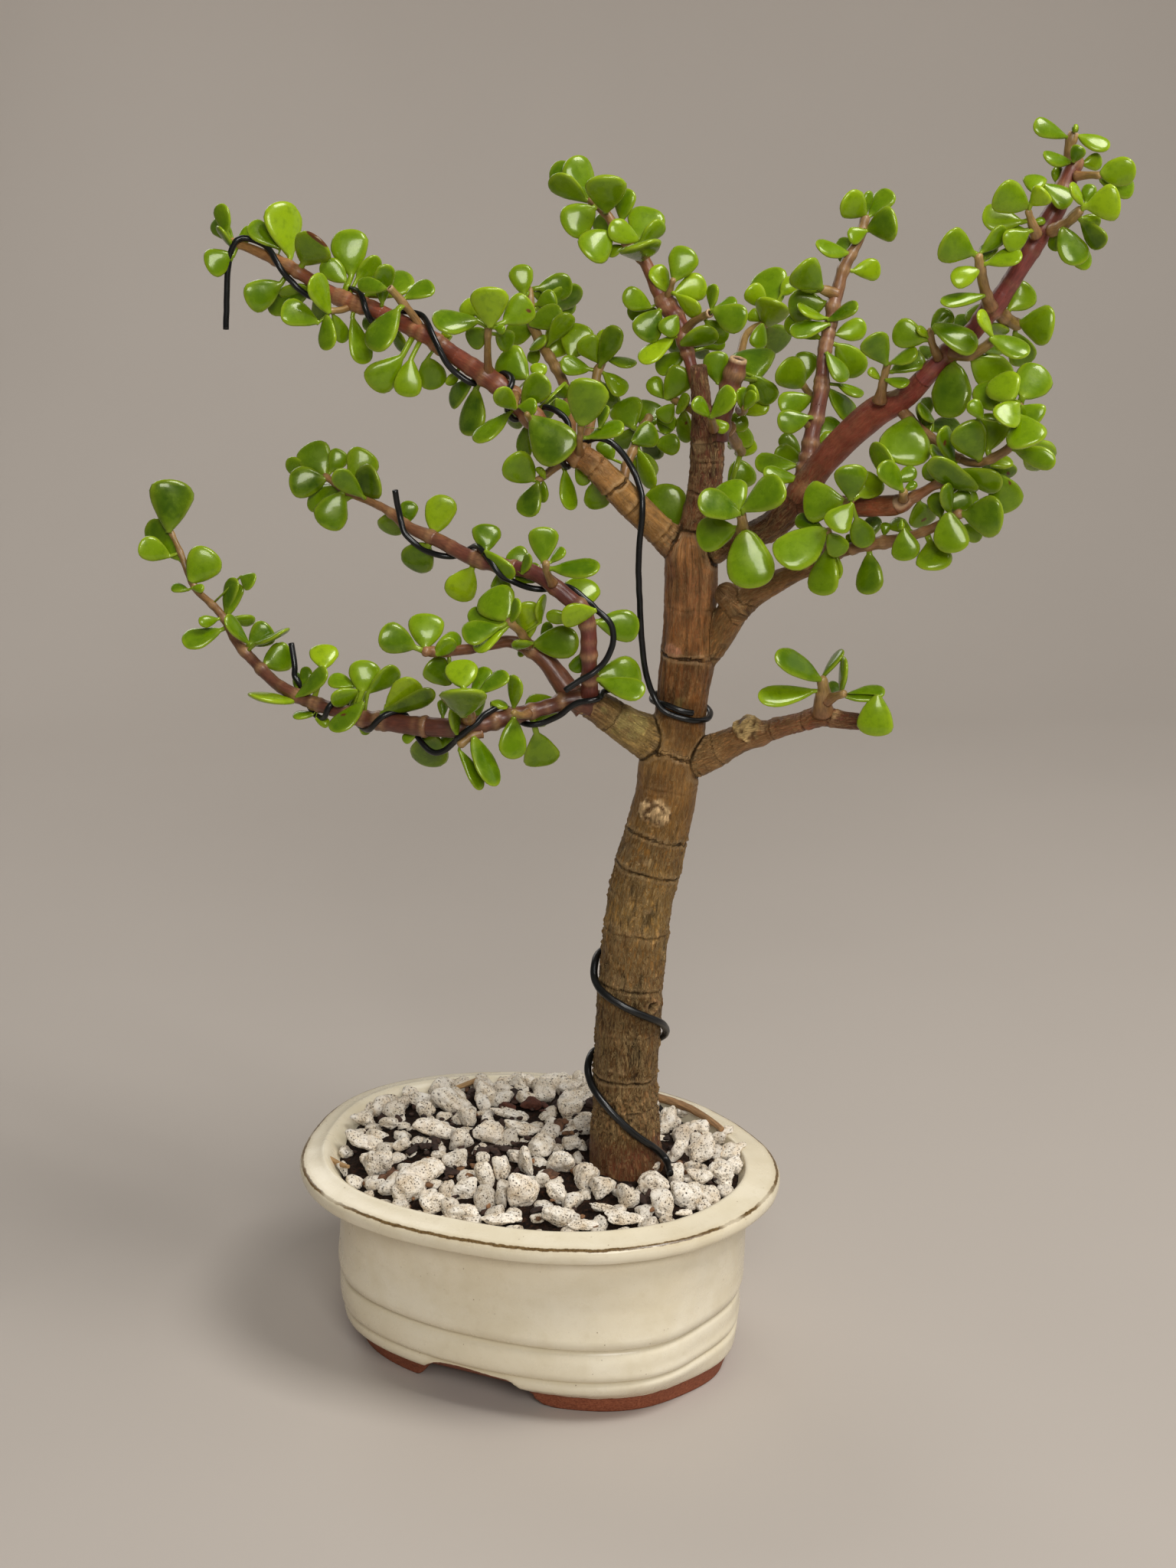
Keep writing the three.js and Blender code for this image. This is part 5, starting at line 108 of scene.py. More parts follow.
SECTIONS = {
    'branch_upper_left': [('A', 0, 5.5)],
    'shoot_upper_left_inner': [('A', 5.5, 11.5), ('tA6', 0, 3), ('tA7', 0, 2), ('tA8', 0, 2), ('tA8h', 0, 3), ('tA9', 0, 3)],
    'shoot_upper_left_middle': [('A', 11.5, 15.5), ('A_cut', 0, 3)],
    'shoot_upper_left_tip': [('A', 15.5, 23), ('A_tw', 0, 2)],
    'shoot_back_left': [('tM', 0, 7), ('tN', 0, 4)],
    'shoot_upper_left_crotch': [('tA10', 0, 4)],
    'branch_centre': [('B', 0, 7), ('B1', 0, 3)],
    'shoot_centre_outer': [('B3', 0, 7.5), ('B5', 0, 3), ('tB6', 0, 2)],
    'shoot_centre_tip': [('B3', 7.5, 16), ('B4', 0, 2)],
    'shoot_centre_stub': [('B2', 0, 4), ('tB7', 0, 2), ('tB9', 0, 2)],
    'shoot_centre_back': [('tB8', 0, 2)],
    'shoot_back_top': [('S', 0, 5)],
    'branch_right': [('DL', 0, 7), ('D2', 0, 8.5), ('tV1s', 0, 2)],
    'shoot_mast_low': [('D1', 0, 4.5), ('tD1b', 0, 2), ('tD1c', 0, 1), ('tD1d', 0, 1)],
    'shoot_mast_middle': [('D1', 4.5, 8.5)],
    'shoot_mast_tip': [('D1', 8.5, 16), ('tD1a', 0, 2)],
    'shoot_limb_knee': [('tV1', 0, 3)],
    'shoot_limb_middle': [('D2', 8.5, 14.5), ('tV8', 0, 3), ('tE5', 0, 3), ('tV17', 0, 4), ('tE1', 0, 3)],
    'shoot_limb_upper': [('D2', 14.5, 17.5), ('tV22', 0, 2)],
    'shoot_limb_tip': [('D2', 17.5, 23), ('D2t', 0, 4), ('tW8', 0, 2), ('tW14', 0, 3)],
    'shoot_right_inner': [('E', 0, 4.5)],
    'shoot_right_tip': [('E', 4.5, 11)],
    'branch_right_middle': [('D3', 0, 5.5)],
    'shoot_right_low': [('D3', 5.5, 10), ('tD3n', 0, 1)],
    'shoot_front_right': [('tX9', 0, 2)],
    'shoot_front_centre': [('tX4', 0, 3)],
    'branch_lower_right': [('D4', 0, 10.5)],
    'shoot_lower_right_inner': [('tX7', 0, 2)],
    'shoot_lower_right_outer': [('D4', 10.5, 17)],
    'branch_right_spur': [('R', 0, 11)],
    'shoot_right_spur': [('tR', 0, 3), ('tR2', 0, 2)],
    'branch_left': [('L', 0, 5)],
    'shoot_left_upright': [('La', 0, 9.5), ('tLt1', 0, 2)],
    'shoot_left_inner': [('La', 9.5, 14.5)],
    'shoot_left_tip': [('La', 14.5, 24)],
    'shoot_lower_left_upper': [('Lc', 0, 9), ('tLt2', 0, 2)],
    'shoot_lower_left_inner': [('Lb', 0, 7.5), ('tL43', 0, 2), ('tL48', 0, 2), ('tL38', 0, 2)],
    'shoot_lower_left_middle': [('Lb', 7.5, 15.5)],
    'shoot_lower_left_tip': [('Lb', 15.5, 26)],
}
# stem point, base, tip, face normal, width, thickness, radius of the stem there
LEAVES = {
    'shoot_upper_left_inner': [
        (0.6, -12, 324.7, -1.8, -13.2, 326.6, -12.3, -21.3, 327, 0.46, -0.56, 0.7, 8.9, 2.1, 1),
        (0.6, -12, 324.7, -2.6, -12.5, 328.2, -7.8, -10.9, 331.2, -0.01, -0.89, 0.45, 5.6, 1.3, 1),
        (0.6, -12, 324.7, 2.3, -14.1, 324.9, 3.6, -16.1, 336.6, 0.46, -0.86, -0.2, 10.3, 2.5, 1),
        (0.6, -12, 324.7, 4.3, -10.1, 325.8, 10.3, -4.9, 331.8, 0.55, -0.82, 0.17, 8.6, 2.1, 1),
        (0.5, -11.8, 324.2, -1.4, -10, 324, -7.6, -8.5, 319.9, -0.03, -0.95, -0.31, 6.5, 1.6, 1),
        (0.1, -11.3, 323, 1.1, -8.5, 322.6, 2.9, -2.9, 319.1, 0.84, -0.46, -0.3, 6.1, 1.5, 1),
        (0.6, -12, 324.7, 2.6, -12.1, 324.7, 5.6, -11.3, 323.9, 0.29, -0.95, 0.15, 2.6, 0.6, 1),
        (2.1, -2.5, 304.4, 5.7, 1.5, 309, -2.9, 1.8, 315.9, 0.23, -0.92, 0.32, 10.1, 2.4, 3),
        (3.8, -2.4, 302.8, 8.5, 2.2, 308.5, 8, 4.1, 313.3, 0.44, -0.82, 0.37, 4.8, 1.2, 3),
        (-6, -3.3, 310.2, -9.7, -1.7, 306.4, -10.7, -5.5, 292.8, -0.17, -0.95, 0.27, 9.4, 2.3, 2.9),
        (4.8, -2.3, 301.9, 7.4, -5.5, 303.1, 14.6, -4.2, 310.8, 0.27, -0.96, -0.1, 7.9, 1.9, 3),
        (4.7, -2.3, 302, 7.2, -7.9, 302.3, 12.6, -6.5, 302.6, 0.25, -0.96, 0.12, 4.8, 1.2, 3),
        (4.7, -2.3, 302, 8.3, -11.5, 302.2, 7.3, -20.5, 308.8, 0.79, -0.42, -0.45, 5.7, 1.4, 3),
        (4.4, -2.3, 302.3, 3.4, -6.1, 300.2, -4.9, -13.2, 292.8, 0.06, -0.75, 0.65, 6.8, 1.6, 3),
        (7.8, -1.9, 299.1, 11, -8.4, 299.9, 22, -6.6, 288.2, 0.38, -0.9, 0.22, 13.1, 2.5, 3),
        (8.1, -1.9, 298.8, 15.6, 5.2, 307.8, 13.2, 8.3, 302.9, 0.24, -0.76, -0.61, 5.3, 1.3, 3),
        (8.9, -1.8, 298, 13.1, 3.6, 303.5, 15.7, 6.4, 297.8, 0.8, -0.59, 0.08, 4.7, 1.1, 3),
        (8.6, -1.9, 298.3, 5.6, 0.9, 296.5, 3.2, 2, 286.1, -0.24, -0.97, -0.05, 5.5, 1.3, 3),
        (10.5, -3.7, 280.9, 9.5, -4.2, 280.9, 4.5, -10.3, 288, 0.7, -0.71, -0.11, 9.3, 2.2, 0.9),
        (10.5, -3.7, 280.9, 11.3, -4.9, 280.4, 8.7, -8.6, 270.9, 0.03, -0.94, 0.35, 7.4, 1.8, 0.9),
        (11.3, -3.3, 281.4, 11.6, -2.1, 280, 10.5, -1.3, 274, -0.29, -0.96, -0.07, 4.1, 1, 0.9),
        (12.1, -2.9, 281.9, 13.1, -4, 281.5, 11.6, -5.7, 285, -0.13, -0.87, -0.47, 2.8, 0.7, 1),
        (16, -1, 285.6, 17.6, -0.2, 283.6, 19.8, -1.7, 272.2, 0.89, -0.39, 0.22, 6.3, 1.5, 1.4),
        (22.2, 0.4, 287.8, 20.2, 1.6, 283.6, 22.8, 4.1, 279.2, 0.61, -0.79, -0.09, 4, 1, 3.5),
        (22.2, 0.4, 287.8, 24.4, 4.8, 279.6, 24.4, 8.1, 271.2, 0.49, -0.81, -0.32, 7.5, 1.8, 3.5),
        (27.1, -8.4, 297.8, 28.1, -9.8, 298, 31.1, -11.3, 311.7, 0.39, -0.9, -0.19, 11.2, 2.5, 0.9),
        (26.9, -8.1, 297.3, 31.2, -4.9, 296.6, 32, -2.9, 303.2, -0.36, -0.88, 0.31, 5, 1.2, 0.9),
        (25.8, -6.5, 294.2, 27.8, -5.5, 294, 37.9, -2.9, 297.5, -0.03, -0.76, 0.65, 5.9, 1.4, 0.9),
    ],
    'shoot_upper_left_middle': [
        (-29.4, -8.5, 331.2, -29.7, -6.4, 331.7, -22.8, -0.9, 335.1, 0.23, -0.7, 0.68, 6.6, 1.6, 1.1),
        (-29, -7.9, 330.3, -29.1, -10.2, 329.5, -35, -16.4, 317.6, 0.01, -0.89, 0.46, 10.3, 2.5, 1.1),
        (-27.8, -3.7, 322.5, -30.3, -7.2, 315.9, -38.6, -13.2, 307.1, 0.62, -0.78, -0.06, 9.5, 2.3, 2.4),
        (-25.2, -3.8, 321.5, -27.7, -7.3, 314.9, -28, -10, 304, 0.46, -0.86, 0.2, 8, 1.9, 2.4),
        (-20.6, -3.8, 318.8, -23.6, -5.2, 314.8, -22.8, -2.8, 305.7, 0.54, -0.82, -0.17, 8, 1.9, 2.4),
        (-18.9, -3.7, 317.7, -17.6, -0.8, 320.6, -21, -1.1, 321.4, 0.12, -0.97, 0.21, 3.1, 0.7, 2.4),
    ],
    'shoot_upper_left_tip': [
        (-65.2, -6.8, 338.8, -63.1, -6.9, 341.3, -54.2, -11.3, 349.9, 0.1, -0.84, -0.54, 11.2, 2.5, 1.9),
        (-51.8, -6, 331.8, -49.9, -5, 336.1, -57, -6.5, 341.4, 0.4, -0.87, 0.3, 6.3, 1.5, 2.3),
        (-50.9, -5.9, 331.5, -49.8, -2.1, 337.2, -50.9, 0.6, 350.8, 0.52, -0.83, 0.2, 10.5, 2.5, 2.3),
        (-49.2, -5.9, 330.9, -47.6, -2.8, 336.8, -42.4, 1.8, 342.7, 0.76, -0.62, -0.19, 6.3, 1.5, 2.3),
        (-44.6, -5.4, 329.4, -44.2, -4.1, 332, -32.9, 4.9, 336.6, 0.26, -0.69, 0.68, 10, 2.4, 2.4),
        (-50.7, -12.9, 328.4, -52.8, -16.1, 325.2, -61.1, -22.9, 329.8, 0.7, -0.64, 0.32, 8.3, 2, 0.9),
        (-50.7, -12.9, 328.4, -49.9, -14.7, 327.7, -52.7, -18.9, 339.1, 0.95, -0.28, 0.13, 8.3, 2, 0.9),
        (-50.7, -12.9, 328.4, -50.7, -15.1, 327.6, -49.8, -17, 317.5, -0.12, -0.98, 0.18, 6.4, 1.5, 0.9),
        (-46.4, -5.6, 329.9, -47.1, -7.1, 326.5, -43.8, -8.7, 312.6, 0.91, -0.32, 0.25, 7.5, 1.8, 2.4),
        (-86.7, -8.4, 347.4, -87.7, -8.9, 350.1, -90.1, -8.1, 358.4, -0.09, -0.99, 0.07, 5.7, 1.4, 1.1),
        (-85.3, -8.2, 347, -85.3, -9.4, 345.5, -88.4, -12.8, 352.3, -0.48, -0.68, -0.56, 5.9, 1.4, 1.2),
        (-84.6, -8.2, 346.8, -85.3, -9.6, 343.8, -92.1, -15, 341, 0.6, -0.79, 0.07, 8.1, 2, 1.2),
        (-72.4, -7.1, 342.2, -70.9, -6.4, 345.2, -79.9, -8.2, 352.7, 0.63, -0.44, 0.64, 6.8, 1.6, 1.7),
        (-68.5, -7.2, 340.7, -68, -5.8, 342.8, -72.8, -4.4, 358.4, 0.87, -0.4, 0.3, 11.8, 2.5, 1.8),
        (-67.4, -7.1, 340, -69.5, -9.2, 335.7, -77.7, -16, 330.4, 0.59, -0.8, 0.1, 9, 2.2, 1.8),
        (-85.4, -8.2, 347, -86.5, -6.7, 346.9, -82.5, -3.3, 350.7, 0.3, -0.84, 0.44, 4.5, 1.1, 1.2),
    ],
    'shoot_back_left': [
        (-10, 34, 329.5, -10.5, 31.5, 329.7, -12.1, 32.8, 338.8, 0.44, -0.87, 0.21, 7.1, 1.7, 1.1),
        (-10.4, 35, 331.2, -8.1, 36.1, 331.6, 0, 42.5, 332.1, 0.61, -0.79, 0.09, 8, 1.9, 0.9),
        (-9.3, 32.5, 327, -7.6, 33.4, 326.9, -1.4, 34.9, 329.1, 0.25, -0.97, 0.01, 6, 1.4, 1.3),
        (-7.1, 30.3, 321.6, -7.4, 27.6, 321.6, 3.1, 30.3, 324.7, 0.18, -0.96, 0.23, 7.7, 1.9, 1.6),
        (-3.6, 28.2, 316.1, -5.7, 24.9, 314.3, -0.4, 26.1, 318.1, -0.26, -0.75, 0.6, 4.6, 1.1, 1.6),
        (-6.8, 30, 320.9, -7.2, 32.1, 321, -16, 29.9, 317.6, 0.25, -0.97, 0.01, 6.9, 1.7, 1.6),
        (-9.8, 33.8, 329.1, -14, 31.7, 329.2, -9.4, 32.9, 330.5, -0.03, -0.69, 0.73, 3.4, 0.8, 1.1),
        (0.1, 26.4, 312.3, -2.2, 29.8, 311.6, 2, 36.7, 319.6, 0.59, -0.74, 0.33, 10.5, 2.5, 1.5),
        (2.4, 25.1, 309.8, 6.1, 28.1, 312, 6.9, 33.2, 321.4, 0.49, -0.78, 0.39, 10, 2.4, 1.5),
        (16.6, 27.6, 310.6, 16.5, 26.8, 310.9, 13.1, 22.9, 318.9, 0.56, -0.81, -0.14, 7.2, 1.7, 1.1),
        (16.8, 28.4, 311.4, 16.2, 28.1, 312.9, 18, 32.6, 319.7, 0.52, -0.77, 0.37, 7.7, 1.8, 0.9),
        (16.8, 28.4, 311.4, 17.6, 28.8, 312.2, 26.4, 31.1, 310.7, 0.25, -0.32, 0.91, 6.4, 1.5, 0.9),
        (16.2, 25.9, 308.9, 14, 24.8, 309.4, 6.9, 19.3, 311, 0.59, -0.62, 0.52, 6.2, 1.5, 1.4),
        (16.2, 25.8, 308.8, 17.4, 26.4, 308.5, 24.2, 27.6, 302.3, 0.6, -0.61, 0.53, 6.5, 1.6, 1.4),
    ],
    'shoot_upper_left_crotch': [
        (30.3, 24.8, 291.7, 27.6, 25.7, 292.3, 22.4, 30.3, 300.1, 0.19, -0.78, 0.59, 9.9, 2.4, 1.3),
        (30.6, 25.6, 292.7, 29.4, 29.4, 291.9, 28.6, 36.8, 298.6, 0.46, -0.57, 0.68, 9.5, 2.3, 1.3),
        (29.7, 22.1, 288.3, 29.4, 19.7, 289.2, 35.5, 24.6, 292.4, 0.55, -0.81, 0.21, 7.6, 1.8, 1.3),
        (30.1, 23.8, 290.4, 35.4, 24.2, 288.4, 42.4, 26, 288, 0.26, -0.95, 0.16, 6.1, 1.5, 1.3),
        (29.5, 20.9, 286.9, 31.3, 22.9, 285.7, 30.6, 28.4, 277.6, 0.49, -0.7, -0.52, 8.1, 1.9, 1.4),
        (30.4, 10.6, 276.7, 43.6, 20.5, 263.5, 36.5, 20.4, 276.6, 0.39, -0.9, 0.2, 12.1, 2.5, 1.6),
        (29.2, 17.1, 282.9, 24.6, 17.1, 284.4, 21.1, 16.8, 289.9, 0.39, -0.9, 0.21, 5.4, 1.3, 1.4),
        (31, 26.6, 293.8, 35.2, 30.8, 290.1, 35.4, 32.7, 296.2, 0.41, -0.87, 0.25, 5.9, 1.4, 1.2),
        (31.6, 27.9, 295.6, 38.8, 32.6, 290.7, 39.9, 34.2, 295.1, 0.42, -0.88, 0.22, 3.6, 0.9, 1.1),
    ],
    'shoot_centre_outer': [
        (38.4, 26.9, 327.9, 37.2, 24.1, 327, 32.9, 19.7, 319.1, 0.48, -0.85, 0.21, 8.8, 2.1, 2.8),
        (37.3, 26.8, 329.6, 33.9, 25.1, 327.5, 27.8, 20, 332.4, 0.69, -0.71, 0.12, 6.3, 1.5, 2.5),
        (40.4, 27.7, 324.8, 42.6, 24.5, 325.5, 39.2, 21.3, 320.6, 0.49, -0.84, 0.21, 6.2, 1.5, 2.6),
        (43, 27.3, 319.7, 41.4, 24.3, 319.5, 33.7, 17.7, 312.6, 0.05, -0.75, 0.66, 6.6, 1.6, 2.1),
        (43.6, 27.2, 317.4, 44.3, 21.9, 317.6, 55.1, 24.7, 321, 0.37, -0.74, -0.56, 6.9, 1.6, 2),
        (53.6, 22.1, 326.6, 53.9, 22.7, 327.4, 54.3, 24.5, 334.5, -0.46, -0.85, 0.25, 5.3, 1.3, 1.1),
        (53.6, 22.1, 326.6, 54.8, 21.6, 327.5, 64.3, 24, 324.3, 0.28, -0.95, 0.13, 8.2, 2, 1.1),
        (53.6, 22.1, 326.6, 54.8, 23.8, 328, 59.6, 27.6, 329.7, 0.16, -0.56, 0.81, 4.4, 1, 1.1),
        (51, 23.6, 325.5, 51.3, 24.9, 324, 55.7, 28.9, 318, 0.57, -0.81, -0.12, 6.1, 1.5, 1),
        (44.3, 27.3, 314.6, 42.4, 30.1, 314.1, 34.2, 28.2, 309.2, 0.01, -0.94, 0.35, 6.7, 1.6, 1.9),
        (44.3, 27.4, 314.7, 47.1, 32.1, 315.5, 52, 36, 318.5, 0.54, -0.82, 0.19, 5.8, 1.4, 1.9),
        (39.7, 27.5, 301, 37.8, 25.4, 301.2, 43.6, 26.8, 310.5, 0.3, -0.95, -0.05, 8, 1.9, 1),
        (39.7, 27.5, 301, 36.9, 27.2, 301.4, 32.8, 26.8, 307.3, 0.54, -0.78, 0.32, 5.1, 1.2, 1),
        (43.1, 25.9, 300.1, 42.5, 23.4, 297.5, 46.1, 23.7, 303.3, -0.5, -0.79, 0.34, 4.7, 1.1, 1.1),
        (40.5, 27.2, 300.8, 40, 26.9, 299.8, 35.9, 26.2, 295.3, 0.24, -0.97, -0.06, 5.4, 1.3, 1),
    ],
    'shoot_centre_tip': [
        (27.8, 26.4, 344.2, 29.6, 27.2, 346.1, 22.6, 21.6, 350.7, 0.71, -0.63, 0.31, 6.9, 1.7, 1.5),
        (27.8, 26.4, 344.2, 29.4, 27.1, 345.9, 30.1, 34.4, 354.7, 0.52, -0.68, 0.52, 10.6, 2.5, 1.5),
        (28.2, 26.4, 343.7, 30.3, 26.3, 345.5, 35.9, 31.1, 350.8, 0.78, -0.51, -0.37, 6.1, 1.5, 1.5),
        (30.7, 26.7, 341.3, 32.3, 22.7, 341.4, 36.9, 11.4, 347.3, 0.28, -0.35, -0.89, 11.8, 2.5, 1.7),
        (41.8, 23.2, 335.2, 41.8, 23.8, 335.1, 44.4, 27.5, 344.6, 0.45, -0.87, 0.21, 8.3, 2, 0.8),
        (39.7, 24.9, 331.8, 38.8, 26.2, 331.8, 35, 26.3, 339.5, 0.69, -0.63, 0.35, 6.1, 1.5, 0.8),
        (40.1, 24.6, 332.2, 41.2, 25.1, 331.5, 48.7, 31, 334.1, 0.58, -0.8, 0.14, 7.9, 1.9, 0.8),
        (40.3, 24.4, 332.4, 42.1, 24.2, 331.6, 49.3, 25.6, 325.6, -0.11, -0.93, -0.35, 6, 1.4, 0.8),
        (15.8, 23.5, 357.6, 14.7, 24.7, 357.5, 10.2, 25.5, 369.9, 0.67, -0.69, 0.29, 9.4, 2.3, 0.9),
        (15.8, 23.5, 357.6, 14.8, 23, 357.6, 7, 16.4, 364.3, 0.2, -0.81, -0.56, 8.5, 2, 0.9),
        (19.8, 25.4, 353.9, 21.3, 23, 354.4, 24.1, 16.7, 365, 0.37, -0.75, -0.54, 11.4, 2.5, 1.2),
        (22.7, 25.6, 350.2, 24, 27.4, 351.4, 24.5, 29.8, 360.7, -0.02, -0.97, 0.26, 6.9, 1.7, 1.4),
        (17.5, 24.3, 356.2, 17.4, 23.1, 355.5, 10.7, 17.4, 349.4, 0.56, -0.82, 0.15, 9.7, 2.3, 1),
        (23.3, 25.7, 349.4, 22.6, 23.1, 348.4, 17.7, 14.8, 342.9, 0.71, -0.63, 0.32, 10.1, 2.4, 1.4),
        (26.3, 26.1, 345.6, 25, 26.6, 344.6, 20, 25.3, 342.7, 0.09, -0.92, 0.38, 3.8, 0.9, 1.4),
    ],
    'shoot_centre_stub': [
        (60.2, 7.2, 299.2, 60.7, 5.6, 299.4, 56.9, 2.1, 304.8, 0.84, -0.43, 0.31, 5, 1.2, 0.9),
        (60.2, 7.2, 299.2, 61.1, 4.6, 299.5, 67.7, 5.6, 307.9, -0.29, -0.9, 0.33, 7.2, 1.7, 0.9),
        (57, 19.6, 296.2, 57.1, 15.2, 297.3, 61.6, 16.2, 294.6, 0.41, -0.84, 0.35, 3.8, 0.9, 3.3),
        (60.8, 19.5, 306.1, 57, 19.9, 306.9, 55.8, 21.4, 316, 0.38, -0.9, 0.2, 7.2, 1.7, 2.8),
        (61.6, 26.2, 299.1, 60.1, 28.4, 297.7, 68, 31, 301.4, 0.07, -0.87, 0.49, 6.4, 1.5, 1.3),
        (63.3, 23, 299.4, 64.7, 19.4, 299.9, 64.3, 17.7, 306.6, 0.98, -0.2, 0.01, 4.7, 1.1, 1.1),
        (66.3, 17.1, 300.5, 67.4, 14.6, 300.8, 70.5, 14.9, 306, -0.2, -0.97, 0.16, 4.2, 1, 0.9),
        (67.1, 15.4, 301.1, 70.4, 17, 302.8, 67.6, 16.9, 307.4, -0.23, -0.96, -0.16, 3.8, 0.9, 0.9),
        (62, 19.4, 309.6, 66.1, 24.8, 307.5, 61.8, 34.9, 315.2, 0.2, -0.54, 0.82, 12.7, 2.5, 2.8),
        (62.5, 19.3, 311, 64.8, 25, 309.2, 70, 29.8, 301.2, 0.24, -0.89, -0.38, 7.1, 1.7, 2.7),
    ],
    'shoot_centre_back': [
        (55.4, 40.9, 284.6, 51.7, 40.2, 273.2, 56.3, 44.6, 280.5, 0.44, -0.86, 0.25, 8.7, 2.1, 1.4),
        (55.8, 36.2, 287.7, 51.7, 40.4, 285.7, 55.3, 47.3, 290.1, 0.65, -0.62, 0.44, 8.1, 1.9, 1.6),
        (56.4, 28, 293.2, 54.4, 32.9, 292.4, 58.9, 36.6, 295.5, 0.52, -0.82, 0.23, 5.8, 1.4, 1.8),
        (55.4, 40.9, 284.6, 52.1, 44.2, 282.9, 56.6, 48.1, 287.1, 0.49, -0.84, 0.25, 6.3, 1.5, 1.4),
    ],
    'shoot_back_top': [
        (58, 54.4, 320.7, 60.5, 56.8, 326.1, 54.8, 61.9, 335.4, 0.15, -0.83, 0.54, 11.3, 2.5, 1),
        (58, 54.4, 320.7, 57.8, 54.3, 325.8, 53.8, 50.6, 331.8, 0.55, -0.82, -0.15, 6.3, 1.5, 1),
        (58, 54.4, 320.7, 58.5, 53.9, 320.3, 63, 47.4, 328.5, 0.11, -0.75, -0.66, 10, 2.4, 1),
        (57.5, 52.9, 320.5, 57.2, 52.8, 321.5, 53.4, 51.9, 324.1, 0.3, -0.94, 0.14, 4.1, 1, 1),
        (57.6, 53, 320.5, 59.5, 47.7, 321.6, 58.3, 45.3, 314.5, 0.73, -0.68, 0.1, 5.4, 1.3, 1),
        (58, 54.4, 320.7, 57.8, 56.1, 320.1, 59.5, 65.1, 313.1, 0.69, -0.52, -0.51, 9.5, 2.3, 1),
        (58, 54.4, 320.7, 61.5, 57.3, 328.9, 65.1, 60.5, 333.2, 0.49, -0.84, 0.23, 5, 1.2, 1),
    ],
    'shoot_mast_low': [
        (78.4, 31.9, 305.8, 78.3, 31.2, 305.6, 74.4, 24.3, 313.2, 0.65, -0.7, -0.3, 9.2, 2.2, 0.9),
        (78.2, 32.1, 306, 78.2, 32.5, 306.6, 78.1, 34.5, 315.2, 0.35, -0.91, 0.21, 6.6, 1.6, 0.9),
        (82.5, 28.3, 303.2, 82.9, 26.4, 303.1, 75.1, 20.3, 301.5, 0.58, -0.8, 0.18, 6.9, 1.7, 1.3),
        (85.1, 23.9, 297.8, 85.1, 19.3, 298.8, 77.6, 13.4, 297.7, 0.54, -0.76, 0.37, 6.6, 1.6, 2.3),
        (77, 33.7, 285.3, 76.6, 34, 286.1, 71.1, 33, 291.3, 0.57, -0.67, 0.47, 5.4, 1.3, 1.1),
        (77.9, 32.3, 285.4, 77.8, 31.5, 284.8, 71.5, 26.6, 287.4, 0.63, -0.78, 0.05, 5.7, 1.4, 1.2),
        (84, 19.9, 284.5, 81.4, 19.7, 285, 69.6, 16.6, 286.2, 0.24, -0.62, 0.75, 7, 1.7, 2.5),
        (83.5, 18.8, 280.9, 82.6, 16.6, 281.6, 74.4, 10.3, 283.9, 0.56, -0.47, 0.69, 5.4, 1.3, 2.7),
        (84.5, 22, 291.5, 84.2, 26.8, 290.6, 90, 31.6, 295.6, 0.48, -0.84, 0.26, 7.8, 1.9, 2.4),
        (84.3, 20.8, 287.4, 85.2, 23.7, 286.7, 90.5, 28.4, 292.4, 0.46, -0.85, 0.27, 6.9, 1.7, 2.5),
    ],
    'shoot_mast_middle': [
        (85.7, 30.7, 318.3, 88, 32.9, 317.6, 93.5, 38.1, 309, 0.53, -0.83, -0.16, 8.2, 2, 1.8),
        (85.6, 29.5, 315.8, 87.1, 26.5, 316.1, 92.3, 26.9, 307.7, 0.74, -0.51, 0.44, 6.2, 1.5, 1.8),
        (85.7, 27, 307.4, 89.9, 29.1, 306.9, 96.8, 30.8, 303.9, 0.43, -0.27, 0.86, 5.4, 1.3, 2),
        (85.8, 26.5, 306, 87.4, 27.7, 305.7, 93.5, 33.3, 296.6, 0.85, -0.43, 0.3, 7, 1.7, 2.1),
        (85.8, 32, 320.9, 87.9, 33, 320.3, 94.6, 38.3, 322.7, 0.51, -0.8, 0.33, 6.1, 1.5, 1.8),
    ],
    'shoot_mast_tip': [
        (83.4, 32.4, 332.8, 84, 30.9, 333.4, 79.4, 23, 340.2, 0.69, -0.66, -0.31, 9.7, 2.3, 1),
        (83.4, 32.4, 332.8, 82.4, 33.3, 332.1, 77, 31.9, 333.2, 0.24, -0.21, 0.95, 4, 1, 1),
        (86, 34.9, 328.2, 83.7, 34.9, 328.8, 73.6, 32.3, 327.1, 0.24, -0.97, 0.07, 9.3, 2.2, 1.9),
        (86, 33.9, 324.5, 84.9, 31.1, 324.9, 78.3, 25.9, 328.2, 0.55, -0.18, 0.82, 6, 1.4, 1.7),
        (85.9, 33.2, 323, 86.9, 30.1, 323.4, 77.7, 22.9, 321.7, 0.34, -0.6, 0.73, 5.9, 1.4, 1.7),
        (86, 33.5, 323.6, 85.5, 31.3, 324.1, 94.3, 33.4, 328.5, -0.11, -0.8, 0.59, 5.1, 1.2, 1.6),
        (87.6, 39.5, 338.2, 89.4, 40.4, 337.3, 96.2, 45.7, 337.2, 0.61, -0.79, 0.07, 6.1, 1.5, 1.7),
        (88.8, 41.5, 341.8, 88.7, 40.2, 342.2, 80.7, 34, 344.9, 0.61, -0.53, 0.6, 5.7, 1.4, 1.6),
        (90.5, 45.8, 348.6, 92.9, 43.7, 348.3, 88.3, 40, 346.2, 0.57, -0.81, 0.16, 4.8, 1.1, 1.3),
        (90.5, 45.9, 348.8, 91.8, 46.6, 348.4, 101.3, 44.7, 351.2, -0.17, -0.98, -0.1, 9.5, 2.3, 1.3),
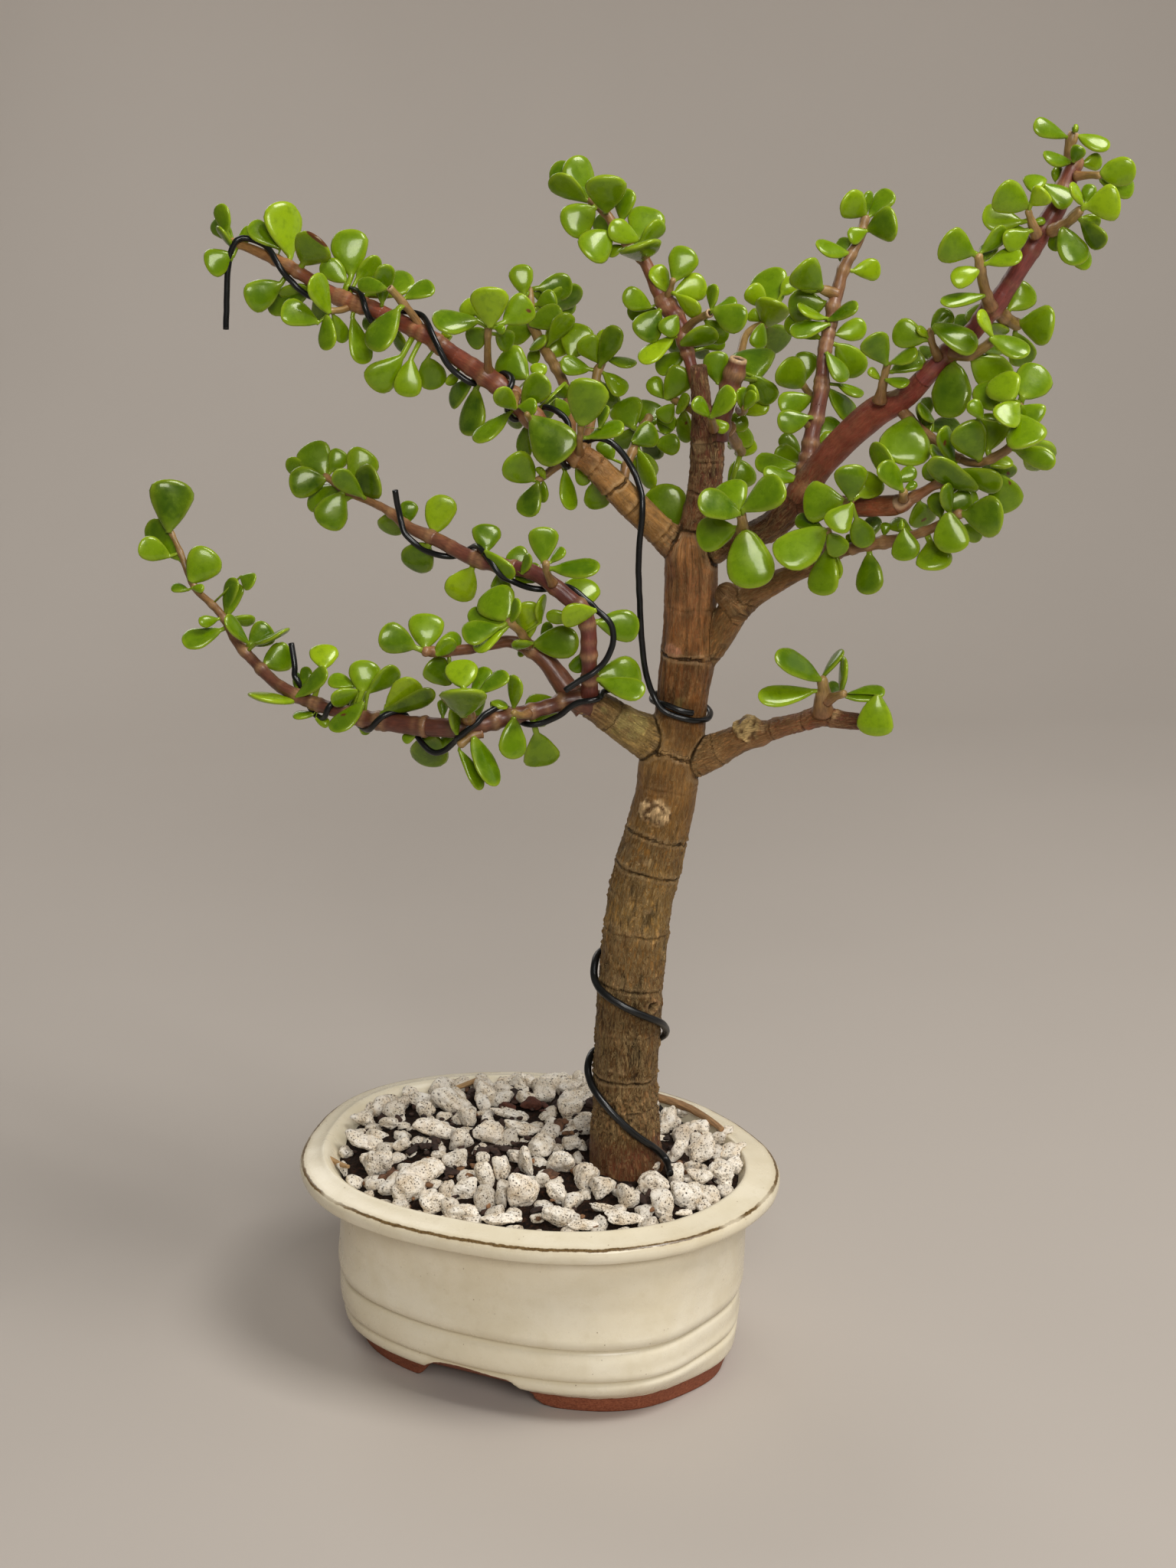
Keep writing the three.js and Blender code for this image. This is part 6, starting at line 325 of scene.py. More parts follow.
        (90.9, 47.3, 351.5, 91, 46.9, 352.6, 86.9, 39.6, 357.5, 0.72, -0.61, -0.32, 8.2, 2, 1.2),
        (90.9, 47.3, 351.5, 91.4, 48.9, 351.8, 96.6, 53.6, 358.3, 0.07, -0.84, 0.55, 6.7, 1.6, 1.2),
    ],
    'shoot_limb_knee': [
        (110.6, 10.3, 314.9, 111.5, 7.7, 315.2, 107.5, 3.5, 323.7, 0.49, -0.85, -0.19, 7.8, 1.9, 0.9),
        (110.7, 10.2, 315.1, 111.9, 9.7, 315.6, 118.8, 11.4, 318.9, -0.11, -0.78, 0.62, 4.6, 1.1, 0.9),
        (109.4, 11, 310.7, 108.5, 11.1, 310.9, 105.2, 10.4, 313.7, 0.65, -0.36, 0.67, 3.1, 0.7, 1),
        (109.5, 11, 311, 110.7, 8.6, 311.2, 117, 10.2, 310, 0.27, -0.42, 0.86, 4.7, 1.1, 1),
        (110.1, 10.6, 313.2, 110.8, 13.2, 312.6, 117.9, 18.9, 316.9, 0.14, -0.7, 0.7, 7, 1.7, 0.9),
    ],
    'shoot_limb_middle': [
        (122, 12.5, 321.9, 120.6, 11.8, 321.7, 112.4, 9.7, 324.8, 0.28, -0.95, 0.11, 7.6, 1.8, 0.9),
        (122.1, 12.2, 322.6, 121.7, 11.4, 322.6, 119, 9.2, 325.2, 0.78, -0.39, 0.48, 2.9, 0.7, 0.9),
        (122.1, 11.4, 324.2, 124, 6.8, 326.1, 135.7, 9.5, 320.1, 0.47, -0.6, 0.64, 7.9, 1.9, 0.8),
        (122.1, 11.8, 323.3, 122.1, 13.5, 323.2, 125.6, 17, 329.2, 0.4, -0.87, 0.27, 5.5, 1.3, 0.9),
        (122.7, 14.5, 318.6, 121.3, 19.1, 318.2, 124.7, 23.2, 319.1, 0.6, -0.35, -0.72, 3.3, 0.8, 1.1),
        (136.7, 13.1, 333.7, 137.2, 10, 333.8, 127.5, 2.5, 332.1, 0.34, -0.6, 0.73, 4.8, 1.1, 1.4),
        (136.1, 9.4, 340.6, 136.1, 8.4, 340.6, 130.2, 3.6, 337.4, 0.38, -0.79, 0.48, 5.7, 1.4, 1.3),
        (135.8, 8.2, 344, 134.9, 7.7, 344.6, 127.7, 0.2, 347.9, 0.7, -0.71, -0.09, 9.2, 2.2, 1.1),
        (135.8, 8.2, 344, 136.3, 8.4, 344.9, 141.4, 12.2, 351.3, 0.77, -0.59, -0.26, 5.7, 1.4, 1.1),
        (136, 9, 341.7, 137.6, 8.7, 342, 146.8, 11, 344.1, 0.04, -0.75, 0.66, 6.2, 1.5, 1.2),
        (136, 20.2, 329.3, 133.5, 24.3, 330.2, 128.4, 23.2, 326.1, -0.33, -0.74, 0.59, 4.8, 1.1, 2.9),
        (137.3, 28.3, 326.7, 138.3, 29.9, 328.5, 142.4, 35, 334.3, 0.48, -0.79, 0.37, 7.9, 1.9, 1.9),
        (139.4, 34.4, 324.1, 139.9, 33.6, 324.8, 150.3, 31.7, 324.3, -0.17, -0.98, 0.12, 10.4, 2.5, 1.5),
        (139.4, 34.5, 324, 138.5, 35.2, 321.9, 140.7, 38.4, 312.5, 0.36, -0.9, -0.23, 7.5, 1.8, 1.5),
        (139.1, 10.9, 321.9, 139, 8.6, 323.3, 149.3, 11.1, 318.7, 0.44, -0.62, 0.65, 7.1, 1.7, 1.1),
        (139.1, 10.9, 321.9, 139.9, 9.1, 323.3, 136.9, 5.9, 330.2, 0.93, -0.14, 0.33, 5.5, 1.3, 1.1),
        (132.9, 12.6, 318.3, 133.2, 13.9, 316.6, 141.5, 20.6, 310, 0.58, -0.81, -0.1, 9.4, 2.3, 1.5),
        (124.5, 19.1, 317.1, 126.9, 18, 315.2, 127, 14.7, 300.6, 0.04, -0.97, 0.22, 10.7, 2.5, 2.7),
    ],
    'shoot_limb_upper': [
        (147.9, 17.5, 350.3, 147.6, 14, 350.1, 142.1, 9.5, 346.8, 0.54, -0.82, 0.21, 6.2, 1.5, 1.2),
        (147.7, 16.9, 351, 146, 16.1, 350.3, 137.4, 13.8, 351, 0.24, -0.7, 0.67, 5, 1.2, 1.1),
        (147.4, 15.4, 353, 145.3, 15.5, 352.3, 135.1, 12.9, 354.2, 0.3, -0.79, 0.54, 7.6, 1.8, 0.9),
        (147.1, 13.8, 355.1, 147.1, 13.8, 356.3, 139.4, 7.7, 360, 0.58, -0.81, -0.09, 8.7, 2.1, 0.8),
        (147.1, 13.8, 355.1, 148, 15.3, 359.7, 146.9, 20, 364.1, 0.21, -0.65, 0.73, 6, 1.4, 0.8),
        (147.1, 13.8, 355.1, 147.9, 13, 356.7, 152.5, 11.1, 360.2, -0.16, -0.94, -0.3, 5.9, 1.4, 0.8),
        (147.6, 16.3, 351.8, 147, 19.1, 351.7, 149.7, 21.1, 352.6, 0.32, -0.69, 0.65, 2.4, 0.6, 1),
    ],
    'shoot_limb_tip': [
        (153.8, 29.4, 372.7, 152.9, 28.4, 373.1, 145.4, 22.5, 376.9, 0.68, -0.56, 0.47, 5.3, 1.3, 1.4),
        (154.1, 29.5, 373.8, 155.3, 30.1, 373.4, 163.3, 32.1, 370.5, 0.39, -0.69, 0.61, 5, 1.2, 1.2),
        (153.5, 29.2, 366.8, 154.6, 26.4, 366.9, 148.2, 21.5, 368.9, 0.6, -0.57, 0.56, 4.5, 1.1, 1.4),
        (155.1, 28.9, 366.5, 155.3, 25.3, 366.9, 157.2, 25.1, 371.2, 0.19, -0.98, -0.12, 4, 1, 2),
        (153.2, 26.8, 360.5, 151.4, 28.9, 360.8, 150, 29.4, 365.9, 0.79, -0.54, 0.27, 3.8, 0.9, 2.5),
        (154.2, 29.5, 374.2, 154.4, 28.7, 374.6, 155.7, 26.5, 375.9, -0.88, -0.47, 0.09, 2.1, 0.5, 1.2),
        (155.3, 29, 366.9, 156.3, 30.4, 366.2, 161, 34.1, 366.8, 0.6, -0.8, 0.08, 4.4, 1.1, 1.8),
        (162.9, 23.8, 363.7, 163.1, 23.4, 364.3, 171.9, 25.7, 364.7, 0.25, -0.97, 0.04, 7.3, 1.8, 0.9),
        (162.9, 23.8, 363.7, 162.8, 24.9, 362.5, 170.2, 30.6, 359.3, 0.66, -0.64, 0.39, 6.4, 1.5, 0.9),
        (160.3, 14.7, 355.3, 161.6, 14.3, 356.2, 170.6, 15.8, 357.7, 0.17, -0.99, 0.04, 8.9, 2.1, 1.1),
        (159.4, 15.5, 354.5, 160.5, 16, 353.3, 164.7, 19.3, 351.6, 0.59, -0.8, -0.07, 3.8, 0.9, 1.2),
        (160.3, 14.7, 355.3, 161.2, 14.1, 356.6, 158.4, 11.2, 362.1, 0.9, -0.28, 0.32, 4.5, 1.1, 1.1),
        (160.3, 14.7, 355.3, 161.7, 15.4, 357.1, 162.5, 16.9, 361.7, 0.29, -0.92, 0.26, 3.7, 0.9, 1.1),
        (159, 15.8, 354.2, 160.6, 15.5, 352.7, 167, 16.6, 346.5, -0.2, -0.91, -0.37, 6.3, 1.5, 1.2),
        (154.8, 17.7, 351, 155.7, 14.7, 351, 161.4, 15.1, 341.8, 0.51, -0.82, 0.28, 7.7, 1.8, 1.4),
        (153.6, 18.3, 350.5, 153.2, 20.4, 350.1, 152.6, 21.3, 344.6, -0.18, -0.97, -0.14, 4, 1, 1.4),
        (152.9, 26.7, 359.4, 148.6, 20.1, 361.8, 156.1, 21.7, 356.3, 0.54, -0.64, 0.55, 6.5, 1.6, 2.5),
    ],
    'shoot_right_inner': [
        (120, 15.3, 296.3, 122.4, 15.5, 299.4, 118.5, 12, 304.1, 0.81, -0.2, 0.55, 4.6, 1.1, 1.3),
        (114.8, 17.2, 299.7, 116.2, 14.6, 300.6, 117.1, 5.9, 288.9, 0.32, -0.75, 0.58, 13.8, 2.5, 1.5),
        (122, 14.7, 295.1, 121.3, 16.5, 294.7, 119, 18.2, 299.6, 0.01, -0.95, 0.32, 3.9, 0.9, 1.3),
        (130.7, 11.8, 290.5, 130.4, 9.4, 288.4, 127, 5.2, 299.6, 0.87, -0.48, 0.08, 5.9, 1.4, 1.1),
        (128.9, 12.6, 291, 128.3, 11.2, 289.1, 123.5, 7.2, 293.6, 0.77, -0.32, 0.54, 5, 1.2, 1.1),
    ],
    'shoot_right_tip': [
        (137.3, 9.7, 290.1, 137.7, 8.1, 291, 133.8, 3.6, 301.3, 0.45, -0.87, -0.2, 9.6, 2.3, 1.1),
        (140.5, 8.8, 291.2, 139.4, 9.4, 293, 140, 12, 302.8, 0.28, -0.93, 0.23, 9.4, 2.3, 1.2),
        (139.5, 9.1, 290.8, 139.8, 10.4, 289.1, 145, 14.3, 290, 0.35, -0.62, 0.71, 4.4, 1.1, 1.2),
        (148.5, 5.9, 301.2, 139.6, 3.7, 302.3, 135.8, 3.2, 307, 0.5, -0.81, 0.31, 4.3, 1, 1),
        (148.7, 5.6, 304.6, 141.6, 6.6, 304.6, 137.4, 10, 311.1, 0.08, -0.86, 0.5, 8.1, 1.9, 1),
        (148.8, 5.7, 306.4, 149.5, 4.9, 308.1, 152, 12.3, 315.3, 0.45, -0.69, 0.56, 9.7, 2.3, 0.9),
        (148.8, 5.7, 306.4, 149.4, 2, 307.1, 145.9, -4.6, 302.8, 0.59, -0.64, 0.49, 7.6, 1.8, 0.9),
        (148.8, 5.7, 305.8, 149, 5, 305.9, 154.6, 4.3, 302, 0.06, -0.96, 0.28, 7.6, 1.8, 0.9),
        (148.7, 5.6, 303.4, 149.2, 2.9, 303.8, 154.1, -2.8, 296.2, 0.02, -0.79, 0.61, 10.4, 2.5, 1),
        (148, 6.4, 297.8, 150.9, 8.9, 296, 153.2, 18.8, 289.5, 0.71, -0.49, -0.5, 9.3, 2.2, 1.1),
        (148.8, 5.7, 306.4, 147.8, 1.8, 307.6, 142, 6.8, 313.2, -0.12, -0.79, 0.6, 9.2, 2.2, 0.9),
    ],
    'shoot_right_low': [
        (127.5, 7.4, 284.4, 137.6, 7.9, 282.8, 126.6, -1, 291.8, 0.18, -0.8, -0.58, 7.7, 1.9, 1.2),
        (127.5, 7.4, 284.4, 131.7, 7.3, 288, 143.6, 10.3, 284.6, 0.09, -0.88, -0.48, 7.5, 1.8, 1.2),
        (127.5, 7.4, 284.4, 140.4, 13.8, 286.8, 143.4, 17.7, 275.9, 0.4, -0.89, -0.21, 9.3, 2.2, 1.2),
        (127.5, 7.4, 284.4, 128.7, 10.2, 285.1, 121.7, 8.5, 288.1, 0.3, -0.94, 0.16, 5.8, 1.4, 1.2),
        (120, 8.3, 280.2, 120.4, 9.7, 278.5, 120.4, 15.8, 270.9, 0.43, -0.7, -0.57, 7.7, 1.9, 1.5),
        (126.7, 7.4, 284.1, 129.4, 8.8, 276.8, 134.6, 13.8, 281.7, 0.47, -0.82, 0.34, 7.9, 1.9, 1.2),
        (118.3, 2.8, 282, 118.4, 1.2, 282.9, 113.5, -3.3, 290.3, 0.83, -0.51, 0.23, 6.5, 1.6, 1),
        (118.3, 2.8, 282, 118.5, 3.5, 282.5, 121, 5.6, 284.4, 0.27, -0.81, 0.53, 2.6, 0.6, 1),
        (118.3, 2.8, 282, 116.1, 4, 284.8, 120.1, 7.3, 287.8, 0.38, -0.83, 0.41, 4.2, 1, 1),
    ],
    'shoot_front_right': [
        (100.9, 5.9, 277.9, 100.9, 5.7, 278.1, 89.1, 4.3, 277, 0.1, -0.98, 0.15, 11, 2.5, 1),
        (102.8, 4.1, 278.6, 103.4, 2.5, 279.1, 103.8, 0.4, 289.1, 0.34, -0.92, -0.21, 8.8, 2.1, 0.9),
        (102.8, 4.1, 278.6, 104.1, 2.3, 278.4, 99.2, -2.3, 271.9, 0.42, -0.86, 0.29, 7.7, 1.9, 0.9),
        (102.8, 4.1, 278.6, 104.2, 5.9, 279.7, 107.2, 12.7, 284.3, 0.6, -0.62, 0.51, 8, 1.9, 0.9),
        (102.8, 4.1, 278.6, 103.5, 6.7, 273.6, 106.1, 9.8, 265.5, 0.47, -0.86, -0.18, 6.7, 1.6, 0.9),
    ],
    'shoot_front_centre': [
        (72.5, -0.9, 273.9, 71.9, -0.6, 274.7, 65.9, 4.1, 282, 0.1, -0.8, 0.6, 10.2, 2.5, 1.2),
        (72.5, -0.9, 273.9, 73, -2.7, 274.5, 63.2, -10.4, 278.8, 0.66, -0.53, 0.54, 8.9, 2.1, 1.2),
        (72.5, -0.9, 273.9, 73.3, -2.3, 275.1, 85.2, 0.4, 282.7, -0.07, -0.9, 0.43, 10, 2.4, 1.2),
        (70.5, 4.3, 268.7, 69.1, 4, 269, 58.3, 1.3, 265.5, 0.21, -0.97, 0.13, 9.5, 2.3, 1.6),
        (70.6, 4.2, 268.8, 72.5, 1.9, 269.1, 76.4, 0.1, 253.2, 0.37, -0.91, 0.19, 12.9, 2.5, 1.6),
    ],
    'shoot_lower_right_inner': [
        (96.9, 2.3, 270.1, 96.4, 1.8, 270.8, 85.5, -7.3, 262.8, 0.32, -0.81, 0.49, 11.3, 2.5, 0.9),
        (95, 8.3, 264.2, 95.8, 6.4, 264.6, 94.8, 2.9, 251.8, -0.22, -0.93, 0.28, 9.4, 2.3, 1.4),
        (94.4, 9.8, 262.7, 95.9, 10.6, 262.5, 96.1, 11.7, 254.7, -0.31, -0.94, -0.14, 4.8, 1.2, 1.5),
        (96.8, 2.9, 269.6, 97.3, 1.7, 269.8, 100.3, 4.8, 263.5, 0.53, -0.83, -0.15, 6.1, 1.5, 1),
    ],
    'shoot_lower_right_outer': [
        (105.4, 11.9, 265.2, 105.7, 12.1, 262.9, 106.1, 9.6, 251.5, -0.14, -0.97, 0.2, 8.3, 2, 1.7),
        (117.1, 9.9, 268.3, 117.5, 5.7, 272, 118.6, 4.1, 262.9, 0.31, -0.93, 0.2, 7.5, 1.8, 1.5),
        (117.3, 9.9, 268.4, 117.8, 3.4, 274.5, 117.9, 2.7, 271.7, -0.5, -0.84, 0.21, 2.1, 0.5, 1.4),
        (110.5, 11.3, 266.3, 109.8, 12.4, 267.8, 110.1, 13.4, 271.5, 0.32, -0.92, 0.23, 3, 0.7, 1.8),
        (100.4, 12.4, 263.6, 99, 13.4, 264.4, 99.3, 14.9, 267.2, 0.37, -0.83, 0.42, 3, 0.7, 1.6),
        (130.8, 6.5, 275, 130.4, 4.1, 277.2, 133.2, 2.9, 266.4, 0.29, -0.94, 0.18, 9.1, 2.2, 1.2),
        (122.7, 8.9, 270.6, 123.8, 9.4, 268, 127.3, 3.5, 261, 0.12, -0.72, 0.68, 9.6, 2.3, 1.3),
        (130.7, 6.5, 275, 132.1, 7.2, 272.2, 137.9, 11.7, 269.7, 0.63, -0.78, 0.06, 5.2, 1.2, 1.2),
        (133.1, 5.7, 276.5, 134.2, 5.7, 276.4, 145.5, 5.2, 276.7, -0.05, -0.98, 0.18, 10.9, 2.5, 1.2),
        (131.2, 6.4, 275.3, 129.2, 6.5, 278.4, 134.7, 10.8, 280.5, 0.53, -0.8, 0.27, 6.2, 1.5, 1.2),
    ],
    'shoot_right_spur': [
        (93.8, 7.4, 226.5, 93.5, 6.3, 226.7, 82.9, -2.2, 234.8, 0.73, -0.36, 0.58, 8.1, 2, 1.3),
        (93.7, 8.7, 222.6, 91.6, 7.6, 223.1, 78.2, -2.7, 221.2, 0.27, -0.5, 0.82, 7.3, 1.8, 1.8),
        (93.8, 7.4, 226.5, 93.4, 8.3, 226.7, 97.9, 12.8, 234.5, -0.7, -0.38, 0.61, 7.1, 1.7, 1.3),
        (100.1, 5.9, 223.2, 99.8, 6.6, 223.2, 99.6, 8.9, 233.5, -0.83, -0.55, 0.1, 7.5, 1.8, 1),
        (100.9, 5.4, 223.6, 101, 5.8, 222.6, 110.3, 13, 223.3, 0.31, -0.48, 0.82, 5.9, 1.4, 1),
        (100.9, 5.4, 223.6, 109.8, 8.7, 223.6, 110.5, 6.3, 211.8, 0.32, -0.93, 0.2, 9.9, 2.4, 1),
    ],
    'shoot_left_upright': [
        (23, -24.2, 261, 22.1, -24, 260.9, 21.4, -22, 271.1, 0.45, -0.87, 0.2, 8.2, 2, 1),
        (23, -24.3, 261.2, 23.7, -22.8, 261.2, 27, -20, 264.8, -0.17, -0.69, 0.7, 4, 0.9, 1),
        (22.5, -22.9, 259.3, 23.4, -22.7, 259.4, 37.4, -19, 259.8, 0.14, -0.62, 0.77, 7.5, 1.8, 1),
        (27.9, -14.7, 247.3, 26.2, -12.6, 246.1, 25.8, -4.9, 253, 0.49, -0.57, 0.66, 10.1, 2.4, 2.4),
        (29.6, -14.4, 245, 34.3, -15.3, 246.8, 26.1, -21.8, 245.1, 0.62, -0.71, -0.31, 7.4, 1.8, 2.4),
        (30.3, -14, 242.1, 32.6, -12.9, 242.8, 42.3, -5.3, 239.7, 0.64, -0.75, 0.16, 9, 2.1, 2.3),
        (29.5, -11.3, 225.8, 30.1, -8.6, 225.2, 40.9, -0.3, 224, 0.61, -0.76, 0.23, 12, 2.5, 2.3),
        (30.5, -13.5, 233.2, 27, -11.9, 232.5, 24.8, -11.8, 227.1, 0.31, -0.94, -0.15, 4.4, 1.1, 2.3),
    ],
    'shoot_left_inner': [
        (-4.5, -15.4, 259.1, -5.3, -15.9, 256.4, -11.6, -16.7, 247.2, 0.29, -0.95, -0.11, 9.1, 2.2, 2.2),
        (-1.5, -15.8, 258.6, -1.3, -14.6, 260.9, -2.3, -11.1, 268.7, 0.46, -0.79, 0.42, 8.2, 2, 2.2),
        (-2.6, -15.7, 258.8, 0.8, -19.6, 262.8, 9.5, -17.9, 255.1, -0.03, -0.97, -0.24, 5.5, 1.3, 2.2),
        (8.8, -16.3, 257.4, 10.9, -11.9, 256.5, 5.7, -12.1, 261.8, 0.35, -0.88, 0.31, 6.8, 1.6, 2.2),
        (8.8, -16.3, 257.4, 12.6, -19.4, 256.5, 16, -19.1, 262.2, -0.41, -0.87, 0.29, 4.4, 1.1, 2.2),
        (8.8, -16.3, 257.4, 8.4, -15.4, 253.8, 15.6, -12.9, 257, 0.09, -0.87, 0.48, 5.7, 1.4, 2.2),
        (3.9, -16.1, 257.9, 2.8, -15.5, 255, 2.9, -12.4, 248.8, 0.57, -0.73, -0.36, 5.7, 1.4, 2.2),
    ],
    'shoot_left_tip': [
        (-34.3, -10.9, 269.6, -34.7, -9.1, 270.1, -40, -4.1, 262.9, 0.17, -0.75, -0.64, 8.2, 2, 1.4),
        (-29.1, -12.2, 266.8, -30.8, -8.6, 266.8, -30.8, -7.1, 273.2, 0.5, -0.84, 0.19, 5.2, 1.2, 1.6),
        (-19.5, -13.7, 264, -20.5, -14.2, 261.8, -29.1, -10.8, 253.8, 0, -0.92, -0.39, 9.8, 2.4, 2),
        (-19.8, -13.7, 264.1, -19.8, -12.4, 265.2, -16.8, -8.3, 275.5, 0.5, -0.85, 0.19, 8.7, 2.1, 2),
        (-61, -4.6, 278.5, -61.4, -4, 278.7, -68.3, -2.5, 287.4, 0.36, -0.83, 0.43, 10.4, 2.5, 0.9),
        (-60.4, -4.8, 278.2, -60.6, -5.4, 277.7, -69.2, -12.1, 276.5, 0.59, -0.79, 0.16, 9.2, 2.2, 0.9),
        (-60.6, -4.7, 278.4, -60.3, -3.4, 279.3, -57.4, -0.2, 285.9, 0.54, -0.83, 0.16, 6.2, 1.5, 0.9),
        (-53.8, -6.3, 275, -52.2, -5.5, 277.3, -48, -0.9, 286.4, 0.53, -0.83, 0.17, 9.9, 2.4, 1),
        (-51.5, -6.8, 274.3, -51.5, -6, 275.1, -39.5, -7.4, 279.6, -0.09, -0.99, -0.08, 10.7, 2.5, 1),
        (-53.5, -6.4, 274.9, -53, -7.9, 274.6, -56.7, -12.5, 264.1, 0.53, -0.83, 0.17, 9.8, 2.4, 1),
    ],
    'shoot_lower_left_upper': [
        (11.9, -26.5, 244.1, 10.9, -26.4, 244.2, 3.6, -20.5, 251.2, 0.11, -0.69, 0.71, 11.3, 2.5, 1.1),
        (11.9, -26.5, 244.1, 10.4, -28.3, 243, 1.5, -35.3, 240.9, 0.31, -0.62, 0.72, 8, 1.9, 1.1),
        (12, -25.8, 243.6, 11.1, -27.3, 242.2, 4.1, -33.2, 236.5, -0.33, -0.43, 0.84, 7.6, 1.8, 1.1),
        (12, -25.8, 243.6, 13.1, -27.3, 244.4, 16.2, -27.2, 251, -0.53, -0.8, 0.26, 4.8, 1.1, 1.1),
        (11.7, -16.4, 236.3, 12.3, -15.8, 236.7, 13.6, -17.6, 248.2, 0.3, -0.94, -0.18, 7.6, 1.8, 1.3),
        (12.2, -19.6, 238.9, 16.9, -17.3, 242.1, 18.1, -18.6, 250.9, 0.99, -0.05, -0.14, 5.9, 1.4, 1.2),
        (10.6, -10.4, 232, 13.2, -9.1, 235.9, 15.8, -8.9, 240.4, 0.19, -0.98, -0.07, 3.4, 0.8, 2.3),
        (9.9, -10.7, 232.5, 14.5, -16.9, 236, 9.4, -20.9, 236, 0.47, -0.6, -0.65, 4.5, 1.1, 2.2),
        (9.7, -10.8, 232.8, 8.3, -8.6, 232, 5.3, -9.3, 229.8, -0.18, -0.84, 0.51, 2.5, 0.6, 2.1),
        (10, -10.7, 232.5, 12.3, -12.7, 234.6, 25.3, -9.3, 235.6, 0.24, -0.95, 0.22, 9.3, 2.2, 2.2),
        (-8.6, -38.9, 236.4, -11.1, -40.1, 237.6, -18.9, -46.4, 242.8, 0.68, -0.73, 0.12, 8.5, 2, 1.3),
        (-8.6, -38.9, 236.4, -9.2, -38.2, 236.9, -10.9, -34, 246.4, 0.47, -0.77, 0.43, 10, 2.4, 1.3),
        (-7.3, -36, 235.9, -6.6, -37.2, 235.1, -2.1, -33.4, 239.1, 0.66, -0.75, -0.02, 5, 1.2, 1.4),
        (-5.3, -31.7, 235.2, -5.8, -29.7, 225.1, -11.1, -34.5, 231.9, 0.69, -0.73, 0.03, 7.9, 1.9, 1.4),
    ],
    'shoot_lower_left_inner': [
        (6.9, -43.5, 225.8, 6, -43.9, 228.5, 2.9, -38.2, 234.8, 0.35, -0.61, 0.71, 9, 2.2, 1.3),
        (0.7, -32.1, 216.7, 2.8, -39.4, 218.8, 9.9, -48.7, 230.2, 0.2, -0.69, -0.69, 12.7, 2.5, 1.7),
        (-5.4, -28.3, 211.7, -3.5, -31.9, 210.6, -3.1, -33.9, 221.1, 1, 0.02, -0.03, 6.9, 1.7, 2.7),
        (-2.8, -27.1, 212, -4.3, -24, 209.6, -2.3, -20.3, 221.1, 0.91, -0.42, -0.02, 7.2, 1.7, 2.6),
        (6.9, -43.5, 225.8, 9.8, -42, 226.8, 16.7, -36.4, 231.2, 0.07, -0.66, 0.75, 5.9, 1.4, 1.3),
        (4.2, -23.1, 213.3, 3.2, -23.6, 218.7, 7.4, -20.2, 217.4, 0.45, -0.22, 0.87, 3.8, 0.9, 2.5),
        (-3.1, -30.5, 207.5, -3.7, -30.9, 206.1, 3, -30.6, 194.3, 0.83, -0.3, 0.46, 5, 1.2, 1.1),
        (-0.5, -27.9, 209.6, 0.5, -29.6, 209.9, 6.9, -29.9, 195.5, 0.86, -0.31, 0.39, 8, 1.9, 1.2),
        (8.7, -19.8, 214.4, 10.1, -22.2, 215, 10.9, -24.6, 202.8, 0.78, -0.6, 0.17, 8.7, 2.1, 2.4),
        (9.3, -19.5, 214.5, 9.1, -20.3, 216.9, 10.5, -21.7, 227.2, -0.21, -0.97, -0.11, 5.8, 1.4, 2.3),
        (20.3, -11.7, 217.4, 18.5, -8.2, 216.4, 8.2, -10.2, 212.4, 0.13, -0.98, 0.14, 9.6, 2.3, 2.5),
        (12.9, -16.9, 215.5, 12.7, -13.7, 208.6, 11.3, -7.8, 196.4, 0.5, -0.76, -0.42, 10.5, 2.5, 2.2),
    ],
    'shoot_lower_left_middle': [
        (-39.2, -31.9, 213.1, -36.3, -31.7, 220.7, -42.8, -36.8, 218.1, 0.67, -0.67, -0.33, 6.1, 1.5, 1.7),
        (-36.2, -32, 212.7, -33.6, -32.9, 218, -41.1, -39.6, 209.7, -0.03, -0.77, 0.64, 7.3, 1.8, 1.8),
        (-40.5, -31.9, 213.4, -38, -30.7, 221.5, -45.8, -32.7, 223.8, 0.36, -0.46, 0.81, 5.6, 1.4, 1.7),
        (-37.8, -32, 212.9, -35.5, -30.9, 220.1, -36.3, -27.4, 229, 0.51, -0.79, 0.35, 9, 2.2, 1.7),
        (-34.7, -32, 212.5, -33.4, -31.4, 220.2, -26.1, -25.1, 226.6, 0.76, -0.57, -0.32, 7.3, 1.8, 1.8),
        (-27.9, -32, 212.3, -27.2, -31.6, 216.5, -17.7, -28.6, 224.9, 0.51, -0.82, -0.28, 8.7, 2.1, 2),
        (-29.4, -32, 212.3, -28, -33.5, 215.2, -11.8, -29.3, 221.9, 0.4, -0.78, -0.48, 6.2, 1.5, 1.9),
        (-14.6, -30.7, 211.7, -13.2, -28.8, 209.3, -20.2, -21.9, 198.2, 0.17, -0.78, -0.6, 11.2, 2.5, 2.4),
        (-35.5, -32, 212.5, -36.3, -31.9, 210.7, -34.4, -30.1, 207.4, 0.7, -0.71, 0, 3.2, 0.8, 1.8),
        (-58.2, -31, 217, -58.4, -32.3, 215.5, -69.3, -40.9, 218.2, 0.17, 0.1, 0.98, 10, 2.4, 1.5),
        (-58.5, -31, 217.1, -57.7, -32.8, 216.9, -47.3, -30.5, 226, -0.2, -0.87, 0.45, 5.7, 1.4, 1.5),
        (-52.7, -31.3, 215.5, -49.3, -29.6, 225.6, -51.9, -23.9, 231.3, 0.43, -0.54, 0.73, 8.4, 2, 1.5),
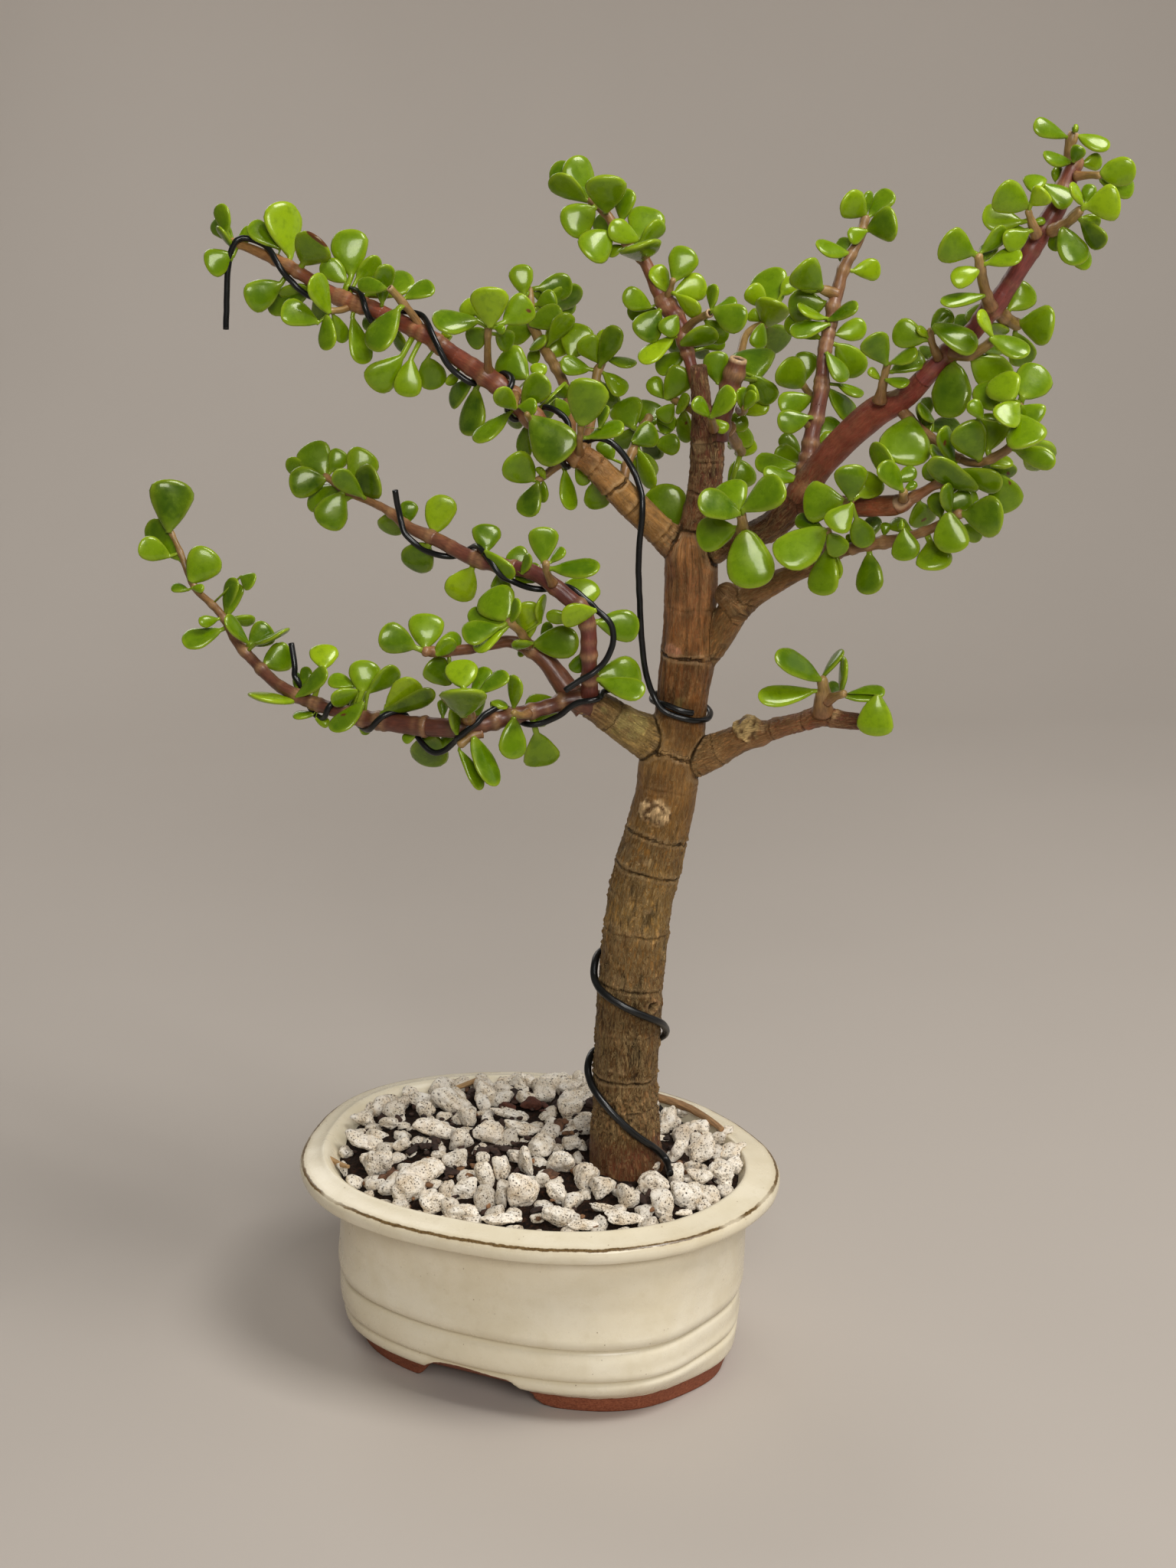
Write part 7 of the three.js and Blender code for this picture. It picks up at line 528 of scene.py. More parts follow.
        (-50.8, -31.4, 215.1, -51.9, -31.9, 212, -58.3, -33.7, 211.4, -0.02, -0.3, 0.96, 4.5, 1.1, 1.5),
        (-50.2, -31.5, 215, -51, -33, 211.2, -46.9, -32, 209.2, 0.42, -0.78, 0.47, 3.2, 0.8, 1.5),
        (-72.8, -28.3, 223.5, -72.3, -26.9, 224.3, -66.9, -20.1, 227.5, 0.68, -0.67, 0.3, 8.8, 2.1, 1.3),
    ],
    'shoot_lower_left_tip': [
        (-91.8, -24.1, 240.7, -83, -20.8, 249.4, -77.1, -21.9, 247.5, 0, -0.88, 0.48, 5.6, 1.3, 1),
        (-87.5, -24.6, 236.8, -86.2, -24, 237.8, -83.1, -20.1, 246.7, -0.06, -0.91, 0.41, 5.2, 1.3, 1),
        (-85.6, -25, 234.6, -87.7, -26.1, 233.6, -96.8, -33.4, 229.9, 0.2, -0.63, 0.75, 7.6, 1.8, 1.1),
        (-79.2, -27.2, 228.3, -77.5, -26.3, 229.9, -73.1, -21.1, 234.8, 0.6, -0.75, 0.27, 7.9, 1.9, 1.3),
        (-79.2, -27.2, 228.3, -76.9, -27.2, 230.2, -81.4, -31.9, 239.8, 0.92, -0.19, 0.34, 5.2, 1.2, 1.3),
        (-78.4, -27.3, 227.6, -74.6, -27.6, 230.7, -63.6, -24.7, 234.5, -0.3, -0.12, 0.95, 7.9, 1.9, 1.3),
        (-107.2, -21.1, 261.5, -107.4, -22.3, 261.3, -107.5, -18.6, 277.4, 0.59, -0.79, 0.18, 12.9, 2.5, 0.7),
        (-103.8, -22, 255.8, -106.6, -23.4, 254.5, -113.7, -29.2, 258.9, 0.68, -0.72, 0.13, 7.3, 1.7, 0.8),
        (-99.1, -23.3, 247.3, -99.3, -24.3, 247.1, -94.1, -18.9, 256.6, 0.56, -0.82, 0.15, 10.5, 2.5, 0.9),
        (-98.1, -23.5, 245.8, -100, -24.4, 244.7, -105.2, -25.8, 245.3, 0.21, -0.37, 0.91, 3.7, 0.9, 0.9),
        (-98.1, -23.5, 245.8, -98.3, -24.7, 245.6, -94, -24.4, 245.6, 0.05, -0.97, 0.23, 2.8, 0.7, 0.9),
    ],
}
# leaves that fill the gaps between those of the frame, same columns
INFILL = {
    'shoot_lower_right_outer': [
        (127.8, 7.5, 273.2, 127.2, 8.5, 274.5, 124.7, 11.8, 280.7, 0.11, -0.86, 0.5, 5.1, 1.2, 1.2),
        (130.4, 6.6, 274.8, 130.6, 5.3, 276.6, 130.3, 1.8, 285.2, 0.81, -0.55, -0.2, 4.7, 1.1, 1.2),
        (102.4, 12.2, 264.4, 102.8, 14.2, 265.7, 103.7, 23.1, 270.4, 0.51, -0.45, 0.74, 5, 1.2, 1.7),
        (120, 9.4, 269.5, 118.3, 10, 270.1, 110.9, 14.7, 271.8, -0.26, -0.67, 0.69, 4.5, 1.1, 1.3),
    ],
    'shoot_upper_left_inner': [
        (-7.3, -3.3, 310.9, -10.4, -2.1, 308.6, -20.5, 1.3, 300.7, -0.44, -0.88, 0.18, 6.6, 1.6, 2.8),
        (-0.4, -2.8, 306.4, -0.8, -0.2, 303.2, -1.9, 7.6, 294.2, -0.03, -0.76, -0.65, 5.9, 1.4, 3),
        (-12.5, -3.5, 314, -15.2, -2, 311.4, -18.6, -2.6, 306.8, 0.7, -0.55, -0.45, 3.6, 0.9, 2.6),
    ],
    'shoot_upper_left_crotch': [
        (31, 26.5, 293.7, 29.3, 27, 292.7, 19.9, 30.7, 286.8, 0.02, -0.83, -0.55, 5.9, 1.4, 1.2),
        (31.3, 27.2, 294.6, 31, 28.4, 292.9, 29.7, 36.1, 282, 0.04, -0.81, -0.58, 6.7, 1.6, 1.2),
        (29.8, 22.4, 288.7, 30.9, 21.4, 287.4, 36.2, 20.7, 276, -0.17, -0.98, -0.02, 6.3, 1.5, 1.3),
    ],
    'shoot_left_tip': [
        (-54, -6.3, 275.1, -55.8, -6, 274.9, -65.6, -2.5, 273.4, -0.37, -0.81, 0.45, 5.2, 1.3, 1),
        (-48.7, -7.5, 273.6, -50.5, -7.2, 273.3, -66.7, -6.9, 270.5, -0.11, -0.82, 0.57, 8.3, 2, 1),
        (-44.3, -8.5, 272.7, -44.6, -9.9, 273.9, -50.5, -16.2, 282.5, 0.65, -0.75, -0.1, 6.1, 1.5, 1.1),
        (-60.4, -4.8, 278.3, -62, -4.5, 278.6, -73.8, -5.9, 282.5, 0.05, -0.98, -0.19, 6.2, 1.5, 0.9),
    ],
    'shoot_lower_left_tip': [
        (-102, -22.6, 252.4, -103.1, -22.2, 253.1, -116, -20.2, 263.7, 0.16, -0.92, 0.37, 8.4, 2, 0.8),
        (-87.7, -24.6, 237, -87.1, -23.1, 236.6, -82, -16.1, 234.7, 0.65, -0.6, -0.47, 4.4, 1.1, 1),
        (-87.7, -24.6, 237, -88.3, -26.1, 237, -92.1, -31.3, 236.8, 0.77, -0.57, 0.28, 3.7, 0.9, 1),
        (-87.3, -24.7, 236.6, -87.5, -23.6, 237.7, -84.6, -21, 249, -0.16, -0.95, 0.26, 6, 1.4, 1),
    ],
    'shoot_back_left': [
        (-10.2, 34.6, 330.5, -9.5, 36, 329.9, -2.3, 48, 324.9, 0.87, -0.45, 0.18, 7.5, 1.8, 1),
        (-4.4, 28.6, 317.2, -5.7, 29.7, 315.3, -7.9, 29.8, 309.9, 0.15, -0.99, -0.06, 4, 1, 1.6),
        (16.3, 24.9, 307.3, 16.4, 26.4, 305.7, 17, 35.1, 297.3, 0.5, -0.62, -0.6, 6.1, 1.5, 1.4),
        (6.5, 22.4, 304.9, 4.8, 23.3, 303.2, -3.7, 27.5, 294.9, -0.34, -0.93, -0.12, 6.3, 1.5, 1.6),
        (-8.6, 31.8, 325.2, -7.8, 33.7, 325.8, 0.7, 46.3, 330.5, 0.84, -0.47, -0.26, 8, 1.9, 1.4),
        (-2, 27.4, 314.4, -0.3, 26.5, 316, 7.4, 27, 324.9, 0.49, -0.79, -0.38, 5.9, 1.4, 1.6),
        (16.2, 25.9, 308.9, 17.4, 25, 310.6, 23.5, 24.6, 322.1, 0.2, -0.97, -0.13, 6.5, 1.6, 1.4),
    ],
    'shoot_upper_left_middle': [
        (-35.7, -4.3, 325.9, -36.3, -1.9, 323.2, -36.4, 2.5, 315.3, -0.11, -0.87, -0.48, 4.5, 1.1, 2.4),
        (-31.2, -10.7, 334.5, -33, -10.4, 334.7, -42.3, -10.6, 336.1, 0.09, -0.85, 0.51, 4.7, 1.1, 1.1),
        (-33.6, -4.1, 325, -37.2, -3.2, 324.8, -47.9, -0.1, 324.2, -0.27, -0.83, 0.49, 5.6, 1.3, 2.4),
    ],
    'shoot_left_upright': [
        (29.9, -14.2, 243.9, 26.5, -13.2, 243.6, 18.4, -16.2, 244.1, 0.33, -0.94, -0.07, 4.4, 1, 2.4),
        (29.5, -11.5, 226, 32.4, -11.7, 225.6, 45.7, -8.5, 222, 0.33, -0.77, 0.55, 7.1, 1.7, 2.3),
    ],
    'shoot_upper_left_tip': [
        (-58.9, -6.3, 335.2, -62, -5.6, 334.5, -72.2, -6.1, 332.2, 0.2, -0.72, -0.67, 5.2, 1.3, 2.1),
        (-50.6, -12.6, 328.4, -50.7, -11.7, 327.2, -50.3, -7, 319.1, 0.8, -0.54, -0.27, 4.7, 1.1, 0.9),
        (-38.8, -4.7, 327.3, -37.6, -5.8, 330, -34.4, -7.6, 341.6, 0.7, -0.65, -0.29, 6.1, 1.5, 2.4),
        (-58.9, -6.3, 335.2, -61.9, -5.5, 334, -76.7, -4.5, 327.7, -0.16, -0.96, 0.23, 8.1, 1.9, 2.1),
        (-58.9, -6.3, 335.2, -60, -4.5, 332.8, -63.9, 1.9, 324.4, 0.04, -0.78, -0.62, 5.6, 1.4, 2.1),
        (-85, -8.2, 346.9, -86.7, -7.7, 347.8, -96.3, -4.1, 352.9, -0.17, -0.93, 0.34, 5.7, 1.4, 1.2),
    ],
    'shoot_limb_middle': [
        (134, 20, 326.8, 135.1, 23.4, 325.2, 136.5, 32.4, 321.8, 0.4, -0.37, -0.84, 4.9, 1.2, 2.8),
        (125.9, 19.1, 318.3, 125.9, 21.9, 320.7, 125.6, 30.1, 326.7, -0.06, -0.59, 0.81, 5.1, 1.2, 2.7),
        (136.1, 9.1, 341.4, 136.4, 10.7, 342.5, 136.3, 19, 345.7, 0.35, -0.33, 0.88, 4.5, 1.1, 1.3),
        (134.8, 12.1, 319.1, 135.9, 14.3, 319, 137.7, 23.5, 318.2, 0.7, -0.07, 0.71, 4.7, 1.1, 1.5),
        (121, 18.5, 313.6, 119.3, 20.4, 315.4, 115.3, 26.8, 318, 0.12, -0.31, 0.94, 4, 1, 2.7),
    ],
    'shoot_centre_outer': [
        (44, 25.5, 299.8, 43.6, 26.5, 298.2, 42.1, 30.3, 288.4, -0.12, -0.93, -0.34, 5.3, 1.3, 1.1),
        (44.6, 26.5, 321.6, 44.8, 28, 320.1, 45.4, 36.7, 312.1, 0.07, -0.68, -0.73, 5.9, 1.4, 1.3),
        (41.5, 27.7, 323.1, 40.1, 29.7, 320.4, 36.1, 36.1, 313.7, 0.11, -0.68, -0.72, 5, 1.2, 2.4),
        (39.8, 27.5, 325.8, 36.2, 28.5, 325.6, 23.9, 30.8, 325, -0.17, -0.96, -0.24, 6.2, 1.5, 2.7),
    ],
    'shoot_right_low': [
        (118.1, 3.3, 281.6, 117.1, 4, 282.6, 107.2, 7.5, 293.8, -0.42, -0.9, -0.09, 7.7, 1.8, 1.1),
    ],
    'shoot_lower_left_inner': [
        (-9.5, -29.6, 211.7, -10.6, -27.4, 213.9, -12.5, -23.8, 218.1, 0.83, -0.2, 0.53, 3.5, 0.8, 2.6),
        (-3.3, -27.3, 212, -6.6, -26.1, 209.6, -12.9, -24.8, 204.8, -0.28, -0.95, 0.12, 4, 1, 2.6),
        (6, -41.8, 224.2, 6.2, -40.2, 225.2, 7.1, -31.4, 230.9, 0.26, -0.54, 0.8, 5.2, 1.3, 1.3),
        (-14.2, -30.6, 211.7, -17.5, -29.5, 209.6, -22.2, -30.8, 206.5, 0.05, -0.95, 0.31, 3.2, 0.8, 2.4),
    ],
    'shoot_lower_left_middle': [
        (-58.8, -31, 217.2, -59.3, -29.6, 218.6, -62.6, -22.9, 221.4, 0, -0.39, 0.92, 4, 1, 1.5),
        (-45, -31.8, 214.1, -44.3, -29.7, 214.6, -39.3, -22.7, 217.5, 0.8, -0.6, 0.04, 4.5, 1.1, 1.6),
        (-55.8, -31.1, 216.2, -56.4, -29.8, 217.7, -57.7, -25.9, 224.6, 0.22, -0.84, 0.5, 4, 1, 1.5),
    ],
    'shoot_lower_right_inner': [
        (96.8, 2.5, 269.9, 95.4, 2.9, 270.3, 86.3, 6.8, 272.3, -0.08, -0.6, 0.8, 5, 1.2, 1),
    ],
    'shoot_lower_left_upper': [
        (11.9, -26, 243.7, 10.2, -25.6, 243.8, -2.4, -23.5, 244.7, -0.05, -0.62, 0.78, 6.4, 1.5, 1.1),
        (-8, -37.5, 236.2, -7.3, -35.7, 236.6, -4.4, -25.8, 238.3, 0.79, -0.32, 0.52, 5.2, 1.2, 1.3),
    ],
    'shoot_centre_tip': [
        (26.3, 26.1, 345.6, 24.5, 26.8, 346.5, 13.8, 29.8, 351.9, -0.24, -0.97, 0.07, 6.2, 1.5, 1.4),
        (17.1, 24.1, 356.4, 15.9, 24.6, 357.3, 3, 26.5, 367.5, 0.2, -0.88, 0.42, 8.3, 2, 0.9),
    ],
    'shoot_right_inner': [
        (118, 16, 297.6, 119.1, 18.1, 297.6, 124.8, 29.3, 297.5, 0.68, -0.35, 0.64, 6.3, 1.5, 1.4),
        (118.5, 15.9, 297.3, 118.3, 17.3, 298.7, 117.1, 25.1, 304.8, -0.05, -0.62, 0.78, 5, 1.2, 1.4),
    ],
    'shoot_mast_tip': [
        (87.4, 39.2, 337.4, 86.9, 40.8, 339.2, 84.5, 48, 345.8, 0.37, -0.56, 0.74, 5, 1.2, 1.7),
        (90.8, 47.1, 351.2, 90.6, 48.4, 352.6, 91.1, 49.7, 358.9, 0.8, -0.6, 0.07, 3.2, 0.8, 1.2),
    ],
    'shoot_right_tip': [
        (135.9, 10, 289.9, 136.9, 11.8, 289.3, 144.3, 19.9, 285.6, 0.56, -0.71, -0.43, 5.8, 1.4, 1.1),
        (145.7, 7.5, 294.5, 147.3, 7, 294.2, 158, 8.9, 290.7, 0.18, -0.98, 0.02, 5.7, 1.4, 1.2),
    ],
    'shoot_mast_middle': [
        (85.7, 30.7, 318.5, 83.4, 31.7, 319.3, 71.9, 34.3, 324, -0.18, -0.98, 0.12, 6.3, 1.5, 1.8),
    ],
    'shoot_limb_tip': [
        (152.4, 19, 350.1, 153.2, 20.9, 348.8, 160.6, 25.7, 340.1, 0.69, -0.7, 0.2, 6.2, 1.5, 1.4),
    ],
    'shoot_right_spur': [
        (92.8, 10.4, 217.8, 93.1, 13.2, 219.5, 92.7, 21.3, 222.1, 0.74, -0.17, 0.65, 4.3, 1, 2.4),
    ],
}
BLEMISHES = [('shoot_right_low', 2, 'spot', 0.51, 0.28, 0.07), ('shoot_upper_left_inner', 14, 'spot', -0.21, 0.77, 0.06), ('shoot_upper_left_tip', 0, 'tip', -0.0, 1.0, 0.16), ('shoot_centre_tip', 2, 'spot', -0.11, 0.73, 0.05)]
WIRES = {
    'wire_trunk': [(50.6, -6.4, 70), (49, -3.5, 70.3), (47.6, -1.5, 71), (46.4, -0.8, 72), (45.4, -1.3, 73.4), (44.5, -2.5, 75.1), (43.8, -4.3, 76.9), (42.8, -6, 78.7), (41.5, -7.5, 80.4), (40.3, -8.7, 82), (38.9, -9.5, 83.6), (37.5, -10.1, 85.1), (36, -10.5, 86.7), (34.5, -10.8, 88.2), (33, -10.9, 89.7), (31.4, -10.8, 91.2), (29.8, -10.5, 92.5), (28.1, -9.9, 93.9), (26.4, -8.9, 95.1), (25, -7.8, 96.3), (23.8, -6.5, 97.4), (22.9, -5.4, 98.6), (22.3, -4.2, 99.8), (21.9, -2.7, 100.9), (21.7, -1, 101.9), (21.6, 1.1, 102.4), (22, 3.6, 102.5), (22.9, 6.1, 102.3), (24.5, 8.3, 102.1), (26.4, 10, 102), (28.7, 11.3, 102.3), (31.1, 12, 102.9), (33.7, 12.2, 103.7), (36.2, 11.8, 104.6), (38.6, 11, 105.7), (40.5, 9.8, 107), (42.1, 8.7, 108.3), (43.3, 7.5, 109.6), (44.2, 6.3, 111.1), (44.7, 5, 112.5), (45, 3.4, 113.9), (45.3, 1.7, 115.3), (45.3, -0.2, 116.6), (45, -2.2, 117.9), (44.3, -4, 119.1), (43.3, -5.6, 120.2), (42.1, -7, 121.3), (40.7, -8.2, 122.3), (39.1, -9, 123.3), (37.5, -9.6, 124.2), (35.9, -9.8, 125.1), (34.2, -9.9, 125.8), (32.6, -9.7, 126.6), (30.9, -9.2, 127.3), (29.2, -8.4, 128), (27.7, -7.2, 128.7), (26.4, -5.9, 129.4), (25.4, -4.6, 130.4), (24.9, -3.7, 131.5), (24.7, -2.9, 132.7), (24.5, -1.9, 133.8), (24.1, -0.3, 134.6), (23.9, 1.7, 135.1), (24.1, 3.9, 135.4), (24.6, 5.9, 135.6), (25.5, 7.8, 135.9), (26.7, 9.6, 136.2), (28.3, 11.1, 136.6), (30.2, 12.4, 137), (32.1, 13.3, 137.4), (34, 14, 137.9), (35.8, 14.4, 138.3)],
    'wire_upper': [(54.2, 6.5, 213.1), (52.7, 5.2, 213.6), (51, 4.2, 214.2), (49.1, 3.8, 214.9), (47.2, 3.7, 215.5), (44.5, 4.4, 215.7), (42.6, 5.5, 215.6), (40.9, 7.1, 215.5), (39.8, 9, 215.6), (39.2, 11.1, 215.7), (39.1, 13.3, 215.8), (39.6, 15.8, 215.6), (40.9, 18.1, 215.2), (42.8, 19.9, 214.5), (45, 21, 213.8), (47.4, 21.4, 213), (49.8, 21.1, 212.3), (52, 20.1, 211.7), (53.9, 18.6, 211.1), (55.3, 16.6, 210.7), (56, 14.5, 210.4), (56.3, 12.3, 210.2), (56, 10.1, 210.3), (55.2, 8.1, 210.5), (53.9, 6.3, 210.9), (52.4, 5, 211.5), (50.6, 4.2, 212.1), (48.8, 3.6, 212.7), (47.1, 3.2, 213.4), (45.4, 2.7, 214.8), (44.1, 2.6, 216.8), (43.2, 2.8, 218.4), (42.4, 2.6, 220.2), (41.8, 2.5, 222.1), (41.3, 2.3, 224.1), (40.9, 2.2, 226.2), (40.6, 2.1, 228.4), (40.4, 2, 230.8), (40.2, 2, 233.3), (40, 1.9, 235.9), (39.9, 1.9, 238.5), (39.8, 1.9, 241.1), (39.7, 1.9, 243.7), (39.7, 1.9, 246.5), (39.5, 1.9, 249.3), (39.5, 1.9, 252.2), (39.4, 1.9, 255.1), (39.5, 2, 258.1), (39.6, 2.1, 261), (39.8, 2.2, 263.8), (40.1, 2.3, 266.5), (40.4, 2.5, 269.1), (40.6, 2.6, 271.6), (40.5, 3, 273.9), (40.1, 3.7, 276), (39.3, 4.6, 277.9), (38.3, 5.3, 279.8), (37.3, 5.9, 281.7), (36.2, 6.2, 283.6), (35.2, 6, 285.4), (34.1, 5.7, 287.2), (33, 5.2, 288.8), (31.9, 4.7, 290.1), (30.6, 4.2, 291.3), (29.1, 3.6, 292.2), (27.6, 3.1, 292.6), (26, 2.7, 292.6), (24.3, 2.8, 292), (22.4, 3.6, 291.4), (20.3, 4.2, 290.6), (18.9, 3.9, 286.8), (18.5, 2.5, 285.4), (18.5, 0.6, 284.6), (18.7, -1.4, 284.7), (18.6, -3, 285.8), (18.6, -4.4, 287.4), (19.1, -5, 289.5), (19.6, -4.7, 291.6), (20, -3.5, 293.4), (19.8, -1.9, 294.7), (19.3, -0.5, 296.1), (18.5, 0.3, 297.4), (17.2, 0.6, 298.8), (15.7, 0.5, 299.9), (13.9, 0.4, 300.8), (11.9, 0.6, 301.2), (9.8, 1.3, 301.1), (7.7, 2.1, 300.5), (5.6, 2, 299.3), (4, 0.7, 298.2), (3.1, -1.4, 297.7), (2.8, -3.4, 298.1), (2.7, -5, 299.4), (2.7, -6.1, 301.2), (2.8, -6.7, 303.3), (2.8, -6.7, 305.7), (3.5, -5.5, 307.3), (3.3, -3.9, 308.7), (2.4, -2.3, 309.6), (0.9, -1.1, 310.2), (-0.9, -0.2, 310.6), (-2.9, 0.6, 310.6), (-5, 1, 310.1), (-6.9, 0.7, 309.2), (-8.4, -0.4, 308.2), (-9.4, -2.2, 307.6), (-10.3, -3.6, 308), (-11.4, -4.3, 308.7), (-12.7, -4.8, 309.7), (-14, -5.4, 310.8), (-15.2, -6.2, 312.2), (-16.3, -6.9, 313.9), (-17.2, -7.3, 315.8), (-18.2, -7.4, 317.8), (-19.3, -7.2, 319.7), (-20.5, -6.7, 321.5), (-21.7, -6, 323.2), (-23.1, -4.8, 324.5), (-24.5, -3.6, 325.5), (-26.3, -2.7, 326.7), (-28.2, -2.5, 327.2), (-30.1, -2.3, 327.5), (-32, -1.8, 327.6), (-33.9, -1, 327.4), (-35.8, -0.6, 326.4), (-37.4, -1, 325.1), (-38.5, -2.3, 323.9), (-39.1, -4.2, 323.4), (-39.6, -6, 323.8), (-40.2, -7.4, 325), (-40.7, -8.4, 326.7), (-41.3, -8.8, 328.6), (-42, -8.5, 330.5), (-43.2, -7.5, 332.2), (-44.9, -6.2, 333.3), (-46.9, -4.9, 333.7), (-49, -3.9, 334), (-51.1, -3, 333.7), (-53.3, -2.6, 333.1), (-55.3, -2.7, 332.1), (-56.9, -3.5, 331.4), (-58.1, -4.9, 331), (-59.2, -6.2, 331.3), (-60.6, -7, 331.7), (-62.2, -7.4, 332.4), (-63.7, -7.6, 333.4), (-65.1, -7.9, 334.6), (-66.3, -8.4, 336.1), (-67.4, -9.2, 337.5), (-68.4, -10, 339.2), (-69.4, -10.3, 340.9), (-70.6, -10, 342.5), (-71.9, -9.4, 344), (-73.4, -8.6, 345.2), (-75, -7.9, 346.2), (-76.6, -7.5, 346.9), (-78.2, -7.4, 347.5), (-79.7, -7.5, 348), (-81.2, -8, 348.4), (-82.5, -9, 348.6), (-83.8, -10.4, 347.8), (-85, -10.6, 346.1), (-85.9, -10.5, 344.5), (-86.4, -10.6, 342.7), (-86.8, -10.8, 340.7), (-87.1, -11.1, 338.5), (-87.3, -11.3, 336), (-87.4, -11.6, 333.3), (-87.6, -11.8, 330.5), (-87.7, -12, 327.7), (-87.9, -12.3, 325), (-88, -12.5, 322.3)],
    'wire_middle_left': [(-30.4, -15.3, 277.7), (-30.3, -15.1, 275.7), (-30.2, -14.8, 273.6), (-29.9, -14.6, 271.5), (-29.4, -14.7, 269.3), (-28.6, -15.3, 267.3), (-27.6, -15.6, 265.1), (-26.1, -15.2, 263.4), (-24.5, -14.8, 262), (-22.8, -14.6, 260.9), (-20.9, -14.6, 260.1), (-18.8, -14.6, 259.5), (-16.8, -14.5, 259.1), (-15, -13.8, 258.8), (-13.3, -12.6, 258.7), (-11.5, -11.7, 259.3), (-9.6, -11.3, 260.3), (-7.5, -11.8, 261.4), (-5.6, -13.2, 262.3), (-3.8, -14.9, 262.5), (-2, -16.4, 262.2), (-0.2, -17.6, 261.5), (1.6, -18.7, 260.4), (3.3, -19.4, 258.9), (4.7, -19.5, 257), (6.2, -18.7, 255.1), (7.8, -17.6, 254.1), (9.8, -17.1, 253.2), (11.9, -16.9, 252.5), (14, -16.6, 252), (15.8, -15.9, 251.7), (17.3, -14.5, 251.5), (19, -13.1, 251.8), (21, -12.4, 252.3), (23.1, -12.1, 252.2), (25.2, -12, 251.5), (27.1, -11.7, 250.2), (28.9, -11.5, 248.7), (30.8, -11.3, 247.3), (32.5, -11.7, 245.9), (34.1, -11.7, 244.8), (35.5, -11.5, 243.6), (36.5, -11.2, 242.2), (37.1, -11.1, 240.3), (37.3, -11.2, 238.2), (37.1, -11.5, 236.1), (36.5, -12, 234.1), (35.7, -12.6, 232.2), (34.6, -13.3, 230.5), (33.3, -14.2, 229.1), (32, -15.3, 227.9), (30.3, -16.2, 226.9), (28.7, -17.1, 225.9), (27.1, -18.1, 224.7), (25.4, -19.2, 223.4)],
    'wire_lower_left': [(33.7, -1, 220.2), (32.5, -2.5, 220.4), (31.6, -4.5, 220.5), (31.3, -6.9, 220.3), (31.6, -9.6, 219.4), (29.6, -11.9, 219), (27.3, -12.5, 218.7), (25.4, -13.2, 217.9), (23.7, -13.9, 216.7), (22.1, -14.2, 215.2), (20.3, -14.2, 214), (18.4, -14.2, 213), (16.7, -14.8, 212.2), (15.1, -15.5, 211.7), (13.5, -16.3, 211.4), (11.7, -16.7, 211.4), (9.8, -16.8, 211.8), (8.1, -16.6, 212.6), (6.7, -16.8, 214), (5.8, -17.8, 215.8), (5.4, -19.8, 217.1), (5.1, -22, 217.4), (4.4, -23.9, 217), (3.5, -25.7, 216.4), (2.5, -27.4, 215.5), (1.7, -28.8, 214.1), (0, -30, 212.6), (-1.6, -30.8, 211.2), (-3.3, -31.2, 209.8), (-5.2, -30, 208.1), (-6.9, -29.6, 206.6), (-8.5, -29.6, 205.2), (-10.1, -29.9, 204.3), (-11.8, -30.3, 203.9), (-13.5, -30.5, 204.4), (-15.2, -30.5, 205.6), (-17, -30, 207), (-18.8, -29.2, 208.6), (-20.5, -28.3, 210.2), (-21.8, -28.1, 212.5), (-22.7, -29.5, 214.7), (-23.9, -31.6, 215.5), (-25.3, -33.2, 215.2), (-26.8, -34.5, 214.4), (-28.4, -35.2, 212.9), (-30.1, -35, 211.1), (-32, -33.9, 209.8), (-34, -32.5, 209.4), (-36, -31.4, 209.5), (-38, -30.4, 210.3), (-39.8, -29.6, 211.4), (-41.2, -29, 212.9), (-42, -29.2, 214.9), (-42.7, -30.5, 216.4), (-43.5, -32.1, 216.8), (-44.5, -33.5, 216.4), (-45.4, -34.6, 214.9), (-46.4, -34.3, 213.1), (-47.6, -33.3, 211.9), (-49.1, -32.6, 211.3), (-50.8, -32, 211.5), (-52.6, -31.2, 212.1), (-54.3, -30.2, 213.1), (-55.8, -29, 214.4), (-56.9, -28.3, 216.2), (-57.6, -28.6, 218.2), (-58.2, -29.1, 219.9), (-58.9, -29.4, 221.2), (-59.8, -29.4, 222.2)],
}
CAMERA_AT = (311.523, -582.919, 385.964)
CAMERA_RIGHT = (0.8987081, 0.4379733, -0.0224286)
CAMERA_UP = (-0.1072337, 0.2690553, 0.9571364)
CAMERA_FORWARD = (-0.4252348, 0.8577812, -0.2887677)
CAMERA_LENS = 52.2422
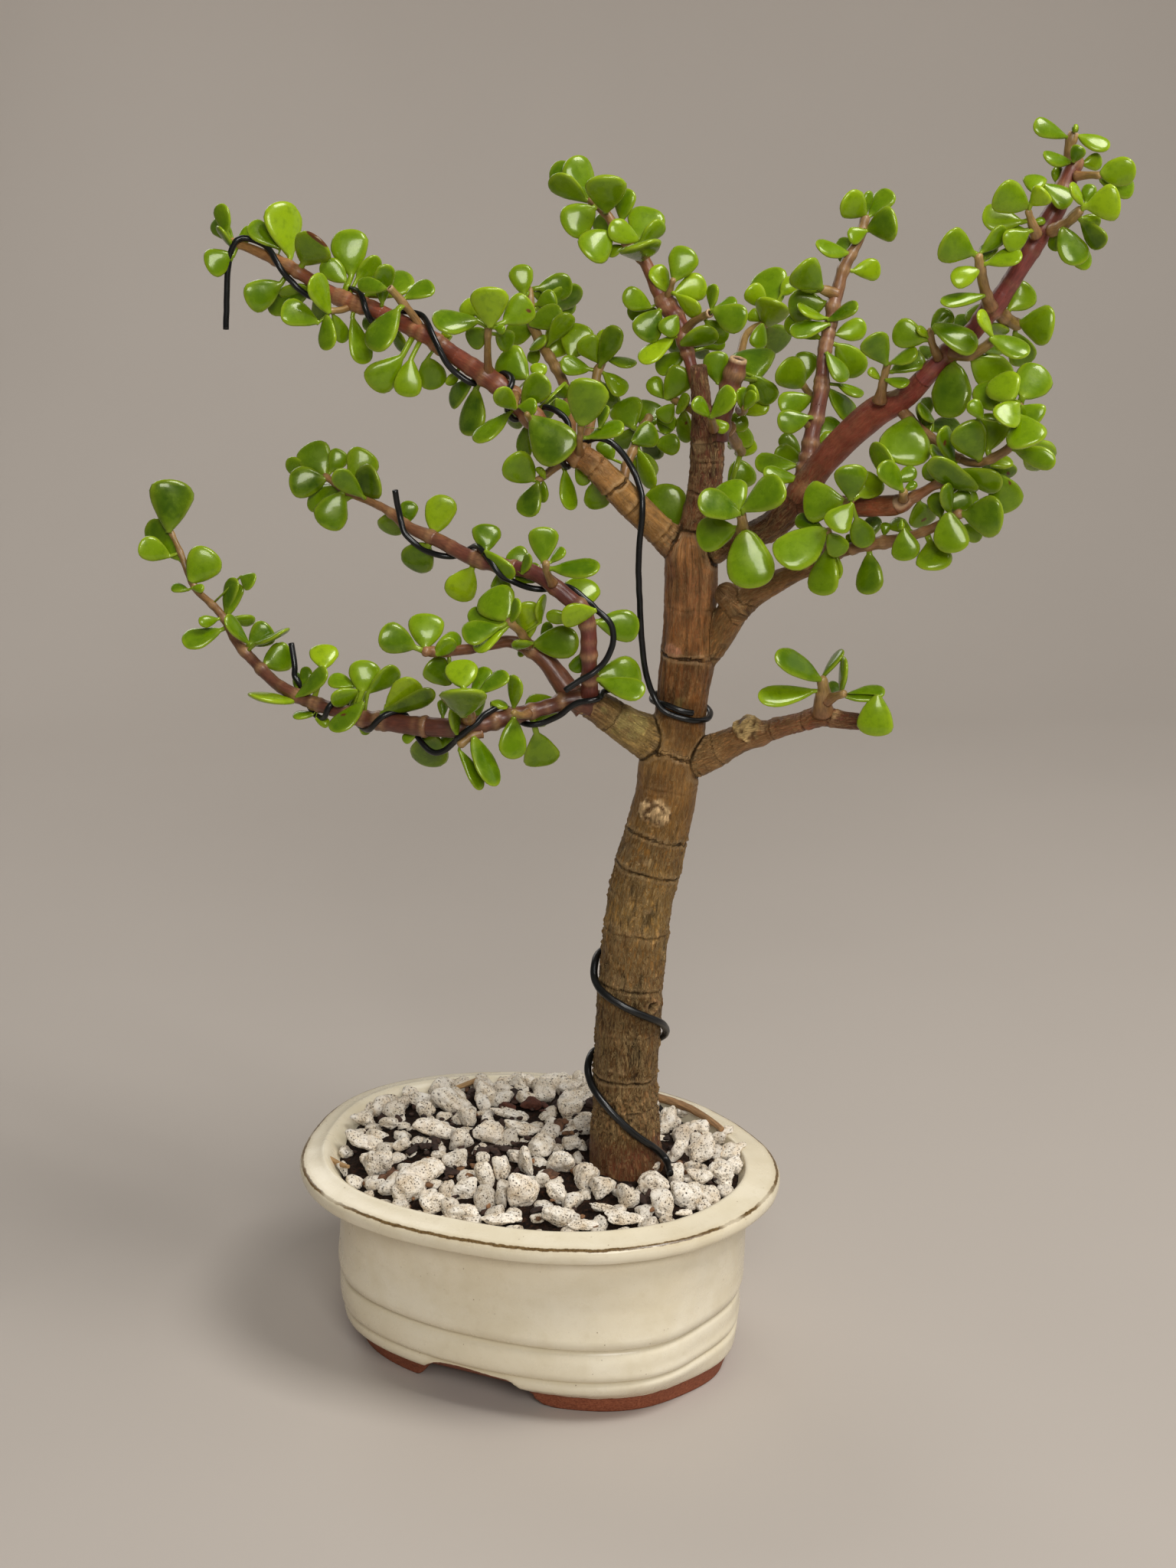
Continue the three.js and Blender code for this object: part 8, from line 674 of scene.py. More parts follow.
# marks on the bark: place, half width, half height, kind, stem
SPOTS = [
    (44.78, -1.1, 183.56, 5.88, 3.99, 'scar', 'T'),
    (48.2, 5.38, 231.3, 2.82, 2.11, 'pink', 'T'),
    (35.36, -8.23, 131.94, 5.4, 2.35, 'cream', 'T'),
    (43.4, -1.82, 122.13, 2.58, 3.05, 'knot', 'T'),
    (50.64, 5.49, 216.1, 2.58, 1.65, 'green', 'T'),
    (38.24, -2.03, 209.83, 6.11, 5.17, 'olive', 'L'),
    (32.12, -7.14, 215.38, 1.41, 1.41, 'green', 'L'),
    (30.81, -6.78, 219.54, 3.52, 1.41, 'cream', 'L'),
    (69.71, 10.08, 208.95, 3.99, 3.29, 'knob', 'R'),
    (74.51, 10.65, 209.75, 1.17, 2.11, 'cream', 'R'),
    (62.63, 11.36, 247.94, 2.35, 2.58, 'knot', 'D4'),
    (60.41, 16.78, 255.05, 1.88, 1.41, 'cream', 'DL'),
    (44.24, 9.51, 255.33, 3.52, 7.05, 'redskin', 'T'),
    (63.65, 18.75, 314.14, 2.35, 1.65, 'stub', 'B1'),
    (53.31, 14.35, 313.26, 2.35, 1.41, 'stub', 'B2'),
    (53.26, 13.97, 289.72, 2.11, 2.35, 'curl', 'B'),
    (103.79, 15.96, 306.82, 2.11, 1.41, 'scar2', 'D2'),
    (109.71, 16, 307.01, 2.11, 1.17, 'scar2', 'D2'),
    (116.29, 6.38, 278.58, 2.58, 2.58, 'scar2', 'D3'),
    (36.41, -10.95, 70.05, 4.7, 2.35, 'redbase', 'T'),
    (42.91, -3.48, 75.71, 7.05, 3.52, 'redbase', 'T'),
    (41.71, -4.17, 168.41, 3.52, 0.94, 'cream', 'T'),
    (32.77, -6.32, 148.56, 3.05, 0.94, 'cream', 'T'),
    (46.44, -1.21, 174.77, 3.05, 1.17, 'cream', 'T'),
    (43.32, -3.85, 153.58, 1.65, 1.17, 'cream', 'T'),
    (34.62, -9.05, 102.16, 3.52, 1.17, 'cream', 'T'),
    (41.18, -6.41, 77.46, 0.7, 1.88, 'cream', 'T'),
    (42.99, 3.23, 75.34, 0.7, 1.65, 'cream', 'T'),
]
# rings: stem, distance along it, kind
RINGS = [
    ('T', 175.37, 'deep'),
    ('T', 144.57, 'deep'),
    ('T', 119.26, 'deep'),
    ('T', 108.61, 'deep'),
    ('T', 89.43, 'soft'),
    ('T', 72.26, 'deep'),
    ('T', 42.35, 'deep'),
    ('T', 189.41, 'faint'),
    ('T', 135.05, 'faint'),
    ('T', 100.31, 'faint'),
    ('T', 57.11, 'faint'),
    ('T', 31.48, 'soft'),
    ('D4', 26.9, 'deep'),
    ('D4', 7.32, 'soft'),
    ('R', 7.26, 'soft'),
    ('R', 53.37, 'dark'),
    ('R', 14.56, 'soft'),
    ('R', 34.3, 'soft'),
    ('R', 44.35, 'soft'),
    ('A', 13.65, 'soft'),
    ('A', 25.1, 'soft'),
    ('A', 32.63, 'deep'),
    ('A', 40.72, 'soft'),
    ('A', 47.36, 'soft'),
    ('B', 20.96, 'soft'),
    ('B', 30.28, 'soft'),
    ('L', 23.38, 'soft'),
    ('L', 31.71, 'deep'),
]
# loose stones: place, half width, half height as seen from the front, tilt in degrees, tone
STONES = [
    (-60.3, -2.1, 65.4, 5.4, 3.1, 0, 1),
    (-51.8, -17, 65.9, 8.6, 3.3, -12, 1.02),
    (-39.6, -28.7, 65.9, 5.3, 4.6, 0, 1),
    (-37.7, -18.2, 68, 2.8, 2.6, 20, 0.98),
    (-50.2, -4.6, 67.5, 3.4, 2.3, 10, 0.9),
    (-50.7, 15.9, 67.2, 5.8, 3.5, -15, 1),
    (-37.3, 13.1, 69.5, 7.4, 3.6, -35, 1),
    (-51.7, 39, 64.4, 4.6, 1.8, -12, 1.05),
    (-28.5, 22.7, 69.8, 4.8, 4.2, -20, 1.05),
    (-24.6, 2.4, 71, 3.3, 4, 0, 0.97),
    (-32.1, -6.8, 69.9, 8.4, 2.5, -20, 1.05),
    (-19.7, -12.3, 70.5, 4.3, 4.3, 10, 0.92),
    (-14, 8.7, 71.6, 5.8, 1.7, -22, 1.02),
    (-12.4, -6.4, 71.4, 5.3, 3.8, -15, 1.04),
    (-4.2, 0.9, 71.9, 6.6, 3.1, -18, 1.06),
    (5.8, 1.2, 71.9, 3.6, 3.1, 15, 0.95),
    (6.3, -7.8, 71.4, 5, 3.8, 0, 0.93),
    (15.3, -2.1, 71.5, 3.5, 2.6, 0, 0.98),
    (-29.3, 45.7, 64.6, 5, 4, 0, 1),
    (-17.1, 49.2, 64.7, 5.9, 3.6, 0, 1.02),
    (-9.2, 53.9, 64.8, 3.3, 4.5, 0, 1),
    (2.5, 20.4, 71.3, 5, 3.5, 0, 1.03),
    (11.9, 11.5, 71.7, 3.5, 3.6, 0, 0.98),
    (-13.8, -22.9, 69.4, 5, 3.7, 10, 0.85),
    (-6.6, -20.7, 70, 2.4, 2.1, 0, 0.9),
    (-21.8, -21.7, 69.1, 2.7, 1.5, 0, 0.85),
    (-22.8, -30.8, 67.3, 7.8, 4.1, 12, 1.02),
    (-22.9, -39.1, 65.1, 5.5, 5, 0, 1),
    (-11.1, -37.3, 66.4, 2.9, 3, 0, 0.88),
    (-5.5, -34.6, 67.3, 4.5, 4.5, -10, 0.95),
    (-1.7, -28.9, 68.6, 3, 5.3, 20, 0.98),
    (3.2, -38, 66.4, 3.3, 4.5, 10, 0.72),
    (1.6, -23.6, 69.6, 3.5, 5, -8, 1.03),
    (7.7, -35.9, 66.9, 2, 3.4, 0, 0.8),
    (7.9, -18.1, 70.3, 3.9, 5.1, 15, 1),
    (2.9, -16.6, 70.6, 2.4, 2, 0, 0.85),
    (13.2, -31.7, 67.7, 5.8, 6.8, -14, 1.1),
    (16.1, -24.3, 69.1, 2.5, 2.9, 0, 0.85),
    (16.7, -14.3, 70.5, 5.2, 4.5, -18, 1.02),
    (22.5, -27.7, 68, 5.4, 3.2, -38, 1),
    (28.6, -29, 67.2, 3.9, 4.7, 18, 0.92),
    (26.8, -37.2, 65.3, 6.1, 2.9, -24, 0.98),
    (27.5, -16.6, 69.4, 4.2, 5.2, -30, 0.95),
    (34.4, -19.3, 68.3, 4.4, 3.8, 15, 0.95),
    (37.5, -28, 66.3, 4.2, 4.6, -14, 0.98),
    (36, -36.2, 64.4, 5.2, 1.3, -6, 1.02),
    (-12.3, -43, 64.6, 4.2, 3.4, 10, 1.05),
    (-2.3, -44.4, 64.4, 5.9, 2.2, 12, 1.08),
    (11.3, -44, 64.3, 6.8, 1.4, 8, 1.08),
    (42.6, -20.1, 67, 3.3, 5.2, 28, 0.95),
    (46.3, -28.1, 64.8, 7.6, 1.8, -14, 1),
    (47, -10.7, 67.5, 4.9, 4.7, -20, 1),
    (53.6, -18.6, 65.2, 3.5, 4.8, 5, 1),
    (51.4, -2.7, 67.3, 2.9, 4.3, 0, 1),
    (57.9, -9.9, 65.4, 5, 4.4, 0, 1.05),
    (45.2, 10, 68.5, 3.1, 4.7, -22, 1.02),
    (33.1, 31.5, 68, 3.5, 4.4, 10, 1),
    (41.8, 23.1, 68, 3.3, 4.7, -12, 0.97),
    (31.9, 45.3, 64.6, 2.7, 2.4, 0, 0.95),
    (42.2, 36.9, 65.2, 3.7, 2.7, 0, 1.05),
    (51.7, 16.3, 67, 4.9, 4.2, 15, 0.98),
    (52.4, 36.6, 64.3, 3, 3.2, 0, 1.05),
    (57.6, 2.5, 66.2, 4.6, 3.3, 10, 1),
    (62.3, -3.6, 64.7, 3.8, 3.5, 0, 1.04),
    (58.1, 25.7, 64, 5.3, 3, 25, 1.02),
    (61.3, 9.1, 65.1, 4.6, 3.9, -10, 1.04),
    (60.2, -17.4, 63.7, 3, 1.2, -8, 1.05),
    (62.2, 18.2, 63.8, 2.8, 2.9, 0, 1.05),
    (-72.6, 9.6, 63.5, 3.3, 2, 0, 0.95),
    (-69.7, 19.9, 63.8, 5.6, 1.4, -15, 0.98),
    (49.9, 32.4, 64.6, 2.9, 2.3, 10, 0.97),
    (52.3, 5.5, 67.3, 3.2, 2.2, 0, 0.95),
    (43.3, -1.6, 68.8, 1.8, 1.8, 0, 0.9),
]
# bits of bark: place, half width, half height, tilt, kind
BITS = [
    (-61.3, 15.7, 64, 3, 2, 20, 'dark'),
    (-70.5, 15.4, 63.1, 2.3, 1.7, -15, 'dark'),
    (-58.7, 37.3, 63.7, 3.1, 1.5, -10, 'brown'),
    (-10.1, 19.6, 70.6, 4.4, 2.9, 5, 'red'),
    (-29.3, -17.5, 68.5, 2.4, 1.7, 20, 'dark'),
    (-5.1, -12.6, 70.4, 2.2, 1.7, -20, 'dark'),
    (4.7, 9.7, 71.3, 2.1, 1.9, 0, 'brown'),
    (-35.4, 24.9, 68.1, 1.5, 1.3, 30, 'dark'),
    (-28.6, -32, 65.9, 1.9, 1.4, 0, 'dark'),
    (-20, 25.6, 69.5, 1.8, 1.5, -30, 'dark'),
    (31.7, 55.1, 64.3, 2.2, 3, 10, 'black'),
    (5, 31.9, 69.3, 2, 1.5, 15, 'dark'),
    (-35, -34.1, 64.6, 1.6, 1.2, 10, 'brown'),
    (-8.4, -16.3, 69.9, 1.2, 1, 0, 'dark'),
    (17, -21.1, 68.9, 1.4, 1.2, 20, 'brown'),
    (48, -16.5, 66.1, 1.4, 1, 0, 'dark'),
    (48.2, 3.3, 67.5, 1.4, 1.1, 0, 'dark'),
    (-15.8, -28.2, 67.8, 1.4, 1.1, 0, 'dark'),
]
STICKS = [
    [(-41.3, 23.4, 69.6), (-40.1, 28.4, 69.1), (-40.6, 36.5, 67.2), (-40.2, 42.5, 66.1)],
    [(-61.2, -27.7, 64), (-57.3, -29.1, 63.9), (-53.4, -30.6, 63.9), (-48.9, -32.4, 64.6)],
]


# ---------------------------------------------------------------- noise
def _hash(ix, iy, iz, seed):
    h = (ix * 374761393 + iy * 668265263 + iz * 1440662683 + seed * 974634777) & 0xFFFFFFFF
    h = ((h ^ (h >> 13)) * 1274126177) & 0xFFFFFFFF
    h = ((h ^ (h >> 15)) * 2246822519) & 0xFFFFFFFF
    return h ^ (h >> 16)


def vnoise(p, seed=0):
    """Smooth value noise in -1..1 at the points p (n, 3)."""
    i = np.floor(p).astype(np.int64)
    f = p - i
    u = f * f * f * (f * (f * 6 - 15) + 10)
    out = np.zeros(len(p))
    for dx in (0, 1):
        wx = u[:, 0] if dx else 1 - u[:, 0]
        for dy in (0, 1):
            wy = u[:, 1] if dy else 1 - u[:, 1]
            for dz in (0, 1):
                wz = u[:, 2] if dz else 1 - u[:, 2]
                h = _hash(i[:, 0] + dx, i[:, 1] + dy, i[:, 2] + dz, seed)
                out += wx * wy * wz * ((h & 0xFFFF) / 32767.5 - 1)
    return out


def fbm(p, octaves=4, seed=0, gain=0.5):
    out, a, q, total = np.zeros(len(p)), 1.0, np.asarray(p, float), 0.0
    for k in range(octaves):
        out += a * vnoise(q, seed + 17 * k)
        total += a
        a *= gain
        q = q * 2.03 + 11.7
    return out / total


def cells(p, seed=0):
    """Distance to the nearest and second nearest cell point, and a number for the cell."""
    i = np.floor(p).astype(np.int64)
    d1 = np.full(len(p), 9.0)
    d2 = np.full(len(p), 9.0)
    tag = np.zeros(len(p))
    for dx in (-1, 0, 1):
        for dy in (-1, 0, 1):
            for dz in (-1, 0, 1):
                c = i + np.array([dx, dy, dz])
                q = np.stack([(_hash(c[:, 0], c[:, 1], c[:, 2], seed + k) & 0xFFFF) / 65535.0 for k in (1, 2, 3)], -1)
                d = np.linalg.norm(c + q - p, axis=1)
                t = (_hash(c[:, 0], c[:, 1], c[:, 2], seed + 9) & 0xFFFF) / 65535.0
                near = d < d1
                d2 = np.where(near, d1, np.minimum(d2, d))
                tag = np.where(near, t, tag)
                d1 = np.where(near, d, d1)
    return d1, d2, tag


def smooth(a, b, x):
    t = np.clip((x - a) / (b - a), 0, 1)
    return t * t * (3 - 2 * t)


def srgb(r, g, b):
    c = np.array([r, g, b], float) / 255.0
    return np.where(c <= 0.04045, c / 12.92, ((c + 0.055) / 1.055) ** 2.4)


# ---------------------------------------------------------------- meshes
def make(name, V, faces, attrs=None, mat=None, slot=None, nodes=(), flat=False):
    """A mesh object from points in millimetres and a list of face arrays (n, 3) or (n, 4)."""
    me = bpy.data.meshes.new(name)
    V = (np.asarray(V, float) + OFF) * MM
    me.vertices.add(len(V))
    me.vertices.foreach_set("co", V.astype(np.float32).ravel())
    faces = [np.asarray(f, np.int32) for f in faces if len(f)]
    loops = np.concatenate([f.ravel() for f in faces])
    me.loops.add(len(loops))
    me.loops.foreach_set("vertex_index", loops)
    totals = np.concatenate([np.full(len(f), f.shape[1], np.int32) for f in faces])
    starts = np.concatenate([[0], np.cumsum(totals)[:-1]]).astype(np.int32)
    me.polygons.add(len(totals))
    me.polygons.foreach_set("loop_start", starts)
    me.polygons.foreach_set("loop_total", totals)
    me.update(calc_edges=True)
    me.validate()
    me.polygons.foreach_set("use_smooth", np.full(len(me.polygons), not flat, bool))
    ob = bpy.data.objects.new(name, me)
    bpy.context.scene.collection.objects.link(ob)
    paint(ob, attrs or {})
    if mat:
        me.materials.append(mat)
    if nodes:
        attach(ob, "root")
        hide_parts(*nodes)
    return ob


def paint(ob, attrs):
    me = ob.data
    for k, v in attrs.items():
        v = np.asarray(v, np.float32)
        if k in me.attributes:
            me.attributes.remove(me.attributes[k])
        if v.ndim == 2 and k == "col":
            a = me.color_attributes.new(name=k, type="FLOAT_COLOR", domain="POINT")
            rgba = np.concatenate([v, np.ones((len(v), 1), np.float32)], 1)
            a.data.foreach_set("color", rgba.ravel())
        elif v.ndim == 2:
            a = me.attributes.new(name=k, type="FLOAT_VECTOR", domain="POINT")
            a.data.foreach_set("vector", v.ravel())
        else:
            a = me.attributes.new(name=k, type="FLOAT", domain="POINT")
            a.data.foreach_set("value", v)


def points_of(ob):
    n = len(ob.data.vertices)
    co = np.empty(n * 3, np.float32)
    ob.data.vertices.foreach_get("co", co)
    no = np.empty(n * 3, np.float32)
    ob.data.vertex_normals.foreach_get("vector", no)
    return co.reshape(-1, 3).astype(float) / MM - OFF, no.reshape(-1, 3).astype(float)


def put_points(ob, V):
    ob.data.vertices.foreach_set("co", ((V + OFF) * MM).astype(np.float32).ravel())
    ob.data.update()


def apply_mods(ob):
    dg = bpy.context.evaluated_depsgraph_get()
    dg.update()
    me = bpy.data.meshes.new_from_object(ob.evaluated_get(dg))
    old = ob.data
    ob.modifiers.clear()
    ob.data = me
    bpy.data.meshes.remove(old)


class Bag:
    """Collects points, faces and per-point values of many small bodies for one mesh."""

    def __init__(self):
        self.V, self.F, self.A, self.n = [], {3: [], 4: []}, {}, 0

    def add(self, V, faces, **attrs):
        for f in faces:
            f = np.asarray(f, np.int64)
            if len(f):
                self.F[f.shape[1]].append(f + self.n)
        self.V.append(V)
        for k, v in attrs.items():
            v = np.asarray(v, float)
            if v.ndim == 0:
                v = np.full(len(V), float(v))
            elif v.ndim == 1 and len(v) == 3 and len(V) != 3:
                v = np.repeat(v[None], len(V), 0)
            self.A.setdefault(k, []).append(v)
        self.n += len(V)

    def build(self, name, **kw):
        faces = [np.concatenate(f) for f in self.F.values() if f]
        return make(name, np.concatenate(self.V), faces, {k: np.concatenate(v) for k, v in self.A.items()}, **kw)


# ---------------------------------------------------------------- tubes
def section(name, a, b):
    P = np.array(STEMS[name], float)
    ks = [a] + [i for i in range(int(math.floor(a)) + 1, int(math.ceil(b))) if a < i < b] + [b]
    out = []
    for k in ks:
        i = min(int(k), len(P) - 2)
        t = k - i
        out.append(P[i] * (1 - t) + P[i + 1] * t)
    return np.array(out)


def resample(P, step):
    """Points of a smooth curve through P, evenly spaced, with the radius in column 3."""
    d = np.linalg.norm(np.diff(P[:, :3], axis=0), axis=1)
    keep = np.r_[True, d > 1e-6]
    P = P[keep]
    s = np.r_[0, np.cumsum(np.linalg.norm(np.diff(P[:, :3], axis=0), axis=1))]
    n = max(3, int(round(s[-1] / step)) + 1)
    if len(P) < 3:
        t = np.linspace(0, s[-1], n)
        return np.stack([np.interp(t, s, P[:, k]) for k in range(P.shape[1])], 1), t
    m = np.gradient(P, s, axis=0)
    t = np.linspace(0, s[-1], n)
    i = np.clip(np.searchsorted(s, t, side="right") - 1, 0, len(s) - 2)
    h = (s[i + 1] - s[i])[:, None]
    u = ((t - s[i]) / h[:, 0])[:, None]
    q = (2 * u**3 - 3 * u**2 + 1) * P[i] + (u**3 - 2 * u**2 + u) * h * m[i] + (-2 * u**3 + 3 * u**2) * P[i + 1] + (u**3 - u**2) * h * m[i + 1]
    if P.shape[1] > 3:
        q[:, 3] = np.interp(t, s, P[:, 3])
    return q, t


def frames(C):
    T = np.gradient(C, axis=0)
    T /= np.linalg.norm(T, axis=1)[:, None]
    N = np.zeros_like(C)
    v = np.array([0.31, 0.83, 0.17])
    for i in range(len(C)):
        v = v - T[i] * (v @ T[i])
        v /= np.linalg.norm(v)
        N[i] = v
    return T, N, np.cross(T, N)


def tube(P, step=0.8, sides=16, start="flat", end="round", r_of=None):
    """A closed tapered tube. Returns points, faces, for each point s, angle and radius, and the length along the axis.
    """
    q, s = resample(np.asarray(P, float), step)
    C, R = q[:, :3], q[:, 3].copy()
    if r_of is not None:
        R = r_of(s, R)
    T, N, B = frames(C)
    rings = []  # centre, radius, s, T, N, B
    def ring(c, r, sv, k):
        rings.append((c, r, sv, N[k], B[k]))
    if start == "round":
        for a in (0.12, 0.45, 0.8):
            ring(C[0] - T[0] * R[0] * 0.55 * (1 - math.sin(a * math.pi / 2)) , R[0] * math.sin(a * math.pi / 2), s[0], 0)
    else:
        ring(C[0], R[0] * 0.82, s[0], 0)
    for k in range(len(C)):
        c = C[k]
        if start == "flat" and k == 0:
            c = c + T[0] * min(0.15, R[0] * 0.15)
        ring(c, R[k], s[k], k)
    e = len(C) - 1
    if end == "round":
        for a in (0.35, 0.65, 0.9):
            ring(C[e] + T[e] * R[e] * 0.8 * math.sin(a * math.pi / 2), R[e] * math.cos(a * math.pi / 2), s[e], e)
    elif end == "cut":
        ring(C[e] + T[e] * 0.18 * R[e], R[e] * 0.93, s[e], e)
        ring(C[e] + T[e] * 0.18 * R[e], R[e] * 0.70, s[e], e)
        ring(C[e] + T[e] * 0.02 * R[e], R[e] * 0.45, s[e], e)
    else:
        ring(C[e] + T[e] * 0.1 * R[e], R[e] * 0.85, s[e], e)
    th = np.arange(sides) / sides * 2 * math.pi
    V = np.concatenate([c + r * (np.cos(th)[:, None] * n + np.sin(th)[:, None] * b) for c, r, _, n, b in rings])
    m = len(rings)
    i, j = np.meshgrid(np.arange(m - 1), np.arange(sides), indexing="ij")
    a = (i * sides + j).ravel()
    b = (i * sides + (j + 1) % sides).ravel()
    quads = np.stack([a, b, b + sides, a + sides], 1)
    c0, c1 = len(V), len(V) + 1
    V = np.concatenate([V, [rings[0][0]], [rings[-1][0]]])
    j = np.arange(sides)
    last = (m - 1) * sides
    tris = np.concatenate([
        np.stack([np.full(sides, c0), (j + 1) % sides, j], 1),
        np.stack([np.full(sides, c1), last + j, last + (j + 1) % sides], 1),
    ])
    sv = np.concatenate([np.repeat([r[2] for r in rings], sides), [s[0], s[-1]]])
    rv = np.concatenate([np.repeat([r[1] for r in rings], sides), [0, 0]])
    tv = np.concatenate([np.tile(th, m), [0, 0]])
    return V, [quads, tris], sv, tv, rv, float(s[-1])


# ---------------------------------------------------------------- materials
class Mat:
    """Small helper that builds a node material."""

    def __init__(self, name):
        self.m = bpy.data.materials.new(name)
        self.m.use_nodes = True
        self.t = self.m.node_tree
        self.bsdf = self.t.nodes["Principled BSDF"]

    def n(self, kind, **kw):
        node = self.t.nodes.new(kind)
        for k, v in kw.items():
            if hasattr(node, k):
                setattr(node, k, v)
            else:
                node.inputs[k.replace("_", " ")].default_value = v
        return node

    def link(self, a, b):
        self.t.links.new(a, b)

    def attr(self, name):
        node = self.t.nodes.new("ShaderNodeAttribute")
        node.attribute_type = "GEOMETRY"
        node.attribute_name = name
        return node

    def noise(self, scale, detail=4, rough=0.55, vector=None, distortion=0.0):
        node = self.t.nodes.new("ShaderNodeTexNoise")
        node.inputs["Scale"].default_value = scale
        node.inputs["Detail"].default_value = detail
        node.inputs["Roughness"].default_value = rough
        node.inputs["Distortion"].default_value = distortion
        if vector is None:
            vector = self.coords()
        self.link(vector, node.inputs["Vector"])
        return node.outputs["Fac"]

    def voronoi(self, scale, feature="F1", vector=None, out="Distance"):
        node = self.t.nodes.new("ShaderNodeTexVoronoi")
        node.feature = feature
        node.inputs["Scale"].default_value = scale
        self.link(vector if vector is not None else self.coords(), node.inputs["Vector"])
        return node.outputs[out]

    def coords(self):
        if not hasattr(self, "_tc"):
            self._tc = self.t.nodes.new("ShaderNodeTexCoord")
        return self._tc.outputs["Object"]

    def ramp(self, fac, stops, interp="LINEAR"):
        node = self.t.nodes.new("ShaderNodeValToRGB")
        node.color_ramp.interpolation = interp
        cr = node.color_ramp
        while len(cr.elements) < len(stops):
            cr.elements.new(0.5)
        for e, (p, c) in zip(cr.elements, stops):
            e.position = p
            e.color = (*c, 1) if len(c) == 3 else c
        self.link(fac, node.inputs["Fac"])
        return node.outputs["Color"]

    def math(self, op, a, b=None, clamp=False):
        node = self.t.nodes.new("ShaderNodeMath")
        node.operation = op
        node.use_clamp = clamp
        for k, v in enumerate((a, b)):
            if v is None:
                continue
            if isinstance(v, (int, float)):
                node.inputs[k].default_value = v
            else:
                self.link(v, node.inputs[k])
        return node.outputs[0]

    def span(self, v, lo, hi, to_lo=0.0, to_hi=1.0):
        node = self.t.nodes.new("ShaderNodeMapRange")
        node.inputs["From Min"].default_value = lo
        node.inputs["From Max"].default_value = hi
        node.inputs["To Min"].default_value = to_lo
        node.inputs["To Max"].default_value = to_hi
        self.link(v, node.inputs["Value"])
        return node.outputs["Result"]

    def mix(self, fac, a, b, blend="MIX"):
        node = self.t.nodes.new("ShaderNodeMix")
        node.data_type = "RGBA"
        node.blend_type = blend
        node.clamp_factor = True
        fi, ai, bi = node.inputs[0], node.inputs[6], node.inputs[7]
        if isinstance(fac, (int, float)):
            fi.default_value = fac
        else:
            self.link(fac, fi)
        for sock, v in ((ai, a), (bi, b)):
            if isinstance(v, (tuple, list, np.ndarray)):
                sock.default_value = (*[float(x) for x in v[:3]], 1)
            else:
                self.link(v, sock)
        return node.outputs[2]

    def bump(self, height, strength=0.4, distance=0.0003, normal=None):
        node = self.t.nodes.new("ShaderNodeBump")
        node.inputs["Strength"].default_value = strength
        node.inputs["Distance"].default_value = distance
        self.link(height, node.inputs["Height"])
        if normal is not None:
            self.link(normal, node.inputs["Normal"])
        return node.outputs["Normal"]

    def set(self, **kw):
        for k, v in kw.items():
            sock = self.bsdf.inputs[k.replace("_", " ")]
            if isinstance(v, (int, float)):
                sock.default_value = v
            elif isinstance(v, (tuple, list, np.ndarray)):
                v = [float(x) for x in v]
                sock.default_value = (*v, 1) if len(v) == 3 and sock.type == "RGBA" else tuple(v)
            else:
                self.link(v, sock)
        return self


